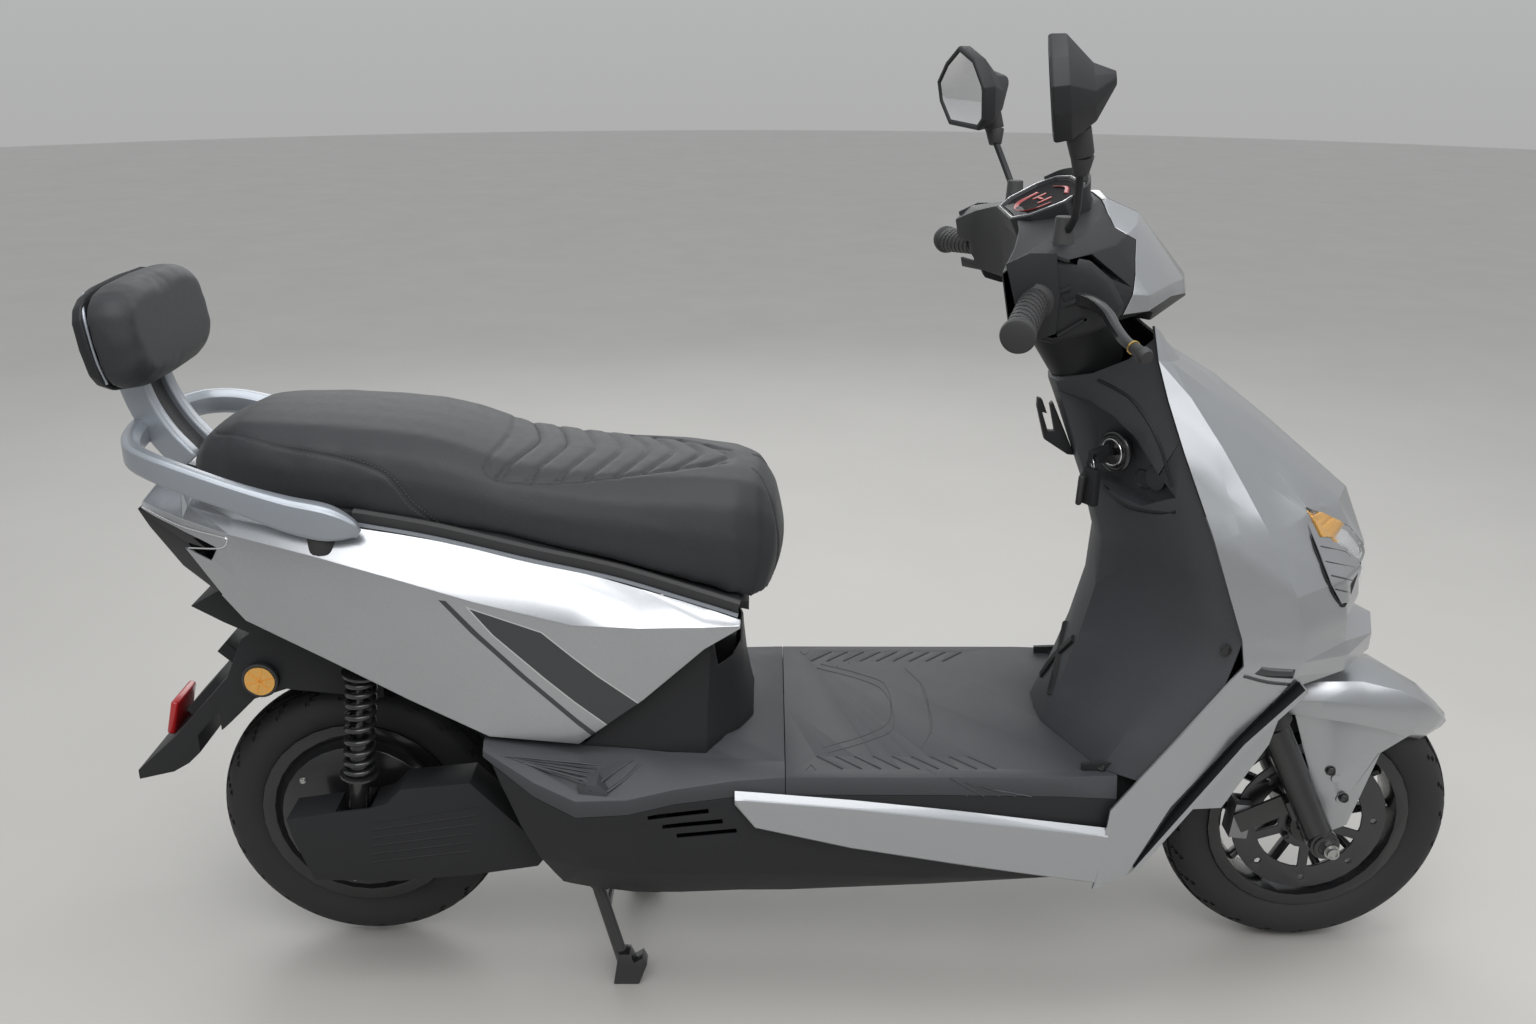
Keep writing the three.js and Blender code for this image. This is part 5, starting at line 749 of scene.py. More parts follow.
def repeated(piece, name, places):
    """One mesh with a copy of the piece at each place."""
    corners, faces = [], []
    for place in places:
        first = len(corners)
        corners += [place @ corner.co for corner in piece.data.vertices]
        faces += [[first + c for c in face.vertices] for face in piece.data.polygons]
    bpy.data.objects.remove(piece)
    return mesh_of(name, corners, [], faces)


print("sections can be turned")

# %% [markdown]
# Other pieces start from a cube, a cylinder or a ring. Some of their faces are picked by
# place and direction, then inset, pushed, or given a second finish.

# %% Starts, picks and second finishes
def start_from(kind, name, **settings):
    """A primitive as the start of a piece."""
    deselect()
    getattr(bpy.ops.mesh, "primitive_" + kind + "_add")(**settings)
    bpy.context.object.name = name
    return bpy.context.object


def block(name, size, middle=(0, 0, 0)):
    """A box of a size, its measures in the mesh."""
    piece = start_from("cube", name, size=1)
    piece.scale, piece.location = size, middle
    return applied(piece)


def hoop(size, thick, place, around=48, across=8):
    """A ring of round wire at a place, by its radius and the wire's."""
    ring = start_from("torus", "hoop", major_radius=size, minor_radius=thick,
                      major_segments=around, minor_segments=across)
    ring.matrix_world = place
    return smooth(ring, 60)


def pick(piece, test):
    """Opens a piece in edit mode with the faces selected whose middle and normal pass a test."""
    take(piece)
    bpy.ops.object.mode_set(mode="EDIT")
    bpy.ops.mesh.select_mode(type="FACE")
    bpy.ops.mesh.select_all(action="DESELECT")
    shut()
    for face in piece.data.polygons:
        face.select = bool(test(face.center, face.normal))
    bpy.ops.object.mode_set(mode="EDIT")


def second_finish(piece, paint, test):
    """Gives the faces that pass a test a second finish."""
    piece.data.materials.append(paint.material)
    last = len(piece.data.materials) - 1
    for face in piece.data.polygons:
        if test(face.center, face.normal):
            face.material_index = last


print("faces can be picked")

# %% [markdown]
# ## Silver covers
# The side covers carry wide and narrow dark stripes under the lacquer. A stripe could be a
# thin piece laid on the cover, but a mask in the finish follows the curved cover without
# a gap. Each stripe is a set of straight-edged fields, found by a line of sight through
# its corners, and as both covers read the same x and z, both wear them.

# %% Side covers with stripes
def inside(paint, corners, grow=0.0):
    """1 inside a convex field with corners (x, z) on the side of the scooter, else 0."""
    x, _, z = paint.axes()
    edges = list(zip(corners, corners[1:] + corners[:1]))
    turn = sum(a[0] * b[1] - b[0] * a[1] for a, b in edges)
    mask = None
    for (x0, z0), (x1, z1) in edges:
        length = math.hypot(x1 - x0, z1 - z0) * (1 if turn > 0 else -1)
        rise, run = (z1 - z0) / length, (x1 - x0) / length
        edge = (z * run + x * (-rise) + (x0 * rise - z0 * run)) > -grow
        mask = edge if mask is None else mask.least(edge)
    return mask


def field(part, pixels):
    """The corners (x, z) of a field that the photograph shows at some pixels."""
    spots = [seen(part, *pixel, on_line=True)[0] for pixel in pixels]
    return [(spot.x, spot.z) for spot in spots]


wide_stripe = [(469, 609), (541, 633), (639, 705), (610, 727), (493, 635)]
thin_stripe = [
    [(438, 600), (445.5, 601), (479, 634), (470.5, 633)],
    [(470.5, 633), (479, 634), (504, 656.5), (493, 653)],
    [(493, 653), (504, 656.5), (598, 734.5), (593, 738)],
]
rim_width, rim_colour = 0.0016, (0.62, 0.63, 0.64, 1)
striped_paint = lacquer("striped_lacquer", silver)
fields = [field("side_cover_right", pixels) for pixels in [wide_stripe, *thin_stripe]]
wide, rim = inside(striped_paint, fields[0]), inside(striped_paint, fields[0], rim_width)
thin = inside(striped_paint, fields[1])
for more in fields[2:]:
    thin = thin.most(inside(striped_paint, more))
ground = striped_paint.shades(striped_paint.amount, 0.10)
rimmed, dark = striped_paint.mixed(rim - wide, ground, rim_colour), wide.most(thin)
striped_paint.set("Base Color", striped_paint.mixed(dark, rimmed, (*stripe_dark, 1)))
striped_paint.set("Metallic", dark * -0.55 + 0.85)
for part in ("side_cover_left", "side_cover_right"):
    dressed(part, striped_paint, 0.0012, 15)
print("stripe corners:", [[round(c, 3) for c in corner] for corner in fields[0]])

# %% [markdown]
# The front body has a crease from the top of the leg shield down to the headlight. It is
# cut into the moulding as a line of edges, which are then drawn out a little, so that the
# lacquer breaks into a bright upper field and a darker lower one.
# The body is lacquered outside only: inside, the moulding is bare black plastic. A face
# looks inwards if a ray from it meets the moulding again, and such faces get black.

# %% Front body, creased, silver outside and black inside
def creased(piece, start, end, way, height=0.009, reach=0.048):
    """Draws a line across a piece outwards, and the faces beside it with it, on both sides."""
    for a, b, out in both_sides([start, end, way]):
        opened(piece)
        bpy.ops.mesh.bisect(plane_co=a, plane_no=(b - a).cross(out).normalized())
        shut()
        for corner in piece.data.vertices:
            share = max(0, min(1, (corner.co - a).dot(b - a) / (b - a).length_squared))
            far = (corner.co - a.lerp(b, share)).length
            if far < reach:
                swell = 0.35 + 0.65 * min(1, share * 3)
                corner.co += out * height * swell * (1 - far / reach)
    piece.data.update()


front_shell = merged_copy("front_cover", "front_cover_shell")
opened(front_shell)
bpy.ops.mesh.quads_convert_to_tris()
bpy.ops.mesh.subdivide(number_cuts=3)
shut()
(crease_top, top_way), (crease_low, low_way) = [
    seen("front_cover", *pixel) for pixel in ((1156, 416), (1300, 506))]
creased(front_shell, crease_top, crease_low, ((top_way + low_way) / 2).normalized())
rounded(front_shell, 0.0012, 2, 25)
settle(smooth(front_shell, 11), "front_cover_shell", "frame", "silver_paint")
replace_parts(front_shell, "front_cover")
own_skin = skin_of("front_cover")
throat_height, off_skin, look_far = 0.72, 0.004, 0.5


def looks_inwards(middle, normal):
    backwards = normal.x < -0.3 or abs(normal.y) > 0.15 and normal.y * middle.y < 0
    meets = own_skin.ray_cast(middle + normal * off_skin, normal, look_far)[0]
    return middle.z > throat_height and backwards or meets is not None


second_finish(front_shell, black_plastic, looks_inwards)
print("inner faces:", sum(face.material_index for face in front_shell.data.polygons))

# %% [markdown]
# Between the seat and each cover lies a soft black seal with a thin grey lip below it. Both
# are strips led along the top edge of the cover.

# %% Seals under the seat
seal_pixels = [(352, 522), (372, 526), (435, 541), (525, 562), (613, 581), (680, 600), (738, 618)]
seal_outline = [
    (-0.006, -0.009), (0.004, -0.009), (0.006, -0.004), (0.005, 0.008), (0, 0.011), (-0.006, 0.010),
]
lip_outline = [(-0.0015, -0.002), (0.0015, -0.002), (0.0015, 0.002), (-0.0015, 0.002)]
for side, sign, line in each_side(eased(traced("side_cover_right", seal_pixels))):
    seal = swept("seal", [p + Vector((0, -0.010 * sign, 0.009)) for p in line], seal_outline)
    settle(smooth(seal, 40), f"seat_seal_{side}", "frame", "rubber")
    lip = swept("lip", [p + Vector((0, -0.001 * sign, 0.0035)) for p in line], lip_outline)
    settle(smooth(lip, 40), f"cover_lip_{side}", "frame", "rail_silver")
print("seals along", len(seal_pixels), "corners")

# %% [markdown]
# ## Seat and backrest
# A seat is foam under a stretched cover. The cover pulls the foam in at its seams and lets
# it crown between them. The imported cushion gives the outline. It is made a little smaller,
# given an even mesh, and blown up as cloth under pressure, so that it swells as foam does.
# Seams and channels are narrower than that mesh, so they are pressed in afterwards.

# %% Cushions that swell
pressure, foot_height, foot_share = 4, 0.05, 0.1


def reshaped(piece, shape):
    """Moves each point of a mesh to where a function says."""
    for corner in piece.data.vertices:
        corner.co = shape(corner.co.copy())
    piece.data.update()
    return piece


def swollen(pad, cap, low_z, frames=20):
    """Blows a pad up as cloth. No point moves further than cap, and less near its foot."""
    rest = [corner.co.copy() for corner in pad.data.vertices]
    take(pad)
    cloth = pad.modifiers.new("swell", "CLOTH")
    cloth.settings.use_pressure, cloth.settings.uniform_pressure_force = True, pressure
    cloth.settings.effector_weights.gravity = 0
    cloth.point_cache.frame_start, cloth.point_cache.frame_end = 1, frames
    for number in range(1, frames + 1):
        bpy.context.scene.frame_set(number)
    bpy.ops.object.modifier_apply(modifier="swell")
    bpy.context.scene.frame_set(1)
    for corner, was in zip(pad.data.vertices, rest):
        move = corner.co - was
        most = cap * min(1, max(foot_share, (was.z - low_z) / foot_height))
        if move.length > most:
            corner.co = was + move * (most / move.length)
    pad.data.update()


def cushion(part, name, smaller, voxel, cap, shape):
    """A swollen cushion in the place of a packed one."""
    pad = merged_copy(part, name)
    use(pad, "DISPLACE", strength=-smaller, mid_level=0)
    use(pad, "REMESH", mode="VOXEL", voxel_size=voxel)
    reshaped(pad, shape)
    low_z = min(corner.co.z for corner in pad.data.vertices)
    swollen(pad, cap, low_z)
    use(pad, "SMOOTH", factor=0.5, iterations=8)
    use(pad, "SUBSURF", levels=1, render_levels=1)
    return smooth(pad, 180)


def pressed(pad, lines, depth, wide):
    """Presses the cover in along some lines, with a soft shoulder on both sides."""
    points = [p for line in lines for p in line]
    tree = KDTree(len(points))
    for k, point in enumerate(points):
        tree.insert(point, k)
    tree.balance()
    normals = [corner.normal.copy() for corner in pad.data.vertices]
    for corner, normal in zip(pad.data.vertices, normals):
        far = tree.find(corner.co)[2]
        if far < wide * 3:
            corner.co -= normal * depth * math.exp(-(far / wide) ** 2)
    pad.data.update()


def on_top(pad, line):
    """A line dropped on the nearest surface of a pad."""
    skins.pop(pad.name, None)
    return [skin_of(pad).find_nearest(point)[0] for point in line]


print("cushions swell with", pressure, "units of pressure")

# %% [markdown]
# The seat's nose is rounder below than above, and its crown a little lower than foam alone
# would be, so the even mesh is shaped before it swells.

# %% Seat cushion
seat_low, seat_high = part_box("seat_cushion")
crown_from, belly_below, round_above, end_reach = 0.64, 0.665, 0.70, 0.10


def seat_shape(p):
    """Lowers the crown, and rounds the nose and the rear corner."""
    if p.z > crown_from:
        p.z = crown_from + (p.z - crown_from) * 0.92
    below, above = max(0, belly_below - p.z) ** 2, max(0, p.z - round_above) ** 2
    nose = max(0, min(1, (p.x - (seat_high.x - end_reach)) / end_reach))
    p.x -= nose * (2.6 * below + 3.5 * above)
    tail = max(0, min(1, (seat_low.x + end_reach - p.x) / end_reach))
    p.x += tail * 3.0 * above
    return p


seat_pad = cushion("seat_cushion", "seat_pad", 0.003, 0.0062, 0.0035, seat_shape)
print("seat mesh:", len(seat_pad.data.polygons), "faces")

# %% [markdown]
# The ribbed field on top is sewn in channels. Each is traced at its near end, lies a little
# further forward on the crown, and runs over to its mirror image on the far side.

# %% Seams and channels of the seat
def crossing(pad, near, crown_x, steps=40):
    """A line over the seat from a near point to its mirror image, forward by its crown."""
    line = []
    for k in range(steps + 1):
        across = near.y * (1 - 2 * k / steps)
        bow = 1 - ((across / near.y) ** 2 + 0.02) ** 0.6
        above = Vector((near.x + (crown_x - near.x) * bow, across, seat_high.z + 0.1))
        point = skin_of(pad).ray_cast(above, Vector((0, 0, -1)))[0]
        line.append(point or above)
    return line


def seams_at(pixels):
    """A seam traced on the seat, and its mirror image."""
    return both_sides(on_top(seat_pad, eased(traced(seat_pad, pixels), 30)))


side_pixels = [(205, 421), (220, 434), (279, 447), (345, 460), (386, 476), (412, 505), (440, 532)]
edge_pixels = [(486, 468), (497, 478), (555, 482), (618, 476), (674, 469), (728, 462)]
nose_pixels = [(754, 470), (768, 492), (776, 520), (778, 550), (772, 580), (762, 598)]
channel_pixels = [
    (500, 478), (529, 482), (560, 480), (589, 478), (618, 476), (645, 472), (674, 469), (704, 465),
]
seam_lines = seams_at(side_pixels) + seams_at(nose_pixels)
edge_lines = seams_at(edge_pixels)
channels = [crossing(seat_pad, end, end.x + 0.034) for end in traced(seat_pad, channel_pixels)]
rear_edge, front_edge = traced(seat_pad, [edge_pixels[0], edge_pixels[-1]])
borders = [crossing(seat_pad, rear_edge, rear_edge.x + 0.012),
           crossing(seat_pad, front_edge, front_edge.x + 0.006)]
pressed(seat_pad, seam_lines, 0.0016, 0.0032)
pressed(seat_pad, edge_lines + borders, 0.0026, 0.0040)
pressed(seat_pad, channels, 0.0034, 0.0046)
settle(seat_pad, "seat_pad", "seat", "seat_cover")
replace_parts(seat_pad, "seat_cushion")
print("seams pressed:", len(seam_lines + edge_lines + borders), "channels:", len(channels))

# %% [markdown]
# Each seam is sewn down on both sides with a thick thread. One stitch is a small rounded
# bead of thread, and its copies lie head to tail along the seam.

# %% Stitches
thread_paint = Paint("sewing_thread", (0.060, 0.060, 0.062), 0.55)
thread_twist = thread_paint.noise(0.0006, 2.0)
thread_paint.set("Base Color", thread_paint.shades(thread_twist, 0.35))
thread_paint.set("Roughness", thread_twist * 0.2 + 0.45)


def stitches(name, pad, lines, body, pitch=0.0046, thick=0.0009, offset=0.0):
    """Stitches laid along some lines, a little to one side of each."""
    bead = start_from("uv_sphere", name, segments=6, ring_count=4, radius=0.5)
    bead.scale = (pitch * 0.78, thick, thick)
    applied(bead)
    places = []
    for line in lines:
        points = spaced(line, pitch)
        for before, after in zip(points, points[1:]):
            spot, up, _, _ = skin_of(pad).find_nearest((before + after) / 2)
            ahead = (after - before).normalized()
            aside = up.cross(ahead).normalized() * offset
            spot, up, _, _ = skin_of(pad).find_nearest(spot + aside)
            places.append(stand_at(spot + up * thick * 0.1, up, ahead))
    row = smooth(repeated(bead, name, places), 60)
    return settle(row, name, body, "seat_cover", thread_paint)


skins.pop(seat_pad.name, None)
for row, offset in (("upper", 0.0042), ("lower", -0.0042)):
    stitches(f"seat_stitches_{row}", seat_pad, seam_lines, "seat", offset=offset)
stitches("seat_channel_stitches", seat_pad, channels + edge_lines, "seat", 0.0040, 0.0007)
print("stitches laid on the seat")

# %% [markdown]
# The backrest is a smaller pad on a moulded shell with a silver rim. The shell and the pad
# sit a little lower than packed, where the photograph shows them.

# %% Backrest
rim_pixels = [(79, 291), (83, 312), (90, 342), (98, 366), (107, 384)]


def rest_shape(p):
    """Leads the backrest down a little, and makes it slightly taller."""
    p.z = 0.9985 + (p.z - 1.001) * 1.07 - 0.0105
    return p


back_pad = cushion("backrest_pad", "backrest_pad_soft", 0.0015, 0.0042, 0.0022, rest_shape)
settle(back_pad, "back_pad", "frame", "seat_cover")
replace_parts(back_pad, "backrest_pad")
back_shell = reshaped(dressed("backrest_shell", black_plastic, 0.0025, 20), rest_shape)
skins.pop(back_shell.name, None)
for side, _, line in each_side(eased(traced(back_shell, rim_pixels), 8)):
    rim = wire_along("rim", spaced(line, 0.004), 0.0045)
    settle(smooth(rim, 60), f"backrest_rim_{side}", "frame", "rail_silver")
print("backrest mesh:", len(back_pad.data.polygons), "faces")

# %% [markdown]
# ## Grab rail
# The rail is one casting: a bar, taller than wide and bevelled on its outer top edge, that
# runs from the tip of one arm round the tail to the other. A bar like this could be cut
# from a block, but an outline led along the arm's line keeps its bevel the same all round.
# Its arms grow taller at the tips, where each stands on a rubber puck on the cover.

# %% Rail, stays and pucks
arm_line = [
    (-0.553, 0.172, 0.694), (-0.566, 0.173, 0.702), (-0.594, 0.174, 0.711), (-0.640, 0.173, 0.722),
    (-0.695, 0.170, 0.740), (-0.752, 0.163, 0.758), (-0.800, 0.152, 0.773), (-0.834, 0.128, 0.780),
    (-0.852, 0.092, 0.783), (-0.861, 0.048, 0.785),
]
arm_sizes = [0.30, 0.85, 1.30, 1.22, 1.02, 1.0, 0.98, 0.98, 0.98, 0.98]
tail_spot, tail_size = Vector((-0.863, 0, 0.785)), 0.98
rail_outline = [
    (-0.009, -0.017), (0.008, -0.017), (0.011, -0.013), (0.0115, 0.007),
    (0.004, 0.0165), (-0.007, 0.0165), (-0.011, 0.012), (-0.011, -0.013),
]
left_arm, right_arm = both_sides([Vector(spot) for spot in arm_line])
rail_line = eased([*right_arm, tail_spot, *reversed(left_arm)], 6)
grow_line = eased([(size, 0) for size in [*arm_sizes, tail_size, *reversed(arm_sizes)]], 6)
rail_bar = swept("rail_bar", rail_line, rail_outline, [max(0.2, s.x) for s in grow_line])
rounded(rail_bar, 0.0012, 2, 20)
settle(smooth(rail_bar, 30), "rail_bar", "frame", "rail_silver")
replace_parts(rail_bar, "grab_rail")

stay_line = [(-0.806, 0.742), (-0.835, 0.778), (-0.857, 0.822), (-0.873, 0.886)]
stay_outline = [
    (-0.009, -0.019), (0.009, -0.019), (0.0115, -0.015), (0.0115, 0.015),
    (0.009, 0.019), (-0.009, 0.019), (-0.0115, 0.015), (-0.0115, -0.015),
]
for side, sign in sides:
    line = eased([(x, 0.034 * sign, z) for x, z in stay_line], 6)
    stay = swept("stay", line, stay_outline, [0.9] * len(line))
    rounded(stay, 0.001, 2, 30)
    settle(smooth(stay, 30), f"backrest_stay_{side}", "frame", "rail_silver")
web_line = eased([(-0.812, 0, 0.745), (-0.838, 0, 0.780), (-0.859, 0, 0.822), (-0.871, 0, 0.872)], 6)
web = swept("web", web_line, [(-0.026, -0.009), (0.026, -0.009), (0.026, 0.009), (-0.026, 0.009)])
rounded(web, 0.002)
settle(smooth(web, 30), "backrest_web", "frame", "rubber")

for side, sign in sides:
    puck = start_from("cylinder", "puck", vertices=40, radius=0.017, depth=0.024,
                      location=(-0.602, 0.165 * sign, 0.680))
    rounded(puck, 0.002)
    pick(puck, lambda middle, normal: abs(normal.z) < 0.3 and middle.z > 0.677)
    bpy.ops.mesh.inset(thickness=0.0008, use_even_offset=False)
    shut()
    settle(smooth(puck, 40), f"rail_puck_{side}", "frame", "rubber")
print("rail box height:", round(rail_bar.dimensions.z, 3))

# %% [markdown]
# ## Mirrors
# A mirror head is a flat frame with a faceted shell behind it and silvered glass inside
# its rim. It is lofted through rings of one outline, each smaller and further back than
# the last. The heads are turned as the photograph shows: the glass of the near one looks
# back past the camera, and the glass of the far one is seen at a slant.

# %% Mirror heads
head_outline = [
    (-0.064, -0.040), (-0.067, 0.004), (-0.040, 0.040), (0.002, 0.056), (0.040, 0.034),
    (0.068, 0.006), (0.062, -0.022), (0.036, -0.052), (-0.046, -0.054),
]
head_rings = [                                # how far back, size, shift aside and upwards
    (0.0, 0.97, 0, 0), (0.003, 1.0, 0, 0), (0.019, 0.97, 0, 0),
    (0.045, 0.54, -0.004, -0.008), (0.068, 0.13, -0.008, 0.004),
]
rim_wide, rim_deep = 0.005, 0.0025


def mirror_head(name, centre, outwards, back, nod):
    """A head whose glass looks along back, with its outer end outwards."""
    back, outwards = Vector(back).normalized(), Vector(outwards)
    up = (Vector((0, 0, 1)) + back * nod).normalized()
    back = (back - up * back.dot(up)).normalized()
    across = up.cross(back) * (1 if up.cross(back).dot(outwards) > 0 else -1)
    corners, faces, count = [], [], len(head_outline)
    for depth, size, aside, above in head_rings:
        corners += [centre - back * depth + across * (u * size + aside) + up * (v * size + above)
                    for u, v in head_outline]
    for ring in range(len(head_rings) - 1):
        for k in range(count):
            a, b = ring * count + k, ring * count + (k + 1) % count
            faces.append((a, b, b + count, a + count))
    faces += [tuple(range(count)), tuple(range(len(corners) - count, len(corners)))]
    head = tidy(mesh_of(name, corners, [], faces))
    pick(head, lambda middle, normal: normal.dot(back) > 0.99 and (middle - centre).length < 0.02)
    bpy.ops.mesh.inset(thickness=rim_wide)
    push(-back * rim_deep)
    shut()
    rounded(head, 0.0018, 2, 12)
    settle(smooth(head, 24), name, name, "black_plastic")
    second_finish(head, mirror_glass, lambda middle, normal:
                  normal.dot(back) > 0.995 and (middle - centre).dot(back) < -0.0005)
    return head


right_spot, left_spot = Vector((0.243, -0.251, 1.2225)), Vector((0.212, 0.246, 1.196))
right_head = mirror_head("mirror_right", right_spot, (0, -1, 0), (-0.985, 0.17, 0), 0.12)
left_head = mirror_head("mirror_left", left_spot, (0, 1, 0), (-0.93, -0.37, 0), 0.08)
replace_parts(right_head, "mirror_head_right")
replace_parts(left_head, "mirror_head_left")
print("mirror heads span", round(right_head.dimensions.y, 3), "m")

# %% [markdown]
# Rubber boots cover the ball joint under each head and the foot of each stem. They are
# short cones, and those at the feet have a lip at their wide end.

# %% Boots on the mirror stems
def boot(name, top, foot, top_size, foot_size, body, lip=0.0):
    """A rubber cone between two points, its sizes given across."""
    top, foot = Vector(top), Vector(foot)
    way = top - foot
    piece = start_from("cone", name, vertices=32, radius1=foot_size / 2, radius2=top_size / 2,
                       depth=way.length)
    if lip:
        pick(piece, lambda middle, normal: normal.z < -0.9)
        push((0, 0, -0.0002))
        bpy.ops.transform.resize(value=(1 + lip, 1 + lip, 1))
        push((0, 0, -0.005))
        shut()
    rounded(piece, 0.0012, 2, 40)
    piece.matrix_world = aimed((top + foot) / 2, way)
    return settle(smooth(piece, 35), name, body, "rubber")


neck_spots = {"right": Vector((0.284, -0.240, 1.158)), "left": Vector((0.262, 0.236, 1.146))}
for side, sign in sides:
    arm, spot = f"mirror_arm_{side}", neck_spots[side]
    foot, low = Vector((0.284, 0.172 * sign, 1.048)), spot + Vector((0, 0, -0.004))
    boot(f"mirror_neck_{side}", spot + Vector((-0.008, 0.004 * sign, 0.024)), low, 0.029, 0.026, arm)
    boot(f"mirror_boot_{side}", low, spot + Vector((0.001, -0.006 * sign, -0.024)), 0.026, 0.017, arm)
    boot(f"mirror_foot_{side}", foot + Vector((0, 0, 0.032)), foot, 0.021, 0.025, arm, lip=0.3)
    dressed(f"mirror_stem_{side}", black_plastic, 0.0008, 30)
print("boots on both mirror stems")

# %% [markdown]
# ## Wheels
# A tyre's tread is cut into its crown: chevrons from the shoulder towards the middle, and
# a groove round each side of it. The tyre's section is drawn once and spun round the axle
# in fine steps. The faces that lie in a groove are then picked by their place and sunk.

# %% Tyres with tread
turns = 288                                   # steps round a tyre
pitch_steps, groove_steps = 12, 2             # steps from one chevron to the next, and in one
slant, groove_deep = 0.0022, 0.0028           # metres across for each step that a chevron leads
tyre_half = [
    (0.140, 0.027), (0.150, 0.034), (0.165, 0.0392), (0.180, 0.0388),
    (0.190, 0.0335), (0.198, 0.024), (0.2035, 0.0115), (0.205, 0),
]


def in_groove(middle, _):
    out, across = math.hypot(middle.x, middle.z), abs(middle.y)
    step = round((math.atan2(middle.x, middle.z) / (2 * math.pi)) * turns - 0.5)
    in_chevron = (step + round(across / slant)) % pitch_steps < groove_steps
    return in_chevron and out > 0.186 and across > 0.006 or out > 0.196 and 0.0175 < across < 0.0215


def tyre(name, centre, body, part):
    """A tyre round an axle, its tread sunk into the crown."""
    side = [(p.x, p.y) for p in eased(tyre_half, 2)]
    section = side + [(r, -y) for r, y in reversed(side[:-1])]
    ring = spun(name, [Vector((0, y, r)) for r, y in section], turns, (0, 1, 0), closed=True)
    pick(ring, in_groove)
    bpy.ops.mesh.extrude_region_shrink_fatten(TRANSFORM_OT_shrink_fatten={"value": -groove_deep})
    shut()
    ring.location, ring.scale = centre, (0.994, 1, 0.994)
    settle(smooth(ring, 28), name, body, "tyre")
    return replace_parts(ring, part)


front_axle, rear_axle = Vector((0.7231, 0, 0.205)), Vector((-0.6309, 0, 0.212))
tyre("tread_front", front_axle, "front_wheel", "front_tyre")
rear_tread = tyre("tread_rear", rear_axle, "rear_wheel", "rear_tyre")
print("tyre faces:", len(rear_tread.data.polygons))

# %% [markdown]
# The springs are thick wire with the last turns close together. A round section is led
# up a screw line and tilted along the shock absorber.

# %% Springs
spring_foot, spring_top = Vector((-0.6000, 0, 0.333)), Vector((-0.5845, 0, 0.476))
lean, height = (spring_top - spring_foot).normalized(), (spring_top - spring_foot).length
coil_size, wire_size, coil_turns, turn_steps = 0.0178, 0.0078, 8.5, 28
closing = 0.028                               # how far the end turns close up


def spring(side, sign):
    line = []
    for k in range(int(coil_turns * turn_steps) + 1):
        share, angle = k / (coil_turns * turn_steps), 2 * math.pi * k / turn_steps
        even = share - closing * math.sin(2 * math.pi * share)
        line.append(Vector((coil_size * math.cos(angle), coil_size * math.sin(angle),
                            wire_size / 2 + even * (height - wire_size))))
    coil = wire_along("coil", line, wire_size)
    foot = spring_foot + Vector((0, 0.124 * sign, 0))
    coil.matrix_world = aimed(foot, lean)
    settle(smooth(coil, 60), f"spring_coil_{side}", f"shock_top_{side}", "black_paint")
    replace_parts(coil, f"shock_spring_{side}")
    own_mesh(coil)


for side, sign in sides:
    spring(side, sign)
print("spring turns:", coil_turns)

# %% [markdown]
# The gaiters are rubber bellows that keep dirt off the fork. Their zigzag section is spun
# into five ribs.

# %% Gaiters
fork_way = Vector((-0.43837, 0, 0.89879))
gaiter_foot, gaiter_length, ribs = Vector((0.6425, 0, 0.3826)), 0.080, 5
end_radius, valley, peak = 0.0145, 0.0165, 0.0215


def gaiter(side, sign):
    section, rib_long = [(0, end_radius)], gaiter_length / ribs
    for k in range(ribs):
        low = gaiter_length * k / ribs
        section += [(low + 0.001, valley), (low + rib_long * 0.45, peak),
                    (low + rib_long * 0.6, peak), (low + rib_long - 0.001, valley)]
    foot = gaiter_foot + Vector((0, 0.080 * sign, 0))
    bellows = turned("gaiter", section + [(gaiter_length, end_radius)], 40, foot, fork_way)
    opened(bellows)
    bpy.ops.mesh.fill_holes(sides=60)
    shut()
    settle(smooth(tidy(bellows), 50), f"fork_bellows_{side}", "fork", "rubber")
    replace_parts(bellows, f"gaiter_{side}")
    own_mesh(bellows)


for side, sign in sides:
    gaiter(side, sign)
print("gaiter ribs:", ribs)

# %% [markdown]
# Bolts hold everything together. One hexagon bolt with a round flange is modelled, and
# copies of it are set out on circles round the axles and at single places.

# %% Bolts
def bolt(size):
    """A hexagon head on a flange, with a shallow dish in its top, standing up from z = 0."""
    head = start_from("cylinder", "bolt", vertices=12, radius=size * 0.68, depth=size * 0.2,
                      location=(0, 0, size * 0.1))
    pick(head, lambda middle, normal: normal.z > 0.9)
    bpy.ops.mesh.inset(thickness=size * 0.16)
    push((0, 0, size * 0.42))
    bpy.ops.mesh.inset(thickness=size * 0.14)
    push((0, 0, -size * 0.12))
    shut()
    return applied(head)


def bolts(name, spots, size, body, slot, paint=None):
    """Bolts at some spots, each a (place, way up)."""
    made = repeated(bolt(size), name, [stand_at(place, way) for place, way in spots])
    return settle(smooth(made, 30), name, body, slot, paint)


def on_circle(centre, radius, count, side, out, start=0.0):
    """Spots round an axle, on its right (side -1) or left (1)."""
    spots = []
    for k in range(count):
        angle = start + 2 * math.pi * k / count
        arm = Vector((radius * math.cos(angle), out * side, radius * math.sin(angle)))
        spots.append((centre + arm, (0, side, 0)))
    return spots


def on_part(part, pixels):
    """Spots on a part that the photograph shows at some pixels, and their mirror images."""
    near = [seen(part, *pixel) for pixel in pixels]
    return near + [(mirrored(point), mirrored(normal)) for point, normal in near]


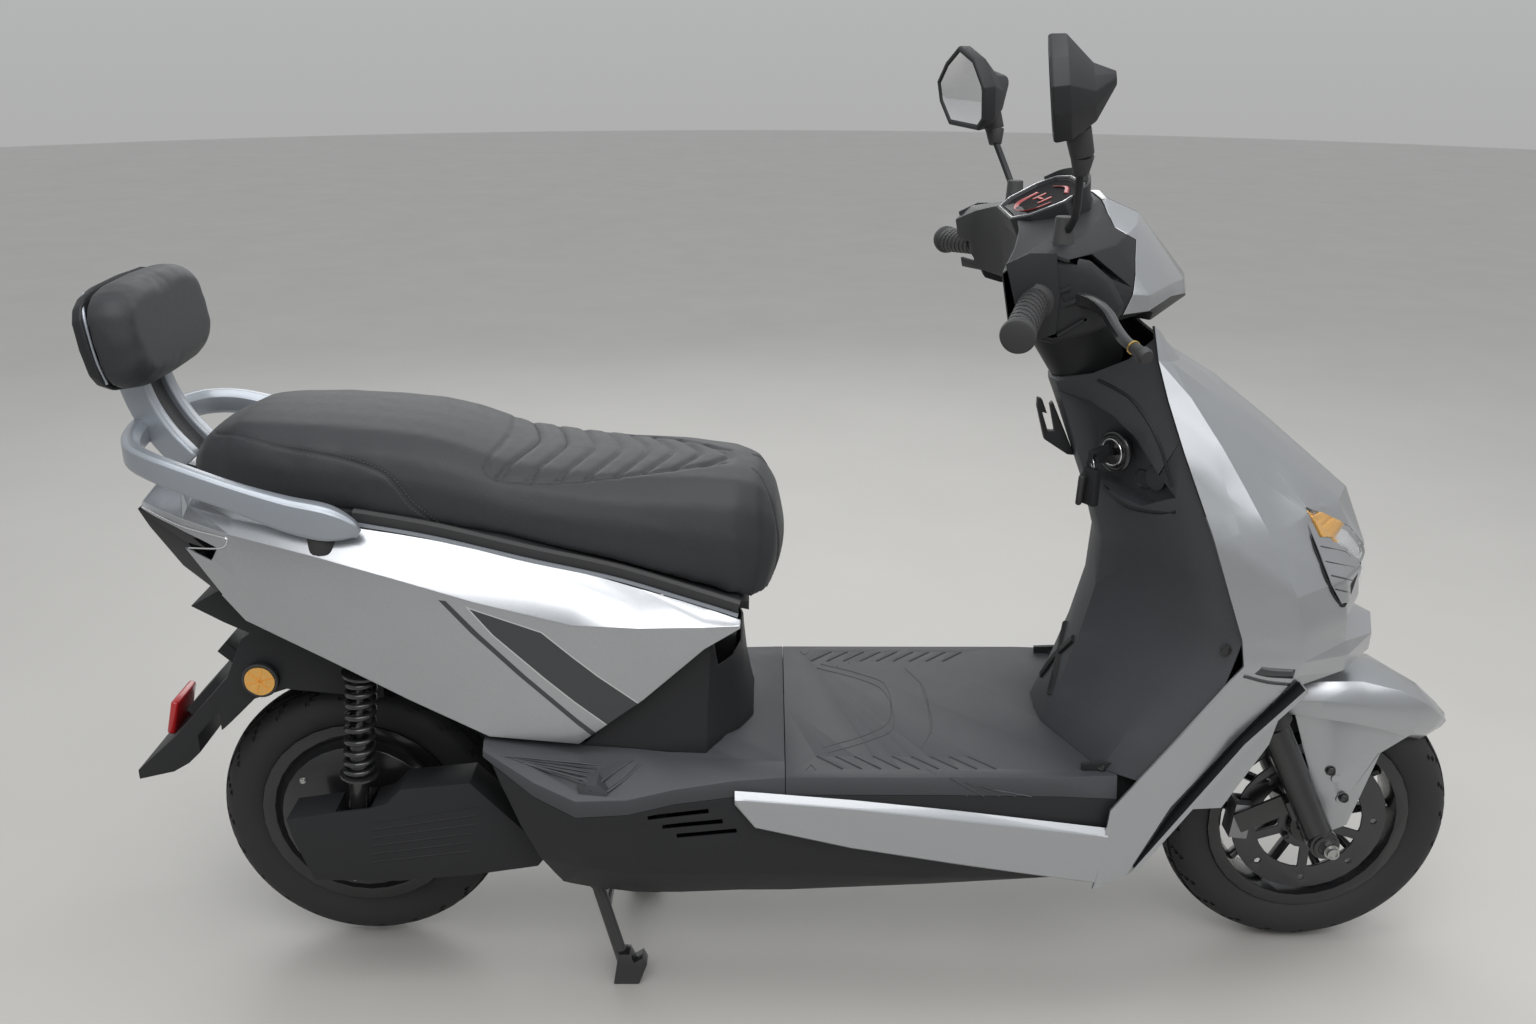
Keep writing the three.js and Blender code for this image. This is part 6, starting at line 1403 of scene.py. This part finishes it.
hub_skin = skin_of("hub_motor")
hub_rings = [spot for _, sign in sides for spot in on_circle(rear_axle, 0.098, 6, sign, 0.2, 0.35)]
hub_spots = [(hub_skin.ray_cast(place, -Vector(way))[0], way) for place, way in hub_rings]
bolts("hub_bolts", hub_spots, 0.007, "rear_wheel", "caliper_alloy", bolt_zinc)
disc_spots = on_circle(front_axle, 0.038, 5, -1, 0.0365)
bolts("disc_bolts", disc_spots, 0.008, "front_wheel", "black_paint", wheel_paint)
print("bolts on the hub:", len(hub_spots))

# %% [markdown]
# ## Lamps and reflectors
# A reflector is a clear disc over tiny prisms, in six fields that each tilt their own
# way. Six wedges, each a touch raised at its middle edge, catch the light differently.

# %% Amber reflectors
prisms = amber_glow.cells(0.0022)
amber_glow.relief(prisms, 0.0006, 0.8)
sixth, wedge_rise = math.pi / 3, 0.0011


def reflector(side, sign):
    low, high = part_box(f"side_reflector_{side}")
    centre, size = (low + high) / 2, (high.z - low.z) / 2
    centre.y = (low.y if sign < 0 else high.y)
    upright = stand_at(centre, (0, sign, 0), (1, 0, 0))
    disc = start_from("circle", "reflector", vertices=48, radius=size * 0.84, fill_type="TRIFAN")
    opened(disc)
    push((0, 0, 0.0022))
    shut()
    for corner in disc.data.vertices:
        if corner.co.z > 0.001:
            off_edge = abs(math.atan2(corner.co.y, corner.co.x) % sixth - sixth / 2) / (sixth / 2)
            corner.co.z += wedge_rise * (1 - off_edge) * min(1, corner.co.xy.length / size)
    disc.matrix_world = upright
    settle(disc, f"reflector_lens_{side}", "frame", "amber_lens", amber_glow)
    ring = hoop(size * 0.92, size * 0.10, stand_at(centre, (0, sign, 0)), 48, 10)
    settle(ring, f"reflector_ring_{side}", "frame", "rubber")
    bar = block("bar", (size * 0.80, 0.0007, 0.0012), (size * 0.40, 0, 0.0026))
    turns_of_six = [upright @ Matrix.Rotation(k * sixth + 0.25, 4, "Z") for k in range(6)]
    settle(repeated(bar, "bars", turns_of_six), f"reflector_seams_{side}", "frame", "amber_lens")


for side, sign in sides:
    reflector(side, sign)
for side, _ in sides:
    dressed(f"side_reflector_{side}", black_plastic, 0.0015)
print("reflectors made")

# %% [markdown]
# The rear reflector is a red block in the mudguard. Each tail lamp has a bright rim along
# its lower edge, a wire led along the cover.

# %% Rear reflector and the rims of the tail lamps
red_spot, red_tilt = Vector((-0.882, 0, 0.366)), math.radians(14)
red_block = rounded(block("red_block", (0.011, 0.070, 0.052)), 0.004, 3)
red_block.matrix_world = Matrix.Translation(red_spot) @ Matrix.Rotation(red_tilt, 4, "Y")
settle(smooth(red_block, 40), "rear_red_reflector", "frame", "tail_lens", red_lens)
wedge_pixels = [(142, 507), (182, 526), (222, 537), (227, 541), (220, 548), (190, 543)]
for side, sign, line in each_side(traced("side_cover_right", wedge_pixels)):
    trim_line = [p + Vector((0, 0.0006 * sign, 0)) for p in spaced(eased(line), 0.003)]
    trim = wire_along("trim", trim_line, 0.0024)
    settle(smooth(trim, 60), f"tail_trim_{side}", "frame", "tail_lens", chrome)
print("rear reflector at", [round(c, 3) for c in red_spot])

# %% [markdown]
# The headlight is a clear cover over a chromed bowl with an amber winker at its top. In
# the photograph it reaches over the side of the front body, so its glass is draped there:
# a sheet of small faces, each corner of which lies on the body behind its own pixel.
# Dark slats cross the glass, and a black seal runs round it.

# %% Headlight glass draped over the front body
def draped(name, part, near_edge, far_edge, lift, steps=14):
    """A sheet between two lines of pixels, lying on a part, and its mirror image."""
    corners, row = [], steps + 1
    for start, end in zip(eased(near_edge, steps), eased(far_edge, steps)):
        for j in range(row):
            point, way = seen(part, *start.lerp(end, j / steps))
            corners.append(point + way * lift)
    firsts = [k + j for k in range(0, len(corners) - row, row) for j in range(steps)]
    faces = [(a, a + 1, a + row + 1, a + row) for a in firsts]
    sheets = []
    for side, _, places in each_side(corners):
        sheet = mesh_of(f"{name}_{side}", places, [], faces)
        use(sheet, "SMOOTH", factor=0.5, iterations=4)
        use(sheet, "SOLIDIFY", thickness=0.003, offset=0)
        sheets.append(smooth(tidy(sheet), 40))
    return sheets


lamp_near = [(1298, 509), (1306, 528), (1317, 556), (1328, 584), (1339, 603)]
lamp_far = [(1303, 509), (1336, 522), (1362, 546), (1360, 566), (1346, 603)]
winker_near = [(1301, 511), (1310, 522), (1318, 538)]
winker_far = [(1306, 512), (1330, 524), (1350, 540)]
slat_ends = [
    ((1318, 545), (1352, 552)), ((1323, 560), (1352, 566)),
    ((1329, 574), (1350, 579)), ((1334, 588), (1347, 591)),
]
bowl_paint = bare_metal("lamp_bowl", (0.52, 0.53, 0.55), 0.16)
for sheet in draped("lamp_glass", "front_cover", lamp_near, lamp_far, 0.0025):
    settle(sheet, sheet.name, "frame", "clear_lens", bowl_paint)
for sheet in draped("winker_glass", "front_cover", winker_near, winker_far, 0.0045):
    settle(sheet, sheet.name, "frame", "amber_lens", amber_glow)
for number, (start, end) in enumerate(slat_ends):
    slat_pixels = [Vector(start).lerp(Vector(end), k / 4) for k in range(5)]
    for side, sign, line in each_side(eased(traced("front_cover", slat_pixels), 4)):
        slat = wire_along("slat", [p + Vector((0.001, 0.0045 * sign, 0)) for p in line], 0.0022)
        name = f"headlight_slat_{side}_{number}"
        settle(smooth(slat, 60), name, "frame", "black_plastic", black_paint)
lamp_edge = traced("front_cover", lamp_near + lamp_far[:0:-1])
for side, _, line in each_side(eased(lamp_edge, 6)):
    seal = wire_along("lamp_seal", spaced(line, 0.004), 0.0034, closed=True)
    settle(smooth(seal, 60), f"lamp_seal_{side}", "frame", "black_plastic")
bowl = merged_copy("headlight", "headlight_bowl")
use(bowl, "DISPLACE", strength=-0.007, mid_level=0)
settle(smooth(bowl, 40), "headlight_bowl", "frame", "clear_lens", chrome)
dressed("headlight", clear_lens, 0.0015, 25)
print("headlight slats:", len(slat_ends), "a side")

# %% [markdown]
# ## Handlebar
# The display is a dark window in a black frame, tilted to the rider. It is drawn as a flat
# outline, given its thickness, and its window is sunk by an inset. The red glow behind the
# window is a few bars that send out a little light.

# %% Display
display_up = Vector((-0.42, 0, 0.91)).normalized()
display_along = Vector((0.91, 0, 0.42)).normalized()
display_middle = Vector((0.287, 0, 1.081))
display_half = [(-0.050, 0.052), (-0.030, 0.082), (0.012, 0.094), (0.040, 0.078), (0.052, 0.040)]
display_outline = display_half + [(u, -y) for u, y in reversed(display_half)]
window_deep, glow_deep = 0.004, 0.0034


def on_display(u, y, lift=0.0):
    return display_middle + display_along * u + Vector((0, y, 0)) + display_up * lift


def in_window(middle, normal):
    above = (middle - display_middle).dot(display_up)
    return normal.dot(display_up) > 0.90 and -2 * window_deep < above < -0.5 * window_deep


bezel = plate("bezel", [on_display(u, y) for u, y in display_outline], 0.026, display_up)
pick(bezel, lambda middle, normal: normal.dot(display_up) > 0.99)
bpy.ops.mesh.inset(thickness=0.007)
push(-display_up * window_deep)
shut()
rounded(bezel, 0.0022, 3, 20)
settle(smooth(bezel, 35), "display_bezel", "steering", "black_plastic")
second_finish(bezel, window_glass, in_window)
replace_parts(bezel, "dash_display")

glow_paint = Paint("display_glow", (0.20, 0.012, 0.010), 0.35, Emission_Strength=0.5)
glow_cloud = glow_paint.noise(0.012, 2.0)
bright_red, dim_red = (0.26, 0.010, 0.008, 1), (0.05, 0.002, 0.002, 1)
glow_paint.set("Base Color", glow_paint.shades(glow_cloud, 0.4))
glow_paint.set("Emission Color", glow_paint.mixed(glow_cloud, bright_red, dim_red))
glow_paths = [
    [(0.026, 0.036), (0.034, 0.0), (0.026, -0.036)],
    [(0.004, 0.046), (-0.022, 0.036), (-0.032, 0.0), (-0.022, -0.036), (0.004, -0.046)],
    [(0.010, 0.018), (-0.010, 0.018)], [(0.010, -0.018), (-0.010, -0.018)],
    [(0.0, 0.010), (0.0, -0.010)],
]
glow_outline = [(-0.0034, -0.0003), (0.0034, -0.0003), (0.0034, 0.0003), (-0.0034, 0.0003)]
for number, path in enumerate(glow_paths):
    line = spaced(eased([on_display(u, y, -glow_deep) for u, y in path]), 0.003)
    glow, name = swept("glow", line, glow_outline), f"display_glow_{number}"
    settle(glow, name, "steering", "display_lens", glow_paint)

visor_half = [on_display(0.024, 0.092, -0.004), on_display(0.044, 0.078, -0.002),
              on_display(0.055, 0.042, 0.000), on_display(0.058, 0, 0.001)]
visor_line = eased(visor_half + [mirrored(p) for p in reversed(visor_half[:-1])], 8)
visor_outline = [(-0.003, -0.022), (0.003, -0.022), (0.0015, 0.007), (-0.0015, 0.007)]
visor = swept("visor", visor_line, visor_outline)
settle(smooth(visor, 30), "display_visor", "steering", "black_plastic")
rim_line = [on_display(u * 0.93, y * 0.95, 0.0002) for u, y in display_outline]
silver_rim = wire_along("rim", rim_line, 0.0012, closed=True)
settle(smooth(silver_rim, 60), "display_rim", "steering", "lock_chrome")
print("display made")

# %% [markdown]
# The front bar cover is silver only on its cheeks: its middle is a dark visor and its
# underside and inside are black. The faces are sorted by the way they look.

# %% Bar covers
front_bars = dressed("bar_cover_front", silver_paint, 0.0012, 15)
bars_skin = skin_of("bar_cover_front")
visor_reach = 0.055


def hidden_side(middle, normal):
    meets = bars_skin.ray_cast(middle + normal * 0.002, normal, 0.3)[0]
    return meets is not None or normal.z < -0.55 or normal.x < -0.5


def in_visor(middle, normal):
    return abs(middle.y) < visor_reach and normal.z > 0.05 and not hidden_side(middle, normal)


second_finish(front_bars, black_plastic, hidden_side)
second_finish(front_bars, smoked_lens, in_visor)
dressed("bar_cover_rear", black_plastic, 0.002, 22)
print("front bar cover faces:", len(front_bars.data.polygons))

# %% [markdown]
# Behind each grip the photograph shows a closed black housing, with the lever's clamp in
# front of it, and a black neck below. A bevelled plate closes the hollow bar cover there,
# and a thinner one lies over its end wall.

# %% Housings behind the grips, and the neck
def behind(pixels, across):
    """Points behind some pixels, on the upright plane at a distance to the right."""
    rays = [line_of_sight(u, v) for u, v in pixels]
    return [eye + ray * ((-across - eye.y) / ray.y) for ray in rays]


housing_pixels = [
    (1012, 268), (1030, 256), (1062, 254), (1092, 262), (1112, 280), (1124, 304),
    (1118, 322), (1090, 334), (1052, 344), (1032, 338), (1018, 306),
]
clamp_section = [(0, 0), (0, 0.0225), (0.003, 0.0245), (0.019, 0.0245), (0.022, 0.0225), (0.022, 0)]
for side, sign, outline in each_side(behind(housing_pixels, 0.199)):
    housing = plate("housing", outline, 0.020, (0, sign, 0))
    pick(housing, lambda middle, normal: abs(normal.y) > 0.99 and normal.y * middle.y > 0)
    for inset, out in ((0.006, 0.005), (0.010, 0.003)):
        bpy.ops.mesh.inset(thickness=inset)
        bpy.ops.transform.translate(value=(0, out * sign, 0))
    shut()
    rounded(housing, 0.0018, 2, 20)
    settle(smooth(housing, 30), f"bar_housing_{side}", "steering", "black_plastic")
    clamp_spot, clamp_way = Vector((0.2570, 0.182 * sign, 0.992)), (-0.0415, 0.128 * sign, -0.015)
    clamp = turned("clamp", clamp_section, 40, clamp_spot, clamp_way)
    settle(smooth(clamp, 40), f"bar_clamp_{side}", "steering", "black_plastic")
end_pixels = [
    (1006, 264), (1030, 253), (1057, 253), (1060, 296), (1056, 334), (1036, 341), (1015, 306),
]
for side, sign, outline in each_side(behind(end_pixels, 0.2118)):
    end_wall = rounded(plate("end_wall", outline, 0.004, (0, sign, 0)), 0.0012)
    settle(smooth(end_wall, 30), f"bar_end_wall_{side}", "steering", "black_plastic")
neck = start_from("cone", "neck", vertices=48, radius1=0.046, radius2=0.060, depth=0.10)
rounded(neck, 0.006, 3, 40)
neck.matrix_world = stand_at(Vector((0.345, 0, 0.905)), (-0.42, 0, 0.908))
settle(smooth(neck, 40), "bar_neck", "steering", "black_plastic")
print("housings closed")

# %% [markdown]
# A grip is soft rubber with a flange at its inner end, ribs that slant round it, and a
# closed bulb at its outer end. A drawn section is spun round the bar's line, and faces on
# a slanting pattern are raised.

# %% Grips
grip_section = [(0, 0), (0, 0.0215), (0.0045, 0.0215), (0.006, 0.0178)]
grip_section += [(0.008 + 0.0027 * k, 0.0166) for k in range(40)]
grip_section += [(0.1165, 0.0172), (0.119, 0.0192), (0.126, 0.0198), (0.130, 0.0185)]
grip_section += [(0.1315, 0.015), (0.1318, 0)]
rib_starts, rib_pitch, rib_share, rib_rise = 6, 0.013, 0.62, 0.0008


def raised(middle, normal):
    turn = math.atan2(middle.y, middle.x) / (2 * math.pi)
    on_rib = (turn * rib_starts + middle.z / rib_pitch) % 1 < rib_share
    return on_rib and 0.010 < middle.z < 0.113 and abs(normal.z) < 0.5


def grip(name, sign, body, part):
    inner, outer = Vector((0.2505, 0.205 * sign, 0.990)), Vector((0.2090, 0.333 * sign, 0.975))
    piece = turned(name, grip_section, 48, inner, outer - inner)
    place = piece.matrix_world.copy()
    piece.matrix_world = Matrix.Identity(4)
    pick(piece, raised)
    bpy.ops.mesh.extrude_region_shrink_fatten(TRANSFORM_OT_shrink_fatten={"value": rib_rise})
    shut()
    piece.matrix_world = place
    settle(smooth(piece, 40), name, body, "rubber")
    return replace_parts(piece, part)


grip("grip_rubber_right", -1, "throttle", "throttle_grip")
grip("grip_rubber_left", 1, "steering", "left_grip")
print("grips made")

# %% [markdown]
# The brake levers are cast with a thick root, thin out along the blade, and end in a ball.
# An outline is led along the blade and swells where the casting does. A brass ring marks
# the joint between the blade and its rubber end.

# %% Brake levers
lever_way = [
    (0.298, 0.197, 0.993), (0.314, 0.214, 0.990), (0.325, 0.238, 0.982),
    (0.329, 0.266, 0.972), (0.334, 0.292, 0.964), (0.343, 0.316, 0.958),
]
lever_outline = [
    (-0.006, -0.004), (-0.003, -0.0062), (0.003, -0.0062), (0.006, -0.004),
    (0.006, 0.004), (0.003, 0.0062), (-0.003, 0.0062), (-0.006, 0.004),
]
root_size, thinning = 1.55, 0.65
sleeve_section = [
    (0, 0), (0, 0.0068), (0.012, 0.0072), (0.015, 0.0088),
    (0.021, 0.0092), (0.025, 0.0075), (0.0265, 0),
]
ring_section = [(0, 0.005), (0, 0.0078), (0.0022, 0.0078), (0.0022, 0.005)]
brass = bare_metal("brass", (0.62, 0.42, 0.12), 0.3)
for side, sign in sides:
    line, body = eased([(x, y * sign, z) for x, y, z in lever_way], 6), f"lever_{side}"
    shares = [min(1, k / (len(line) - 1) * 1.5) for k in range(len(line))]
    sizes = [root_size - thinning * math.sin(share * math.pi / 2) for share in shares]
    blade = swept("blade", line, lever_outline, sizes)
    settle(smooth(blade, 50), f"lever_blade_{side}", body, "black_paint")
    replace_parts(blade, f"brake_lever_{side}")
    way = (line[-1] - line[-4]).normalized()
    sleeve = turned("sleeve", sleeve_section, 28, line[-2] - way * 0.004, way)
    settle(smooth(sleeve, 45), f"lever_end_{side}", body, "rubber")
    ring = turned("ring", ring_section, 28, line[-2] - way * 0.006, way)
    settle(smooth(ring, 30), f"lever_ring_{side}", body, "caliper_alloy", brass)
print("levers made")

# %% [markdown]
# ## Leg shield and foot floor
# The small things that a rider touches come next: the lock with its rings, and a second
# fob on the key ring. The fob is a box with rounded edges and a line round its faces.

# %% Lock rings, key ring and second fob
lock_low, lock_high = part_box("ignition_lock")
lock_middle, lock_way = (lock_low + lock_high) / 2, Vector((-0.844, -0.536, 0)).normalized()
collar = hoop(0.0235, 0.0042, stand_at(lock_middle + lock_way * 0.004, lock_way), 56, 12)
settle(collar, "lock_collar", "frame", "black_paint")
lock_ring = hoop(0.0170, 0.0013, stand_at(lock_middle + lock_way * 0.010, lock_way), 56, 12)
settle(lock_ring, "lock_ring", "frame", "lock_chrome")
dressed("ignition_lock", black_paint, 0.0012)
fob_low, fob_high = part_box("key_fob")
fob_middle = (fob_low + fob_high) / 2
fob = rounded(block("fob", (0.008, 0.020, 0.044)), 0.0035, 3)
pick(fob, lambda middle, normal: abs(normal.x) > 0.95)
bpy.ops.mesh.inset(thickness=0.003)
push((0, 0, 0))
shut()
fob_place = Matrix.Translation((fob_middle.x - 0.010, fob_middle.y + 0.006, fob_low.z + 0.020))
fob_turn = Matrix.Rotation(math.radians(12), 4, "X") @ Matrix.Rotation(math.radians(-30), 4, "Z")
fob.matrix_world = fob_place @ fob_turn
settle(smooth(fob, 40), "second_fob", "fob", "rubber")
ring_place = Matrix.Translation((fob_middle.x, fob_middle.y, fob_high.z - 0.010))
split_ring = hoop(0.0080, 0.0009, ring_place @ Matrix.Rotation(math.radians(80), 4, "Y"), 32)
settle(split_ring, "split_ring", "fob", "lock_chrome")
print("lock at", [round(c, 3) for c in lock_middle])

# %% [markdown]
# Each mark of the shield is placed where the line of sight through its pixel meets the
# moulding, and mirrored where it comes in pairs. Ridges and ribs are thin wires, half
# sunk in the part that they lie on.

# %% Shield: caps, slot, bolts and the ridge round the pocket
cap_spot, cap_way = seen("leg_shield", 1144, 479)
for side, sign in sides:
    spot = Vector((cap_spot.x, abs(cap_spot.y) * sign, cap_spot.z))
    way = Vector((cap_way.x, abs(cap_way.y) * sign, cap_way.z))
    ring = hoop(0.0135, 0.0009, stand_at(spot + way * 0.0003, way))
    settle(ring, f"cap_ring_{side}", "frame", "black_paint")
bolts("shield_bolts", on_part("leg_shield", [(1226, 650), (1093, 789)]), 0.011, "frame", "black_paint")


def marks(name, part, pixel_lines, thick, slot, paint=None, body="frame", lift=0.0):
    """Thin raised lines on a part, traced by pixels, and their mirror images."""
    pieces = []
    for pixels in pixel_lines:
        points = [p + n * lift for p, n in (seen(part, *pixel) for pixel in pixels)]
        for one in both_sides(eased(points, 6) if len(points) > 2 else points):
            pieces.append(wire_along(name, one, thick, round_to=1))
    deselect()
    for piece in pieces:
        piece.select_set(True)
    bpy.context.view_layer.objects.active = pieces[0]
    bpy.ops.object.join()
    return settle(smooth(bpy.context.object, 60), name, body, slot, paint)


ridge_lines = [
    [(1098, 380), (1118, 390), (1136, 404), (1158, 440), (1172, 486)],
    [(1104, 486), (1124, 505), (1152, 512), (1176, 512)],
]
marks("shield_ridge", "leg_shield", ridge_lines, 0.005, "black_plastic", lift=-0.0006)
slot_line = [(1050, 694), (1058, 660), (1066, 622)]
marks("shield_slot", "leg_shield", [slot_line], 0.016, "black_plastic", inner_plastic, lift=-0.003)
print("shield details laid on")

# %% [markdown]
# The floor has a chevron and rows of ribs for grip. The ribs of a row are evenly spaced in
# the photograph too, so their pixels are counted on from the first.

# %% Foot floor: chevron and ribs
chevron_lines = [
    [(817, 668), (862, 680), (886, 694), (893, 727), (868, 741), (827, 753)],
    [(905, 668), (925, 690), (930, 728)], [(806, 770), (811, 765), (816, 770)],
]
near_ribs = [[(845 + 15 * k, 750 + 4 * k), (872 + 16 * k, 784 + 2 * k)] for k in range(11)]
wing_ribs = [[(500 + 6 * k, 755 + 2 * k), (600 - 3 * k, 765 + 4 * k)] for k in range(6)]
wing_edges = [[(590, 790), (612, 774), (632, 760)], [(604, 794), (626, 778), (640, 764)]]
marks("floor_chevron", "battery_lid", chevron_lines, 0.0022, "floor_plastic", lift=-0.0004)
marks("floor_ribs", "battery_lid", near_ribs, 0.0024, "floor_plastic", lift=-0.0004)
marks("wing_ribs", "floorboard", wing_ribs, 0.0026, "floor_plastic", lift=-0.0002)
marks("wing_edges", "floorboard", wing_edges, 0.004, "floor_plastic")
print("floor ribs:", len(near_ribs), "a side")

# %% [markdown]
# The mudguard and the front axle carry bolts, and the swingarm's cover has thin fins. The
# front body has a dark band and a fine line across its flap, which are strips laid on it.

# %% Bolts of the mudguard and axle, fins of the swingarm, bands on the flap
bolts("fender_bolts", on_part("front_fender", [(1330, 770), (1343, 797)]), 0.011, "fork", "black_paint")
axle_spot = seen("fork_sliders", 1331, 851)[0]
nut_spots = [(axle_spot, (0, -1, 0)), (mirrored(axle_spot), (0, 1, 0))]
bolts("axle_nuts", nut_spots, 0.016, "fork", "caliper_alloy", bolt_zinc)
fins = [[(372, 822 + 8 * k), (480 - 2 * k, 806 + 9 * k)] for k in range(6)]
marks("swingarm_fins", "swingarm_cover_right", fins, 0.0024, "black_plastic", body="swing", lift=-0.0004)
band_paint = Paint("band", stripe_dark, 0.35, 0.3, Coat_Weight=0.5)
band_cloud = band_paint.noise(0.05, 3.0)
band_paint.set("Base Color", band_paint.shades(band_cloud, 0.1))
band_paint.set("Roughness", band_cloud * 0.1 + 0.3)
thin_band = [(1244, 676), (1268, 682), (1290, 684)]
wide_band = [(1240, 665), (1266, 672), (1294, 674)]
for name, pixels, half in (("thin", thin_band, 0.0022), ("wide", wide_band, 0.0062)):
    points = [p + n * 0.0004 for p, n in (seen("front_cover", *pixel) for pixel in pixels)]
    band_outline = [(-0.0004, -half), (0.0004, -half), (0.0004, half), (-0.0004, half)]
    for side, _, line in each_side(eased(points, 8)):
        strip = swept("strip", line, band_outline)
        settle(strip, f"front_band_{name}_{side}", "frame", "silver_paint", band_paint)
print("bolts and bands done")

# %% [markdown]
# The foot of the leg shield meets the floor in a black lip. It closes the corner between
# the floor, the sill and the front body, where one could otherwise look through.

# %% Lip between floor and front body
lip_pixels = [(1082, 764), (1146, 762), (1142, 786), (1112, 812), (1080, 800)]
corner_pixels = [(1214, 632), (1244, 640), (1250, 684), (1228, 690)]
lips = (("foot_lip", lip_pixels, 0.180), ("shield_corner", corner_pixels, 0.150))
for name, pixels, across in lips:
    for side, sign, outline in each_side(behind(pixels, across)):
        lip_plate = plate(name, outline, 0.006, (0, sign, 0))
        settle(smooth(lip_plate, 30), f"{name}_{side}", "frame", "black_plastic")
print("corners closed")

# %% [markdown]
# The seat base is hidden under the seat's nose in the photograph, so its front corner is
# drawn back. Every part that is still as packed is then dressed in its usual finish.

# %% Seat base, and every part that needs no more than its finish
nose_from, nose_share = -0.075, 1.1


def under_nose(p):
    """Draws the front of the seat base back."""
    p.x -= nose_share * max(0, p.x - nose_from)
    return p


reshaped(dressed("seat_base", black_plastic, 0.002), under_nose)
for part in sorted(frame["nodes"]):
    if not frame["nodes"][part].hide_render:
        dressed(part)

# %% [markdown]
# Last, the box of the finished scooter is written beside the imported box, because nothing
# added here may make the scooter larger than it is.

# %% Compare the boxes and finish
low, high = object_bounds()
print("box grew by", [round(1000 * c, 1) for c in (*(cad_low - low), *(high - cad_high))], "mm")
